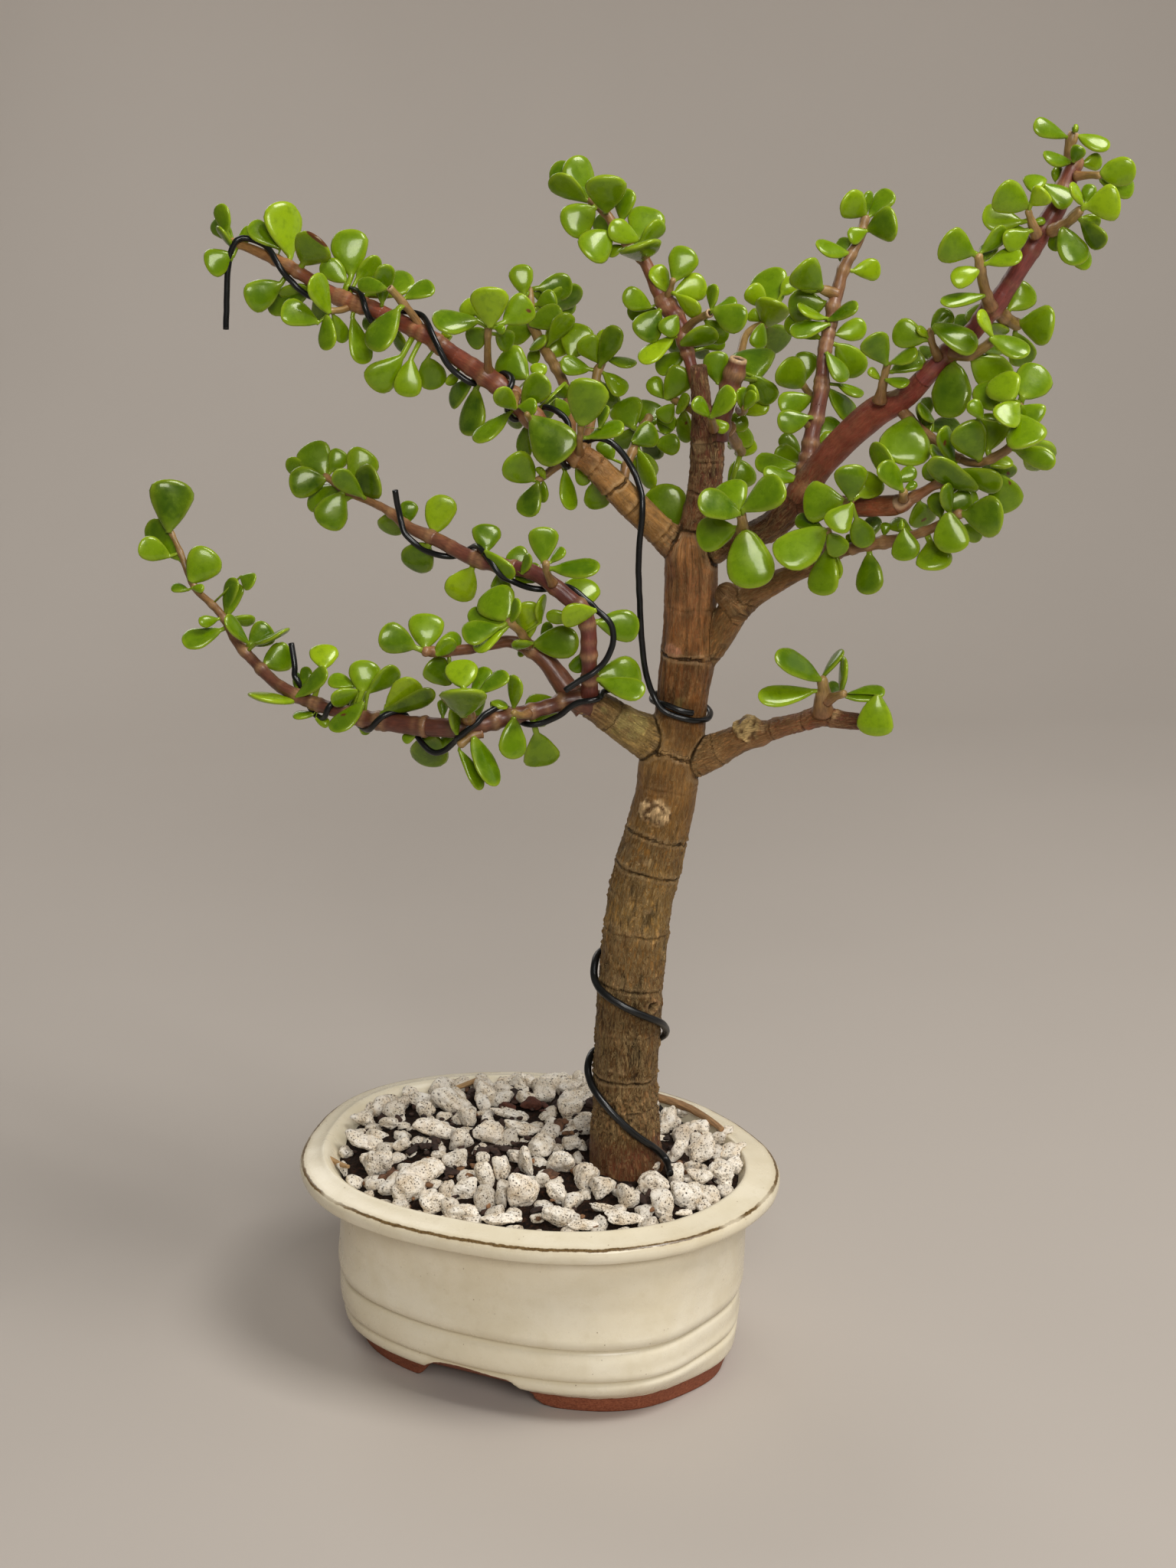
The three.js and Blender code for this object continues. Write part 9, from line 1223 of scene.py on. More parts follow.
def bark_material():
    k = Mat("bark")
    col = k.attr("col").outputs["Color"]
    grain = k.attr("grain").outputs["Vector"]
    amp = k.attr("amp").outputs["Fac"]
    # wavy fibres: thin pale crests between hollows darkened with painted shade
    wide = k.noise(0.82, 5, 0.62, vector=grain, distortion=1.5)
    fine = k.noise(1.7, 5, 0.62, vector=grain, distortion=0.8)
    speck = k.noise(1900.0, 3, 0.65)
    blot = k.noise(170.0, 4, 0.6)
    crest = k.span(k.math("ABSOLUTE", k.math("SUBTRACT", wide, 0.5)), 0.0, 0.07, 1.0, 0.0)
    hollow_shade = k.span(wide, 0.56, 0.68)
    c = k.mix(k.span(amp, 0.15, 0.6, 0.42, 1.0), col, k.mix(k.span(fine, 0.34, 0.66), (0.56, 0.51, 0.46), (1.42, 1.43, 1.42)), "MULTIPLY")
    c = k.mix(1.0, c, k.mix(k.span(blot, 0.32, 0.70), (0.74, 0.71, 0.67), (1.26, 1.26, 1.25)), "MULTIPLY")
    # painted shade: the hollows between the fibres are darkened almost to black
    c = k.mix(k.math("MULTIPLY", amp, k.math("MULTIPLY", hollow_shade, 0.85)), c, (0.030, 0.016, 0.007))
    c = k.mix(k.math("MULTIPLY", amp, k.math("MULTIPLY", crest, 0.78)), c, (0.52, 0.35, 0.155))
    c = k.mix(k.math("MULTIPLY", amp, k.span(speck, 0.60, 0.76, 0.0, 0.35)), c, (0.46, 0.32, 0.15))
    # rings and creases: a fine dark line of painted shade in the crease, with a paler lip
    at = k.math("ADD", k.attr("line_at").outputs["Fac"], k.span(k.noise(650.0, 2, 0.5), 0.3, 0.7, -0.14, 0.14))
    show = k.attr("line_show").outputs["Fac"]
    off = k.math("ABSOLUTE", at)
    line = k.math("MULTIPLY", k.span(off, 0.40, 0.12), show)
    lip = k.math("MULTIPLY", k.span(k.math("ABSOLUTE", k.math("SUBTRACT", off, 0.95)), 0.55, 0.10), show)
    c = k.mix(k.math("MULTIPLY", lip, 0.34), c, (0.50, 0.34, 0.18))
    # painted shade: the dark line down in the ring or crease
    c = k.mix(k.math("MULTIPLY", line, 0.86), c, (0.026, 0.013, 0.006))
    k.set(Base_Color=c, Roughness=k.math("ADD", k.span(amp, 0.1, 1.0, 0.27, 0.44), k.span(fine, 0.3, 0.7, 0.12, 0.0)), Coat_Weight=0.0)
    h = k.math("ADD", k.math("MULTIPLY", amp, k.math("ADD", k.math("MULTIPLY", fine, 0.7), k.math("MULTIPLY", crest, 0.5))),
               k.math("ADD", k.math("MULTIPLY", speck, 0.12), k.math("MULTIPLY", blot, 0.4)))
    h = k.math("SUBTRACT", h, k.math("MULTIPLY", line, 0.9))
    k.set(Normal=k.bump(h, 0.95, 0.0009))
    k.bsdf.inputs["Specular IOR Level"].default_value = 0.30
    k.bsdf.inputs["Specular Tint"].default_value = (1.0, 0.90, 0.72, 1.0)
    return k.m


def twig_material():
    k = Mat("young_bark")
    col = k.attr("col").outputs["Color"]
    grain = k.attr("grain").outputs["Vector"]
    fine = k.noise(2.2, 4, 0.55, vector=grain)
    blot = k.noise(260.0, 3, 0.6)
    c = k.mix(1.0, col, k.mix(k.span(fine, 0.34, 0.66), (0.76, 0.72, 0.70), (1.16, 1.14, 1.12)), "MULTIPLY")
    c = k.mix(1.0, c, k.mix(k.span(blot, 0.3, 0.7), (0.82, 0.80, 0.80), (1.14, 1.12, 1.08)), "MULTIPLY")
    k.set(Base_Color=c, Roughness=k.span(fine, 0.3, 0.7, 0.44, 0.30))
    k.bsdf.inputs["Subsurface Weight"].default_value = 0.04
    k.bsdf.inputs["Subsurface Radius"].default_value = (1.0, 0.5, 0.3)
    k.bsdf.inputs["Subsurface Scale"].default_value = 0.001
    k.set(Normal=k.bump(k.math("ADD", fine, k.math("MULTIPLY", blot, 0.6)), 0.3, 0.0002))
    return k.m


def leaf_material():
    k = Mat("leaf")
    edge = k.attr("edge").outputs["Fac"]
    along = k.attr("along").outputs["Fac"]
    tint = k.attr("tint").outputs["Fac"]
    mark = k.attr("mark").outputs["Fac"]
    blot = k.noise(220.0, 4, 0.55)
    vein = k.noise(520.0, 3, 0.6)
    fine = k.noise(1700.0, 2, 0.5)
    base = k.ramp(tint, [(0.0, tuple(srgb(44, 70, 0))), (0.35, tuple(srgb(72, 103, 1))), (0.7, tuple(srgb(104, 134, 3))), (1.0, tuple(srgb(150, 176, 16)))])
    c = k.mix(k.span(blot, 0.36, 0.70, 0.0, 0.42), base, tuple(srgb(124, 152, 8)))
    c = k.mix(k.span(vein, 0.50, 0.72, 0.0, 0.34), c, tuple(srgb(58, 88, 1)))
    c = k.mix(k.span(along, 0.0, 0.24, 0.50, 0.0), c, tuple(srgb(150, 168, 46)))
    # painted highlight: a paler rim along the leaf's margin and at its tip
    c = k.mix(k.math("MULTIPLY", edge, 0.46), c, tuple(srgb(178, 196, 46)))
    c = k.mix(k.span(fine, 0.63, 0.76, 0.0, 0.22), c, tuple(srgb(60, 94, 2)))
    c = k.mix(k.span(mark, 0.35, 0.62), c, tuple(srgb(94, 52, 26)))
    k.set(Base_Color=c, Roughness=k.span(blot, 0.3, 0.7, 0.20, 0.33))
    b = k.bsdf.inputs
    b["Subsurface Weight"].default_value = 0.08
    b["Subsurface Radius"].default_value = (0.8, 1.0, 0.06)
    b["Subsurface Scale"].default_value = 0.0013
    b["Specular IOR Level"].default_value = 0.34
    b["Specular Tint"].default_value = (0.95, 1.0, 0.50, 1.0)
    b["Coat Weight"].default_value = 0.34
    b["Coat Roughness"].default_value = 0.09
    h = k.math("ADD", blot, k.math("ADD", k.math("MULTIPLY", fine, 0.2), k.math("MULTIPLY", vein, 0.5)))
    k.set(Normal=k.bump(h, 0.16, 0.00025))
    return k.m


def stone_material():
    k = Mat("pumice")
    tone = k.attr("tone").outputs["Fac"]
    pit = k.attr("pit").outputs["Fac"]
    dirt = k.noise(240.0, 5, 0.65)
    stain = k.noise(90.0, 3, 0.55)
    pits = k.voronoi(950.0)
    pits2 = k.voronoi(1900.0)
    grit = k.noise(1700.0, 4, 0.72)
    c = k.ramp(dirt, [(0.30, tuple(srgb(206, 186, 158))), (0.42, tuple(srgb(232, 218, 196))), (0.56, tuple(srgb(244, 235, 220))), (0.78, tuple(srgb(252, 247, 238)))])
    c = k.mix(k.span(stain, 0.50, 0.74, 0.0, 0.36), c, tuple(srgb(204, 176, 142)))
    hole = k.math("MULTIPLY", k.span(pits, 0.32, 0.14), k.span(grit, 0.42, 0.52))
    hole2 = k.math("MULTIPLY", k.span(pits2, 0.36, 0.16), k.span(dirt, 0.66, 0.42))
    # painted shade: the small pits are darkened
    c = k.mix(k.math("MULTIPLY", hole2, 0.75), c, tuple(srgb(112, 90, 68)))
    c = k.mix(k.math("MULTIPLY", hole, 0.88), c, tuple(srgb(70, 52, 38)))
    c = k.mix(k.span(grit, 0.56, 0.70, 0.0, 0.48), c, tuple(srgb(138, 114, 88)))
    # painted shade: the stone's sunken holes are darkened
    c = k.mix(k.span(pit, 0.30, 0.85, 0.0, 0.85), c, tuple(srgb(62, 46, 34)))
    t = k.t.nodes.new("ShaderNodeCombineColor")
    for s in ("Red", "Green", "Blue"):
        k.link(tone, t.inputs[s])
    c = k.mix(1.0, c, t.outputs[0], "MULTIPLY")
    k.set(Base_Color=c, Roughness=0.93)
    h = k.math("SUBTRACT", k.math("MULTIPLY", grit, 0.8), k.math("ADD", hole, k.math("MULTIPLY", hole2, 0.5)))
    k.set(Normal=k.bump(h, 0.8, 0.0005))
    k.bsdf.inputs["Specular IOR Level"].default_value = 0.2
    return k.m


def soil_material():
    k = Mat("potting_soil")
    n = k.noise(700.0, 6, 0.7)
    v = k.voronoi(900.0)
    c = k.ramp(n, [(0.3, tuple(srgb(14, 9, 6))), (0.5, tuple(srgb(34, 22, 15))), (0.68, tuple(srgb(62, 39, 26))), (0.82, tuple(srgb(104, 72, 48)))])
    k.set(Base_Color=c, Roughness=0.95)
    k.set(Normal=k.bump(k.math("ADD", n, v), 0.9, 0.0008))
    k.bsdf.inputs["Specular IOR Level"].default_value = 0.15
    return k.m


def litter_material():
    k = Mat("bark_litter")
    col = k.attr("col").outputs["Color"]
    n = k.noise(900.0, 5, 0.65)
    c = k.mix(1.0, col, k.mix(k.span(n, 0.3, 0.7), (0.5, 0.48, 0.46), (1.35, 1.3, 1.25)), "MULTIPLY")
    k.set(Base_Color=c, Roughness=0.85, Normal=k.bump(n, 0.6, 0.0005))
    return k.m


def stick_material():
    k = Mat("dry_wood")
    col = k.attr("col").outputs["Color"]
    grain = k.attr("grain").outputs["Vector"]
    n = k.noise(2.0, 5, 0.65, vector=grain)
    c = k.mix(1.0, col, k.mix(k.span(n, 0.3, 0.7), (0.55, 0.52, 0.48), (1.25, 1.22, 1.18)), "MULTIPLY")
    k.set(Base_Color=c, Roughness=0.8, Normal=k.bump(n, 0.6, 0.0004))
    return k.m


def glaze_material():
    k = Mat("glazed_clay")
    gz = k.attr("gz").outputs["Fac"]
    rim = k.attr("rim").outputs["Fac"]
    worn = k.attr("worn").outputs["Fac"]
    pool_and_shadow = k.attr("pool_and_shadow").outputs["Fac"]
    big = k.noise(20.0, 4, 0.55)
    mid = k.noise(110.0, 5, 0.6)
    small = k.noise(420.0, 4, 0.6)
    fine = k.noise(1400.0, 4, 0.6)
    speck = k.voronoi(380.0)
    c = k.ramp(big, [(0.3, tuple(srgb(226, 213, 184))), (0.5, tuple(srgb(235, 224, 198))), (0.7, tuple(srgb(241, 232, 210)))])
    c = k.mix(k.span(mid, 0.42, 0.72, 0.0, 0.40), c, tuple(srgb(214, 200, 166)))
    c = k.mix(k.span(small, 0.56, 0.74, 0.0, 0.16), c, tuple(srgb(196, 178, 142)))
    # pooled glaze, and painted shadow in the band under the lip
    c = k.mix(k.math("MULTIPLY", pool_and_shadow, 0.62), c, tuple(srgb(196, 180, 142)))
    dots = k.math("MULTIPLY", k.span(speck, 0.11, 0.04), k.span(small, 0.52, 0.60))
    c = k.mix(k.math("MULTIPLY", dots, 0.8, True), c, tuple(srgb(132, 106, 74)))
    # brown where the glaze breaks over the lip's edge
    off = k.math("ABSOLUTE", k.math("ADD", rim, k.span(small, 0.3, 0.7, -0.22, 0.22)))
    thin = k.span(worn, 0.18, 0.42, 0.35, 1.0)
    halo = k.math("MULTIPLY", k.span(off, 1.9, 0.3, 0.0, 0.30), thin)
    line = k.math("MULTIPLY", k.span(off, 0.62, 0.34), thin)
    c = k.mix(halo, c, tuple(srgb(172, 146, 98)))
    brown = k.ramp(fine, [(0.35, tuple(srgb(84, 62, 32))), (0.65, tuple(srgb(124, 98, 58)))])
    c = k.mix(line, c, brown)
    clay = k.ramp(fine, [(0.3, tuple(srgb(116, 60, 38))), (0.5, tuple(srgb(146, 80, 52))), (0.7, tuple(srgb(170, 102, 70)))])
    clay = k.mix(k.span(mid, 0.4, 0.7, 0.0, 0.40), clay, tuple(srgb(122, 68, 45)))
    glaze = k.span(k.math("ADD", gz, k.span(small, 0.3, 0.7, -0.16, 0.16)), -0.10, 0.10)
    under = k.span(gz, -0.9, 0.0, 0.0, 0.45)
    clay = k.mix(under, clay, tuple(srgb(108, 58, 36)))
    c = k.mix(glaze, clay, c)
    rough_glaze = k.span(mid, 0.3, 0.7, 0.22, 0.34)
    rough = k.t.nodes.new("ShaderNodeMix")
    rough.data_type = "FLOAT"
    k.link(glaze, rough.inputs[0])
    rough.inputs[2].default_value = 0.86
    k.link(rough_glaze, rough.inputs[3])
    k.set(Base_Color=c, Roughness=rough.outputs[0])
    h = k.math("ADD", k.math("MULTIPLY", mid, 0.7), k.math("ADD", k.math("MULTIPLY", fine, 0.10), k.math("MULTIPLY", small, 0.15)))
    k.set(Normal=k.bump(h, 0.20, 0.0006))
    k.bsdf.inputs["Specular IOR Level"].default_value = 0.45
    return k.m


def wire_material():
    k = Mat("wire_coating")
    n = k.noise(900.0, 3, 0.5)
    m = k.noise(90.0, 3, 0.5)
    c = k.mix(n, tuple(srgb(9, 9, 9)), tuple(srgb(20, 20, 20)))
    k.set(Base_Color=c, Roughness=k.span(m, 0.3, 0.7, 0.22, 0.36), Normal=k.bump(n, 0.12, 0.0002))
    k.bsdf.inputs["Specular IOR Level"].default_value = 0.42
    return k.m


def mesh_plastic():
    k = Mat("drain_mesh")
    n = k.noise(700.0, 3, 0.5)
    k.set(Base_Color=k.mix(n, tuple(srgb(20, 21, 21)), tuple(srgb(48, 49, 48))), Roughness=0.55, Normal=k.bump(n, 0.2, 0.0003))
    return k.m


BARK, TWIG, LEAF = bark_material(), twig_material(), leaf_material()
STONE, SOIL, LITTER, STICK = stone_material(), soil_material(), litter_material(), stick_material()
GLAZE, WIRE, SCREEN = glaze_material(), wire_material(), mesh_plastic()

# ---------------------------------------------------------------- camera
cam_data = bpy.data.cameras.new("camera")
cam = bpy.data.objects.new("camera", cam_data)
bpy.context.scene.collection.objects.link(cam)
cam_data.sensor_fit = "AUTO"
cam_data.sensor_width = 36.0
cam_data.lens = CAMERA_LENS
cam_data.clip_start, cam_data.clip_end = 0.01, 50.0
_r, _u, _f = (np.array(v) for v in (CAMERA_RIGHT, CAMERA_UP, CAMERA_FORWARD))
_m = Matrix.Identity(4)
for _i in range(3):
    _m[_i][0], _m[_i][1], _m[_i][2] = _r[_i], _u[_i], -_f[_i]
    _m[_i][3] = (CAMERA_AT[_i] + OFF[_i]) * MM
cam.matrix_world = _m
bpy.context.scene.camera = cam

# ---------------------------------------------------------------- the wood
# trunk and main limbs are one body, so that the forks run into each other
# an old cut stub on the elbow of the right middle branch
STEMS["D4s"] = [(66.70, 13.59, 243.73, 3.90), (65.04, 13.02, 245.53, 3.80), (63.62, 12.43, 246.90, 3.60), (62.20, 11.83, 248.26, 3.30)]
CORE = [("T", 0, None), ("L", 0, None), ("R", 0, None), ("A", 0, 5.5), ("B", 0, None), ("B1", 0, None),
        ("DL", 0, None), ("D2", 0, 8.5), ("D3", 0, 5.5), ("D4", 0, 10.5), ("D4s", 0, None)]
CORE_NODES = ["trunk", "branch_left", "branch_right_spur", "branch_upper_left", "branch_centre",
              "branch_right", "branch_right_middle", "branch_lower_right"]
# colour along each stem: share of its length, colour
# painted light: the trunk's last stop is lightened to brighten its top, which lies in the shade of the leaves
C_TRUNK = [(0.0, srgb(60, 29, 18)), (0.10, srgb(72, 40, 23)), (0.16, srgb(94, 63, 34)), (0.3, srgb(92, 65, 34)), (0.38, srgb(98, 71, 38)), (0.45, srgb(114, 84, 46)), (0.53, srgb(146, 117, 70)), (0.60, srgb(124, 93, 46)), (0.68, srgb(126, 92, 45)), (0.8, srgb(112, 77, 40)), (0.88, srgb(112, 70, 37)), (1.0, srgb(154, 105, 68))]
TONES = {
    "T": C_TRUNK,
    "L": [(0, srgb(146, 118, 70)), (0.5, srgb(164, 144, 92)), (1, srgb(106, 66, 44))],
    "R": [(0, srgb(130, 98, 60)), (0.45, srgb(146, 108, 74)), (0.7, srgb(128, 74, 52)), (1, srgb(112, 66, 48))],
    "A": [(0, srgb(138, 104, 58)), (0.22, srgb(142, 104, 60)), (0.38, srgb(122, 68, 44)), (0.6, srgb(128, 64, 46)), (0.85, srgb(136, 80, 52)), (1, srgb(162, 124, 66))],
    "B": [(0, srgb(98, 62, 40)), (0.5, srgb(94, 52, 38)), (1, srgb(100, 58, 44))],
    "B1": [(0, srgb(96, 52, 42)), (1, srgb(86, 50, 42))],
    "B2": [(0, srgb(96, 52, 44)), (1, srgb(114, 70, 50))],
    "B3": [(0, srgb(122, 70, 54)), (0.5, srgb(132, 74, 56)), (1, srgb(144, 114, 66))],
    "DL": [(0, srgb(120, 86, 54)), (0.6, srgb(102, 66, 44)), (1, srgb(106, 60, 44))],
    "D1": [(0, srgb(106, 62, 48)), (0.5, srgb(116, 70, 54)), (1, srgb(134, 104, 64))],
    "D2": [(0, srgb(120, 66, 52)), (0.4, srgb(134, 64, 56)), (0.75, srgb(126, 60, 54)), (1, srgb(124, 70, 52))],
    "D3": [(0, srgb(114, 66, 48)), (0.5, srgb(140, 76, 56)), (1, srgb(144, 100, 64))],
    "D4": [(0, srgb(136, 102, 62)), (0.5, srgb(132, 94, 62)), (1, srgb(142, 106, 66))],
    "D4s": [(0, srgb(132, 96, 62)), (1, srgb(112, 78, 50))],
    "E": [(0, srgb(134, 98, 60)), (1, srgb(142, 112, 66))],
    "La": [(0, srgb(100, 52, 42)), (0.5, srgb(106, 54, 46)), (1, srgb(152, 116, 72))],
    "Lb": [(0, srgb(92, 52, 36)), (0.35, srgb(94, 52, 38)), (0.7, srgb(106, 66, 48)), (1, srgb(142, 114, 62))],
    "Lc": [(0, srgb(110, 66, 46)), (1, srgb(130, 86, 56))],
}
YOUNG = [(0, srgb(132, 92, 58)), (1, srgb(148, 124, 68))]


def tone_at(name, share):
    rows = TONES.get(name, YOUNG)
    x = [r[0] for r in rows]
    return np.stack([np.interp(share, x, [r[1][k] for r in rows]) for k in range(3)], -1)


def stem_points(name, a=0, b=None):
    P = np.array(STEMS[name], float)
    return section(name, a, len(P) - 1 if b is None else b)


def core_wood():
    bag = Bag()
    segs = []
    for idx, (name, a, b) in enumerate(CORE):
        P = stem_points(name, a, b)
        if name == "T":
            P = np.vstack([[P[0, 0] - 0.5, P[0, 1], 42.0, 12.6], P])
        q, s = resample(P, 1.0)
        if name != "T":
            r0 = q[0, 3]
            q[:, 3] += 0.30 * r0 * np.exp(-s / (1.0 * r0))
        if name == "R":
            q[:, 3] *= np.interp(s, [0, 8, 16, 24, 30.6, 31.8, 38, 46, 52], [1, 1.04, 1.10, 1.16, 1.30, 1.02, 1.10, 1.12, 1])
        # resampled axis, as rows again
        V, F, sv, tv, rv, length = tube(q, 0.9, 40 if name == "T" else 28, "flat", "flat" if name == "B1" else "round")
        bag.add(V, F)
        T, N, B = frames(q[:, :3])
        full = np.r_[0, np.cumsum(np.linalg.norm(np.diff(np.array(STEMS[name])[:, :3], axis=0), axis=1))][-1]
        for k in range(len(q) - 1):
            segs.append((*q[k, :3], *q[k + 1, :3], q[k, 3], q[k + 1, 3], s[k], s[k + 1] - s[k], idx, *N[k], full))
    ob = bag.build("trunk_and_limbs")
    mod = ob.modifiers.new("r", "REMESH")
    mod.mode = "VOXEL"
    mod.voxel_size = 0.00058
    mod = ob.modifiers.new("s", "SMOOTH")
    mod.factor = 0.5
    mod.iterations = 4
    apply_mods(ob)
    V, n = points_of(ob)
    S = np.array(segs)
    A, Bp = S[:, :3], S[:, 3:6]
    AB = Bp - A
    L2 = (AB**2).sum(1)
    best = np.zeros(len(V), int)
    bt = np.zeros(len(V))
    # distance to every stem, and how far along it
    first = np.searchsorted(S[:, 10], np.arange(len(CORE)))
    near = np.zeros((len(V), len(CORE)))
    along = np.zeros((len(V), len(CORE)))
    for c in range(0, len(V), 6000):
        p = V[c:c + 6000]
        t = np.clip(((p[:, None] - A) * AB).sum(2) / L2, 0, 1)
        d = np.linalg.norm(p[:, None] - (A + t[..., None] * AB), axis=2) - (S[:, 6] + (S[:, 7] - S[:, 6]) * t)
        k = d.argmin(1)
        at = np.arange(len(p))
        best[c:c + 6000] = k
        bt[c:c + 6000] = t[at, k]
        for i in range(len(CORE)):
            lo = first[i]
            hi = first[i + 1] if i + 1 < len(CORE) else len(S)
            j = d[:, lo:hi].argmin(1) + lo
            near[c:c + 6000, i] = d[at, j]
            along[c:c + 6000, i] = np.clip((S[j, 8] + S[j, 9] * t[at, j]) / S[j, 14], 0, 1)
    blend = np.exp(-(near - near.min(1)[:, None]) / 1.4)
    blend /= blend.sum(1)[:, None]
    row = S[best]
    ax = row[:, :3] + bt[:, None] * (row[:, 3:6] - row[:, :3])
    T = (row[:, 3:6] - row[:, :3])
    T /= np.linalg.norm(T, axis=1)[:, None]
    N = row[:, 11:14]
    N = N - T * (N * T).sum(1)[:, None]
    N /= np.linalg.norm(N, axis=1)[:, None]
    Bn = np.cross(T, N)
    d = V - ax
    th = np.arctan2((d * Bn).sum(1), (d * N).sum(1))
    rad = row[:, 6] + (row[:, 7] - row[:, 6]) * bt
    s = row[:, 8] + row[:, 9] * bt
    stem = row[:, 10].astype(int)
    share = np.clip(s / row[:, 14], 0, 1)
    # bark coordinates: round the stem, and stretched along it
    grain = np.stack([rad * np.cos(th), rad * np.sin(th), s * 0.22 + stem * 37.0], 1)
    col = np.zeros((len(V), 3))
    for i, (name, a, b) in enumerate(CORE):
        col += tone_at(name, along[:, i]) * blend[:, i:i + 1]
    isT = stem == 0
    is_low = isT & (s < 205)
    # old bark is ridged along the stem
    names = [c[0] for c in CORE]
    coarse = {"L": 0.42, "R": 0.45, "A": 0.16, "B": 0.45, "B1": 0.55, "DL": 0.60, "D2": 0.10, "D3": 0.14, "D4": 0.42, "D4s": 0.6}
    # the trunk is roughest low down and smooth above the lowest forks
    own = 1.3 - 1.02 * smooth(112, 150, s)
    rough = np.zeros(len(V))
    for i, nm in enumerate(names):
        rough += blend[:, i] * (own if nm == "T" else coarse[nm])
    node = (stem == names.index("B")) * smooth(18, 30, s)
    rough = rough + 0.35 * node
    # wavy fibres: sharp crests, wandering as they run up the stem
    g = grain * np.array([0.48, 0.48, 0.42])
    g = g + 0.55 * np.stack([vnoise(V / 3.0, 101), vnoise(V / 3.0, 102), 0.5 * vnoise(V / 3.0, 103)], 1)
    n1, n2 = vnoise(g, 3), vnoise(g * 2.1, 5)
    crest = (1 - np.minimum(1, np.abs(n1) * 3.2)) * 0.6 + (1 - np.minimum(1, np.abs(n2) * 3.0)) * 0.4
    ridge = n1 * 0.55 + n2 * 0.45
    lump = fbm(V / 7.0, 3, 8)
    disp = (0.30 * ridge + 0.66 * crest ** 1.5 - 0.16) * rough + 0.30 * lump * np.where(isT, 1.0, 0.45) + 0.30 * node * fbm(V / 2.2, 3, 33)
    fine = vnoise(grain * np.array([3.2, 3.2, 2.4]), 15)
    disp += 0.08 * fine * rough
    # painted shade: the bark darkens in the sunken cracks between the ridges
    crack_shade = smooth(0.15, 0.60, -ridge)
    col *= (1.0 - 0.78 * crack_shade * np.clip(rough * 1.25, 0, 1))[:, None]
    pale = 0.85 * (crest ** 2 * np.clip(rough * 1.2, 0, 1) * smooth(-0.35, 0.35, fbm(V / 4.0, 2, 23)))[:, None]
    col = col * (1 - pale) + srgb(196, 162, 116) * pale
    # long folds of the skin up the smooth part, and creases where a limb leaves the trunk; the folds' colour carries
    # painted shade in the hollows and painted highlight on the raised parts
    fold = vnoise(np.stack([np.cos(th) * 2.6, np.sin(th) * 2.6, s / 26 + 3.0 * stem], 1), 25)
    fold2 = vnoise(np.stack([np.cos(th) * 6.0, np.sin(th) * 6.0, s / 14 + 3.0 * stem], 1), 26)
    skin = smooth(150, 185, s) * isT + 0.7 * np.isin(stem, [names.index("DL"), names.index("L"), names.index("A")])
    disp += skin * (0.26 * fold - 0.34 * (1 - np.minimum(1, np.abs(fold2) * 4.2)))
    # painted light: darker in the fold's hollows, lighter on its raised parts
    col *= (1.0 + skin * (0.26 * fold - 0.50 * (1 - np.minimum(1, np.abs(fold2) * 4.2))))[:, None]
    # signed distance to the nearest ring or crease, and how strongly that shows
    line_at = np.full(len(V), 9.0)
    line_show = np.zeros(len(V))
    for nm, deep in (("R", 1.0), ("L", 0.7), ("DL", 1.0), ("A", 0.8), ("B", 0.6)):
        e = near[:, 0] - near[:, names.index(nm)]
        part = smooth(-0.55, 0.2, vnoise(V / 5.0, 27))
        crease_shade = np.exp(-((e + 0.5 * vnoise(V / 1.6, 28)) / 0.42) ** 2) * (np.maximum(near[:, 0], near[:, names.index(nm)]) < 1.6) * part * deep
        disp -= 0.42 * crease_shade
        # painted shade: the colour darkens in the sunken crease where the limb leaves the trunk
        col *= (1.0 - 0.62 * crease_shade)[:, None]
        reach = np.maximum(near[:, 0], near[:, names.index(nm)])
        e2 = e + 0.30 * vnoise(V / 2.6, 29)
        new = (reach < 2.4) & (np.abs(e2) < np.abs(line_at))
        line_at[new] = e2[new]
        line_show[new] = ((0.25 + 0.75 * part) * deep * (1 - smooth(1.3, 2.3, reach)))[new]
        swell = np.exp(-((e - 1.3) / 0.9) ** 2) * (near[:, names.index(nm)] < 1.4) * deep
        disp += 0.22 * swell
        # painted highlight: the colour lightens on the raised swelling beside the crease
        col *= (1.0 + 0.14 * swell)[:, None]
    # broad patches, from dark brown to gold
    patch = fbm(V / 9.0, 3, 21)[:, None]
    col *= 1.10 + 0.34 * patch + 0.26 * fbm(V / 2.2, 3, 22)[:, None]
    col *= 1.0 + 0.10 * patch * np.array([0.0, 0.4, -1.0])
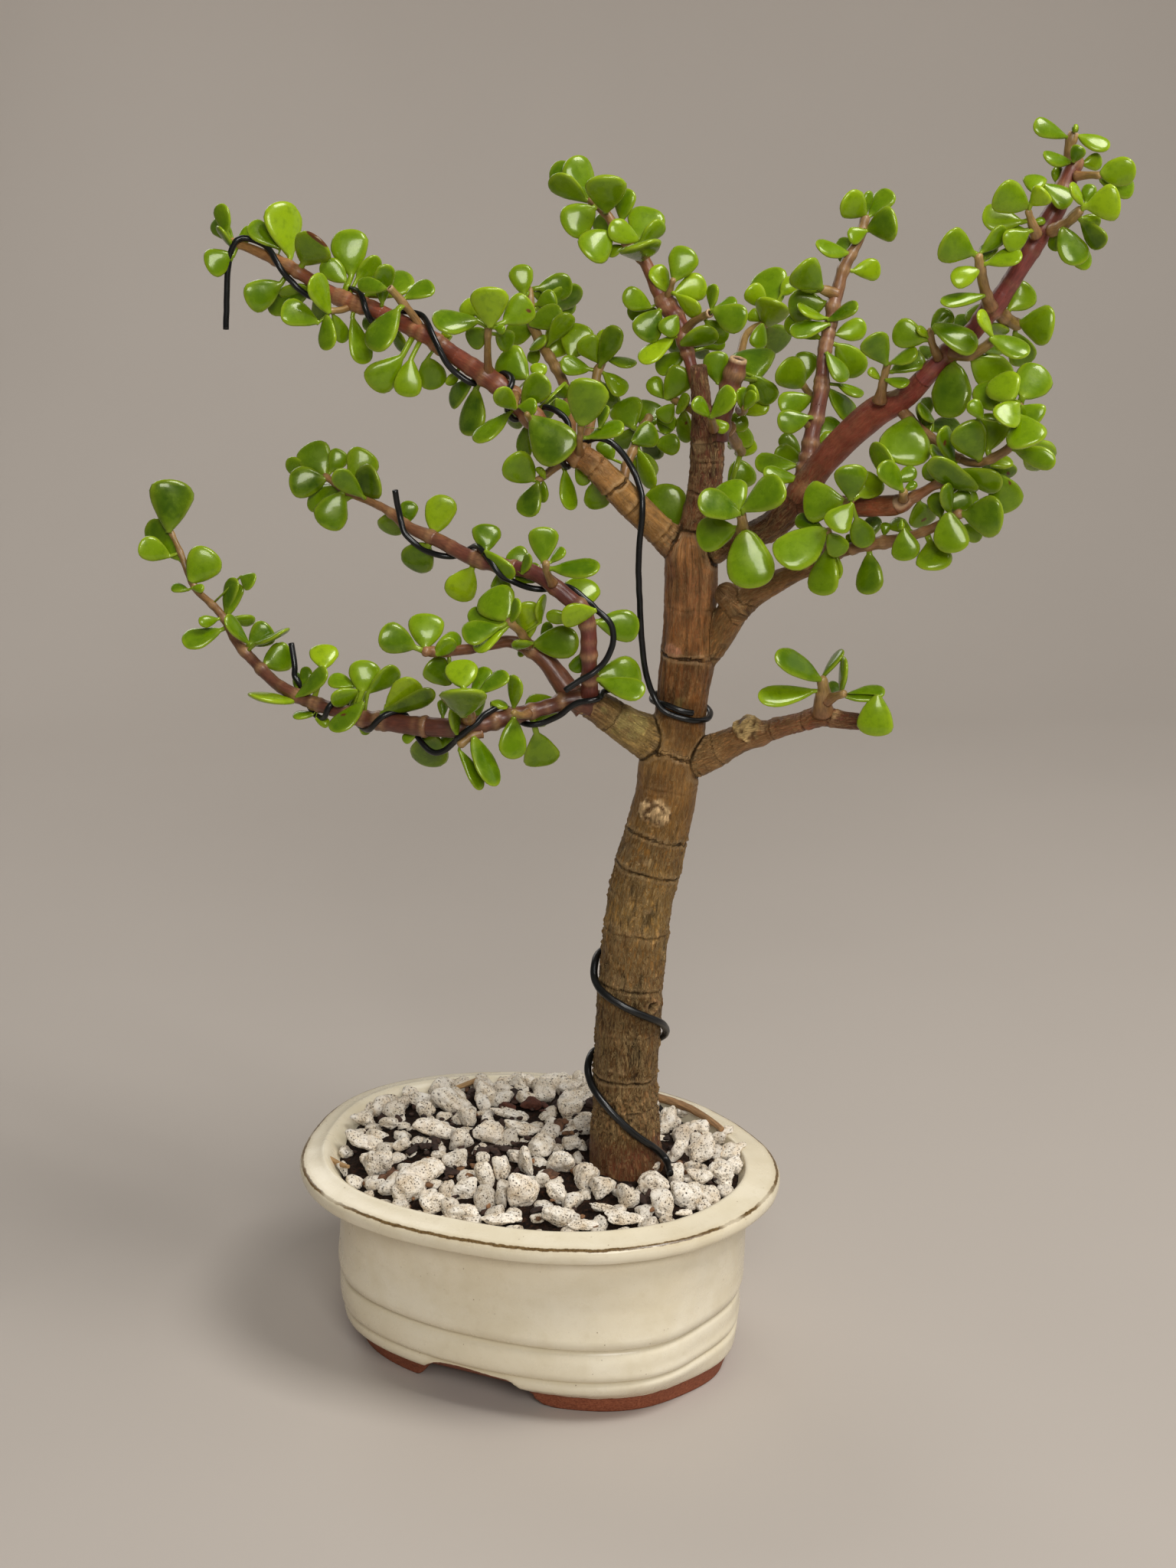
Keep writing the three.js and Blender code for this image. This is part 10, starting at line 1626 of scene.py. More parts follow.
    # rings
    wav = 0.9 * np.sin(th + 0.7) + 0.5 * vnoise(np.stack([np.cos(th) * 1.5, np.sin(th) * 1.5, stem * 5.0], 1), 31)
    for (name, rs, kind) in RINGS:
        ids = [i for i, c in enumerate(CORE) if c[0] == name]
        if not ids:
            continue
        m = stem == ids[0]
        extra = 14.1 if name == "T" else 0.0
        r0 = rs + extra + wav * (0.9 if name == "T" else 0.35)
        x = s - r0
        w = {"deep": (0.60, 0.30, 0.46), "soft": (0.28, 0.18, 0.42), "faint": (0.12, 0.09, 0.42), "dark": (0.30, 0.12, 0.5)}[kind]
        show = {"deep": 0.85, "soft": 0.42, "faint": 0.16, "dark": 0.7}[kind]
        rnd = vnoise(np.stack([np.cos(th) * 2.2, np.sin(th) * 2.2, np.full(len(th), rs)], 1), 44)
        broken = (0.5 if kind == "deep" else 0.25) + (0.5 if kind == "deep" else 0.75) * smooth(-0.5, 0.2, rnd)
        x = x + 0.45 * vnoise(V / 4.0, 47) + 0.12 * vnoise(V / 1.6, 48)
        g = np.exp(-(x / w[2]) ** 2) * broken * m
        new = m & (np.abs(x) < np.abs(line_at))
        line_at[new] = x[new]
        line_show[new] = (show * broken)[new]
        lip = (np.exp(-((x - 0.9) / 0.7) ** 2) + 0.6 * np.exp(-((x + 0.9) / 0.6) ** 2)) * m
        disp += -w[0] * g + w[1] * lip
        # painted shade: the colour darkens down in the ring's groove
        col *= (1 - 0.45 * show * g)[:, None]
        # torn pale flakes on parts of the ring
        torn = smooth(0.05, 0.45, vnoise(np.stack([np.cos(th) * 1.6, np.sin(th) * 1.6, np.full(len(th), rs * 1.7)], 1), 45))
        flake = np.exp(-((x - 0.2) / 1.5) ** 2) * torn * m * smooth(-0.15, 0.25, fbm(V * np.array([0.7, 0.7, 1.5]), 3, 46))
        disp += 0.35 * show * flake
        pale = np.clip((lip * 0.24 + flake * 0.85) * show, 0, 1)[:, None] * (1 - 0.8 * g[:, None])
        col = col * (1 - pale) + srgb(196, 166, 122) * pale
    # the scaly collar above the smooth red foot
    zc = V[:, 2]
    scaly = isT * smooth(77, 82, zc) * (1 - smooth(92, 98, zc))
    c1, c2, tag = cells(V * np.array([0.62, 0.62, 0.8]), 5)
    plate = smooth(0.02, 0.22, c2 - c1)
    disp += scaly * (0.75 * plate * (0.4 + 0.6 * tag) - 0.2)
    sc = (scaly * plate * (0.25 + 0.5 * tag))[:, None]
    col = col * (1 - sc) + srgb(186, 152, 112) * sc
    # painted shade: the colour darkens in the sunken gaps between the plates
    col *= (1 - 0.45 * scaly * (1 - plate))[:, None]
    foot = isT * (1 - smooth(75, 80, zc))
    disp *= 1 - 0.55 * foot
    col = col * (1 - 0.75 * foot[:, None]) + (srgb(94, 52, 36) * (1 + 0.25 * fbm(V / 3.5, 3, 61))[:, None]) * 0.75 * foot[:, None]
    # marks
    for (x, y, z, hw, hh, kind, st) in SPOTS:
        if st not in [c[0] for c in CORE]:
            continue
        e = V - np.array([x, y, z])
        right = np.array(CAMERA_RIGHT)
        e1 = e @ right / hw
        e2 = e[:, 2] / hh
        e3 = (e @ np.array(CAMERA_FORWARD)) / max(hw, hh)
        wob = 0.35 * fbm(V / 1.6, 3, 71)
        q = np.sqrt(e1**2 + e2**2 + (e3 * 0.8) ** 2) + wob
        m = 1 - smooth(0.72, 1.08, q)
        if kind == "scar":
            # a healed wound: curled pale flakes round a crevice; the colour follows the relief, with painted shade
            # where it sinks
            swirl = np.sin(9.0 * np.sqrt(e1**2 + e2**2) + 5.0 * fbm(V / 2.4, 2, 80))
            bump = 0.6 * fbm(V / 1.2, 3, 81) + 0.35 * swirl
            disp += m * (0.60 + 0.80 * bump)
            k = smooth(-0.38, 0.02, bump)[:, None]
            c = srgb(230, 202, 162) * k + srgb(80, 52, 32) * (1 - k)
            col = col * (1 - 0.9 * m[:, None]) + c * 0.9 * m[:, None]
        elif kind == "pink":
            disp += m * (0.35 + 0.4 * fbm(V / 1.0, 2, 82))
            col = col * (1 - 0.7 * m[:, None]) + srgb(196, 142, 120) * 0.7 * m[:, None]
        elif kind == "cream":
            disp += m * 0.22 * fbm(V / 0.9, 2, 83)
            k = 0.6 * m[:, None] * smooth(-0.25, 0.25, fbm(V / 1.3, 3, 84))[:, None]
            col = col * (1 - k) + srgb(198, 172, 136) * k
        elif kind == "knot":
            ring = np.exp(-((q - 0.72) / 0.2) ** 2)
            hole = 1 - smooth(0.3, 0.6, q)
            disp += 0.7 * ring - 1.5 * hole
            col = col * (1 - 0.7 * ring[:, None]) + srgb(176, 142, 108) * 0.7 * ring[:, None]
            # painted shade: the sunken hole of the knot is darkened
            col *= (1 - 0.8 * hole)[:, None]
        elif kind in ("green", "olive"):
            k = (0.55 if kind == "olive" else 0.4) * m[:, None] * smooth(-0.4, 0.2, fbm(V / 2.0, 3, 85))[:, None]
            col = col * (1 - k) + srgb(150, 146, 92) * k
        elif kind == "knob":
            knot = fbm(V / 1.5, 3, 86)
            disp += m * (1.9 + 1.15 * knot)
            # painted shade: the colour darkens where the knob's surface sinks
            k = smooth(-0.42, -0.08, knot)[:, None]
            c = srgb(222, 198, 146) * k + srgb(84, 58, 34) * (1 - k)
            col = col * (1 - 0.9 * m[:, None]) + c * 0.9 * m[:, None]
        elif kind == "stub":
            rim = np.exp(-((q - 0.75) / 0.25) ** 2)
            inner = 1 - smooth(0.35, 0.65, q)
            col = col * (1 - 0.8 * rim[:, None]) + srgb(206, 180, 144) * 0.8 * rim[:, None]
            col *= (1 - 0.75 * inner)[:, None]
        elif kind == "scar2":
            disp += m * (-0.25 + 0.2 * fbm(V, 2, 88))
            col = col * (1 - 0.75 * m[:, None]) + srgb(196, 164, 130) * 0.75 * m[:, None]
        elif kind == "redskin":
            k = 0.55 * m[:, None]
            col = col * (1 - k) + srgb(122, 76, 62) * (1 + 0.5 * fbm(V / 2.0, 3, 90))[:, None] * k
            disp += m * 0.25 * fbm(V / 2.0, 3, 90)
        elif kind == "redbase":
            k = 0.5 * m[:, None]
            col = col * (1 - k) + srgb(108, 58, 44) * k
        elif kind == "curl":
            disp += m * 0.9 * np.maximum(0, fbm(V / 1.0, 2, 89))
            col = col * (1 - 0.7 * m[:, None]) + srgb(204, 176, 140) * 0.7 * m[:, None]
    col = col * np.array([1.0, 0.92, 0.80])
    put_points(ob, V + n * disp[:, None])
    paint(ob, {"col": np.clip(col, 0.002, 1), "grain": grain, "amp": np.clip(rough, 0, 1) * (1 - 0.6 * foot),
               "line_at": np.clip(line_at, -9, 9), "line_show": line_show})
    ob.data.polygons.foreach_set("use_smooth", np.ones(len(ob.data.polygons), bool))
    ob.data.materials.clear()
    ob.data.materials.append(BARK)
    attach(ob, "root")
    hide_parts(*CORE_NODES)
    return ob


core_wood()

# ---------------------------------------------------------------- twigs
CORE_NAMES = {c[0] for c in CORE}


def shoot_wood(node):
    bag = Bag()
    lv = LEAVES.get(node, [])
    for (name, a, b) in SECTIONS[node]:
        full_pts = np.array(STEMS[name], float)
        last = len(full_pts) - 1
        if name in ("B1",) or (name in CORE_NAMES and name in ("T", "L", "R", "B", "DL")):
            continue
        a0 = max(0.0, a - 0.12) if a > 0 else 0.0
        P = section(name, a0, b)
        full = np.r_[0, np.cumsum(np.linalg.norm(np.diff(full_pts[:, :3], axis=0), axis=1))]
        s_start = np.interp(a0, np.arange(last + 1), full)
        q, s = resample(P, 0.5)
        if a == 0:  # a collar where it leaves its parent
            r0 = q[0, 3]
            q[:, 3] += 0.28 * r0 * np.exp(-s / (1.1 * r0))
        # swellings at the leaf pairs
        sw = []
        for l in lv:
            d = np.linalg.norm(q[:, :3] - np.array(l[0:3]), axis=1)
            if d.min() < 1.5:
                sw.append(s[d.argmin()])
        extra = np.zeros(len(q))
        for x in sorted(set(np.round(sw, 0))):
            extra = np.maximum(extra, 0.20 * np.exp(-((s - x) / 1.1) ** 2))
        if name in ("D2", "D1", "A", "Lb", "La", "D4", "D3", "B3"):
            k = np.arange(4.0, s[-1], 9.5)
            for x in k:
                extra = np.maximum(extra, 0.07 * np.exp(-((s - x) / 0.8) ** 2))
        if name == "Lb":
            q[:, 3] *= 1 + 0.33 * smooth(36, 60, s + s_start) * (1 - 0.5 * smooth(100, 130, s + s_start))
        q[:, 3] *= 1 + extra
        rmax = q[:, 3].max()
        sides = 22 if rmax > 3 else 16 if rmax > 1.8 else 12
        is_end = b >= last - 1e-6
        end = "cut" if name in ("B2", "A_cut", "B5", "tV1s", "D2t") else "round"
        V, F, sv, tv, rv, length = tube(q, 0.7, sides, "flat", end)
        sv = sv + s_start
        grain = np.stack([rv * np.cos(tv), rv * np.sin(tv), sv * 0.22], 1)
        share = sv / full[-1]
        col = tone_at(name, share)
        n3 = vnoise(V / 2.6, 5)
        col = col * (1 + 0.22 * fbm(V / 3.0, 3, 13))[:, None]
        # pale scar rings at the nodes
        e = np.interp(sv - s_start, s, extra)
        k = np.clip(e * 2.2, 0, 0.45)[:, None]
        col = col * (1 - k) + srgb(176, 142, 98) * k
        if end == "cut":
            m = (sv - s_start > s[-1] - 0.05)
            col[m] = srgb(190, 160, 122)
            inner = m & (rv < 0.5 * q[-1, 3])
            col[inner] = srgb(70, 46, 34)
        # spots on the outer limbs
        for (x, y, z, hw, hh, kind, st) in SPOTS:
            if st != name:
                continue
            d = np.linalg.norm((V - np.array([x, y, z])) / np.array([hw, hw, hh]), axis=1) + 0.3 * fbm(V, 2, 7)
            m = (1 - smooth(0.7, 1.1, d))[:, None] * 0.8
            col = col * (1 - m) + srgb(200, 170, 134) * m
        # surface unevenness, along the radius
        ctr = V.copy()
        bag_disp = 0.035 * rmax * fbm(np.stack([grain[:, 0], grain[:, 1], sv * 0.5], 1) / 1.2, 3, 19)
        m_r = np.maximum(rv, 1e-3)
        V = V + bag_disp[:, None] * 0  # set below with normals
        bag.add(V, F, col=np.clip(col, 0.002, 1), grain=grain, bd=bag_disp)
    if not bag.n:
        return
    ob = bag.build(node + "_twigs", mat=TWIG, slot="branch_bark", nodes=[node])
    V, n = points_of(ob)
    bd = np.empty(len(V), np.float32)
    ob.data.attributes["bd"].data.foreach_get("value", bd)
    put_points(ob, V + n * bd[:, None])
    ob.data.attributes.remove(ob.data.attributes["bd"])
    return ob


# ---------------------------------------------------------------- leaves
def leaf_mesh(row, rng, rings=14, sides=16):
    spt, base, tip, nrm = (np.array(row[k:k + 3], float) for k in (0, 3, 6, 9))
    W, srad = row[12] * 1.05, row[14]
    ax = tip - base
    L = np.linalg.norm(ax)
    ax /= L
    nrm = nrm - ax * (nrm @ ax)
    nrm /= np.linalg.norm(nrm)
    sd = np.cross(nrm, ax)
    th = min(max(rng.uniform(0.22, 0.28) * W, 1.8), 3.3)
    p1, p2 = rng.uniform(0.50, 0.84), rng.uniform(2.3, 4.2)
    f = lambda s: s**p1 * np.sqrt(np.clip(1 - s**p2, 0, 1))
    peak = f(np.linspace(0, 1, 200)).max()
    bend = rng.uniform(-0.04, 0.15) * L
    cup = rng.uniform(-0.05, 0.06)
    twist = rng.uniform(-0.32, 0.32)
    lean = rng.uniform(-0.05, 0.05) * L
    # the edge runs in and out a little
    wave = rng.uniform(0.0, 6.28, 4)
    depth = rng.uniform(0.006, 0.022, 2)
    root = spt + (base - spt) * min(0.9, max(0.0, (srad - 0.5) / max(1e-3, np.linalg.norm(base - spt))))
    stalk = np.clip(0.10 * W, 0.55, 1.0)
    s = np.r_[0.02, 0.055, np.linspace(0.11, 0.88, rings - 6), 0.94, 0.972, 0.990, 0.9985]
    C, HW, HT, SS, TW = [root], [stalk], [stalk * 0.9], [0.0], [0.0]
    mid = root * 0.45 + (base + ax * 0.01 * L) * 0.55
    C.append(mid); HW.append(stalk * 0.92); HT.append(stalk * 0.8); SS.append(0.0); TW.append(0.0)
    for v in s:
        w = W / 2 * f(v) / peak
        w = max(w, stalk * (1 - v * 2)) if v < 0.5 else w
        h = th / 2 * (0.66 + 0.34 * smooth(0.05, 0.40, v)) * np.sqrt(np.clip(1 - v**7, 0, 1))
        h = min(h, w * 0.98)
        c = base + ax * L * v + nrm * (bend * (v * v - 0.3 * v)) + sd * lean * math.sin(v * math.pi)
        C.append(c); HW.append(w); HT.append(h); SS.append(v); TW.append(twist * (v - 0.3))
    phi = np.arange(sides) / sides * 2 * math.pi
    cs, sn = np.cos(phi), np.sin(phi)
    cx = np.sign(cs) * np.abs(cs) ** 0.96
    sz = np.sign(sn) * np.abs(sn) ** 0.90
    V, edge, along, face = [], [], [], []
    for c, w, h, v, tw in zip(C, HW, HT, SS, TW):
        S = sd * math.cos(tw) + nrm * math.sin(tw)
        Nn = nrm * math.cos(tw) - sd * math.sin(tw)
        side = np.where(cx > 0, 1 + depth[0] * math.sin(9 * v + wave[0]) + depth[1] * math.sin(15 * v + wave[1]),
                        1 + depth[0] * math.sin(8 * v + wave[2]) + depth[1] * math.sin(17 * v + wave[3]))
        x = w * cx * (side if v > 0.1 else 1)
        z = h * sz + cup * (x * x) / max(w, 1e-6) * (1 if v > 0.05 else 0) * smooth(0.1, 0.5, v)
        V.append(c + x[:, None] * S + z[:, None] * Nn)
        # edge marks where the painted highlight of the rim and tip goes
        edge.append(np.abs(cs) ** 6 * smooth(0.12, 0.35, v) + 0.8 * smooth(0.90, 0.99, v))
        along.append(np.full(sides, v))
        face.append(np.stack([x / (W / 2), np.full(sides, v)], 1))
    V.append((C[0])[None]); edge.append([0]); along.append([0]); face.append([[0, 0]])
    endp = C[-1] + ax * L * 0.002
    V.append(endp[None]); edge.append([0.8]); along.append([1]); face.append([[0, 1]])
    V = np.concatenate(V)
    m = len(C)
    i, j = np.meshgrid(np.arange(m - 1), np.arange(sides), indexing="ij")
    a = (i * sides + j).ravel()
    b = (i * sides + (j + 1) % sides).ravel()
    quads = np.stack([a, b, b + sides, a + sides], 1)
    j = np.arange(sides)
    last = (m - 1) * sides
    tris = np.concatenate([np.stack([np.full(sides, m * sides), (j + 1) % sides, j], 1),
                           np.stack([np.full(sides, m * sides + 1), last + j, last + (j + 1) % sides], 1)])
    # gentle unevenness of the flesh
    V = V + nrm * (0.13 * vnoise(V / 3.4, 91))[:, None]
    return V, [quads, tris], np.clip(np.concatenate(edge), 0, 1), np.concatenate(along), np.concatenate(face), L, W


# damage on single leaves: node, row, kind, share across, share along, size
def blemish(V, face, marks, ax_in):
    mark = np.zeros(len(V))
    for kind, u, v, r in marks:
        d = np.hypot((face[:, 0] - u) * 0.9, face[:, 1] - v)
        if kind == "spot":
            mark = np.maximum(mark, 1 - smooth(0.5 * r, 1.3 * r, d))
        elif kind == "tip":
            mark = np.maximum(mark, smooth(v - r, v, face[:, 1]))
    return mark


def shoot_leaves(node, seed):
    rows = list(LEAVES.get(node, []))
    if not rows:
        return
    first = len(rows)
    rows += INFILL.get(node, [])
    rng = np.random.default_rng(seed)
    bag = Bag()
    for k, row in enumerate(rows):
        V, F, edge, along, face, L, W = leaf_mesh(row, rng)
        size = np.clip((L - 6) / 14, 0, 1)
        tint = np.clip(0.66 - 0.30 * size + rng.normal(0, 0.21), 0.02, 0.98)
        # painted shade: the leaves that fill the gaps get a darker tone
        if k >= first:
            tint *= 0.8
        marks = []
        if rng.uniform() < 0.10:
            marks.append(("spot", rng.uniform(-0.5, 0.5), rng.uniform(0.3, 0.85), rng.uniform(0.03, 0.06)))
        for nd, r, kind, u, v, rad in BLEMISHES:
            if nd == node and r == k:
                marks.append((kind, u, v, rad))
        mark = blemish(V, face, marks, row)
        bag.add(V, F, edge=edge, along=along, tint=np.full(len(V), tint), mark=mark)
    return bag.build(node + "_leaves", mat=LEAF, slot="leaf", nodes=[node])


for _k, _node in enumerate(SECTIONS):
    if _node not in CORE_NODES:
        shoot_wood(_node)
    shoot_leaves(_node, 100 + _k)

# ---------------------------------------------------------------- wires
for _name, _path in WIRES.items():
    _P = np.array(_path, float)
    if _name == "wire_lower_left":
        # its end stands up free over the branch
        _P = np.vstack([_P, _P[-1] + np.array([[-0.1, 0.4, 2.4], [-0.6, 1.0, 4.9], [-1.4, 1.7, 7.4], [-2.1, 2.3, 9.6]])])
    _P = np.column_stack([_P, np.full(len(_P), WIRE_R.get(_name, 0.9))])
    _V, _F, _sv, _tv, _rv, _len = tube(_P, 0.85, 13, "flat", "flat")
    make(_name + "_coated", _V, _F, {}, WIRE, "wire_coating", [_name])

# ---------------------------------------------------------------- pot
def wobble(a, lip=1.0, full=0.0):
    """The hand-made oval, as a factor on the ellipse; lip runs from 0 on the body to 1 on the lip, full is 1 above the foot."""
    top = (1.0138 + 0.0029 * np.cos(a) + 0.0044 * np.sin(a) - 0.0017 * np.cos(2 * a) + 0.0004 * np.sin(2 * a)
           + 0.0108 * np.cos(3 * a) + 0.0003 * np.sin(3 * a) - 0.0096 * np.cos(4 * a) - 0.0059 * np.sin(4 * a)
           + 0.0012 * np.cos(5 * a) + 0.0092 * np.sin(5 * a))
    body = (1 + 0.0075 * np.cos(a) - 0.0071 * np.cos(3 * a) - 0.0172 * np.cos(4 * a) - 0.0053 * np.cos(5 * a)
            + 0.0099 * np.cos(6 * a) + 0.0064 * np.cos(8 * a) + 0.028 * full * np.exp(-((a - 5.725) / 0.245) ** 2))
    return body + (top - body) * lip


# z, scale along X, scale along Y
POT_UNDER = [(6.2, 0.3083, 0.24), (6.2, 0.5448, 0.42), (6.2, 0.6699, 0.528), (5.9, 0.6879, 0.543), (5, 0.6942, 0.549),
             (1, 0.7058, 0.557), (0.3, 0.709, 0.56), (0, 0.7174, 0.568), (0, 0.7385, 0.6048), (0, 0.786, 0.6502), (0, 0.8176, 0.6834)]
POT_OUTER = [(0.25, 0.8256, 0.6923), (0.9, 0.8286, 0.6967), (2.5, 0.8362, 0.7063), (4.6, 0.849, 0.7217), (6, 0.858, 0.7342),
             (6.8, 0.8633, 0.7421), (7.6, 0.8673, 0.7606), (8.6, 0.8701, 0.7866), (9.8, 0.8715, 0.8148), (11, 0.8723, 0.8382),
             (12, 0.8734, 0.8478), (13, 0.8741, 0.8505), (13.9, 0.8711, 0.8485), (14.6, 0.8646, 0.8445), (15.1, 0.8612, 0.8411),
             (15.5, 0.8657, 0.8474), (16, 0.8731, 0.8591), (16.6, 0.8772, 0.8682), (17.5, 0.8808, 0.8741), (19, 0.8803, 0.876),
             (21, 0.8808, 0.8735), (23, 0.8799, 0.8679), (24.6, 0.8768, 0.8597), (25.4, 0.8712, 0.8522), (26, 0.8664, 0.8437),
             (26.6, 0.8718, 0.8537), (27.5, 0.8834, 0.8747), (29.5, 0.8903, 0.8847), (34, 0.8872, 0.8717), (40, 0.8865, 0.8607),
             (46, 0.8884, 0.8667), (52, 0.8877, 0.8767), (55.6, 0.89, 0.8837), (56.9, 0.8955, 0.8937), (57.7, 0.8981, 0.9062),
             (58.2, 0.9135, 0.9245), (58.6, 0.9374, 0.9447), (58.85, 0.9614, 0.9649), (59.05, 0.98, 0.982), (59.35, 0.9955, 0.9945),
             (59.9, 1.003, 1.0005), (61, 1.0075, 1.004), (62.2, 1.009, 1.005), (63, 1.0075, 1.003), (63.6, 1.0035, 0.998),
             (64.05, 0.9975, 0.99), (64.35, 0.988, 0.9775), (64.55, 0.975, 0.961), (64.8, 0.955, 0.935), (65.1, 0.935, 0.91),
             (65.5, 0.917, 0.888), (65.85, 0.905, 0.875), (65.95, 0.898, 0.867)]
POT_INNER = [(65.75, 0.8915, 0.86), (65.2, 0.8865, 0.8545), (64.3, 0.879, 0.849), (62, 0.857, 0.84), (58.5, 0.826, 0.826),
             (55, 0.797, 0.812), (44, 0.79, 0.802), (30, 0.785, 0.793), (20, 0.78, 0.785), (15, 0.758, 0.745), (12, 0.725, 0.695),
             (10.3, 0.69, 0.64), (10, 0.66, 0.59), (10, 0.45, 0.38), (10, 0.2, 0.17)]
# the arch in each long side of the foot: its outline on the outside, x and height
ARCH = np.array([(-24.5, 0), (-22.6, 0.7), (-20.6, 2.4), (-18.8, 5.0), (-16.4, 8.6), (-13.6, 11.6), (-10.6, 13.4), (-7.5, 14.5), (-4, 15.2),
                 (-0.5, 15.2), (4, 14.4), (9, 13.8), (13.5, 13.5), (15.8, 12.8), (17.2, 11.0), (18.0, 8.2), (18.6, 5.2), (19.6, 2.6),
                 (21.4, 1.1), (24.5, 0.35), (29, 0)])


def shift_of(z, inner):
    out = np.interp(z, [0, 7, 11, 15, 20, 26, 31, 36, 44, 52, 57, 58.9, 64.6, 65.9],
                    [-0.5, -0.7, -0.4, 0, -0.4, 0.1, 0.45, 0.9, 1.45, 1.7, 1.6, 0, 0, -1.0])
    ins = np.interp(z, [55, 64.6, 65.9], [0, -0.3, -1.0])
    return np.where(inner, ins, out)


def arch_lift(u, v):
    """Height of the underside over the ground inside the arches, which slant up through the wall."""
    edge = np.interp(u, ARCH[:, 0], ARCH[:, 1], left=0, right=0)
    slant = 6.1 + 0.80 * np.maximum(np.abs(v) - 39.5, 0)
    # the cut's corner is rounded over by the finger
    lift = -0.45 * np.log(np.exp(-edge / 0.45) + np.exp(-slant / 0.45))
    return np.maximum(lift, 0) * (np.abs(v) > 20)


def pot():
    n = 384
    a = np.arange(n) / n * 2 * math.pi
    rows = [(*r, 0) for r in POT_UNDER]
    # the outside gets extra rings between the stated ones
    full = [POT_UNDER[-1]] + POT_OUTER
    for p, q in zip(full[:-1], full[1:]):
        m = max(1, int(math.ceil(max(abs(q[0] - p[0]), 60 * abs(q[1] - p[1])) / 1.35)))
        for k in range(1, m + 1):
            t = k / m
            rows.append((p[0] + (q[0] - p[0]) * t, p[1] + (q[1] - p[1]) * t, p[2] + (q[2] - p[2]) * t, 1))
    rows += [(*r, 2) for r in POT_INNER]
    P = np.array(rows)
    m = len(P)
    kind = np.repeat(P[:, 3].astype(int), n)
    z0 = np.repeat(P[:, 0], n)
    idx = np.repeat(np.arange(m), n)
    ang = np.tile(a, m)
    w = wobble(ang, np.where(kind == 2, 1.0, smooth(56.6, 59.2, z0)), smooth(7, 14, z0))
    sh = shift_of(z0, kind == 2)
    V = np.stack([POT_A * np.repeat(P[:, 1], n) * w * np.cos(ang) + sh, POT_B * np.repeat(P[:, 2], n) * w * np.sin(ang), z0], 1)
    # length along the profile, measured from the lip's brown line
    run = np.r_[0, np.cumsum(np.hypot(np.diff(P[:, 1]) * 68, np.diff(P[:, 0])))]
    top = [k for k in range(m) if P[k, 3] == 1 and P[k, 0] >= 64.0][0]
    run = np.repeat(run - run[top], n)
    c3 = lambda f, h=0.0: np.stack([np.cos(ang) * f, np.sin(ang) * f, np.full(len(ang), h)], 1)
    # the arches: everything of the foot lower than the arch moves up to it
    lift = arch_lift(V[:, 0], V[:, 1])
    lifted = (kind < 2) & (V[:, 2] < lift)
    V[:, 2] = np.where(lifted, np.maximum(V[:, 2], lift + 0.02 * np.minimum(z0, 6.0)), V[:, 2])
    # hand-made unevenness
    out = np.stack([np.cos(ang) / POT_A, np.sin(ang) / POT_B, np.zeros(len(ang))], 1)
    out /= np.linalg.norm(out, axis=1)[:, None]
    body = smooth(5, 12, V[:, 2]) * (kind == 1)
    q = np.stack([np.cos(ang) * 2.2, np.sin(ang) * 2.2, V[:, 2] / 22], 1)
    q2 = np.stack([np.cos(ang) * 9, np.sin(ang) * 9, V[:, 2] / 6.5], 1)
    V += out * ((0.30 * fbm(q, 3, 4) + 0.10 * fbm(q2, 3, 5)) * body)[:, None]
    V[:, 2] += (0.22 * vnoise(c3(2.6), 6) + 0.10 * vnoise(c3(9), 7) - 0.12) * smooth(57, 61, V[:, 2]) * (kind > 0)
    # the glaze ends a little above the foot, along a wavy line, and stands proud of the clay
    zl = np.maximum(6.75 + 0.45 * vnoise(c3(6), 9) + 0.22 * vnoise(c3(19), 10), lift + 0.25)
    gz = np.where(kind == 1, V[:, 2] - zl, np.where(kind == 0, -4.0, np.where(z0 > 57, 4.0, -4.0)))
    V += out * (0.30 * smooth(-0.2, 0.45, gz) * (kind == 1))[:, None]
    rim = np.where(kind == 0, -30.0, run) + 0.16 * vnoise(c3(5), 12) + 0.08 * vnoise(c3(21), 13)
    # the line is worn away in places
    worn = 0.5 + 0.5 * vnoise(c3(7), 14)
    g1 = np.exp(-((V[:, 2] - 15.1) / 0.55) ** 2) + np.exp(-((V[:, 2] - 26.0) / 0.6) ** 2)
    # glaze pooled darker in the grooves and above the glaze's edge; the band just under the lip is painted shadow
    pool_and_shadow = (0.85 * g1 + 0.45 * np.exp(-((V[:, 2] - zl - 0.8) / 0.8) ** 2) + 0.75 * np.exp(-((V[:, 2] - 57.4) / 1.0) ** 2)) * (kind == 1)
    i, j = np.meshgrid(np.arange(m - 1), np.arange(n), indexing="ij")
    A = (i * n + j).ravel()
    B = (i * n + (j + 1) % n).ravel()
    quads = np.stack([A, B, B + n, A + n], 1)
    c0, c1 = len(V), len(V) + 1
    V = np.concatenate([V, [[0, 0, 6.2]], [[0, 0, 10.0]]])
    j = np.arange(n)
    last = (m - 1) * n
    tris = np.concatenate([np.stack([np.full(n, c0), (j + 1) % n, j], 1), np.stack([np.full(n, c1), last + j, last + (j + 1) % n], 1)])
    pad = lambda x, v=0.0: np.concatenate([x, [v, v]])
    ob = make("glazed_pot_body", V, [quads, tris], {"gz": pad(gz, -4.0), "rim": pad(rim, -30.0), "worn": pad(worn), "pool_and_shadow": pad(np.clip(pool_and_shadow, 0, 1))},
              GLAZE, "glazed_pot", ["pot"])
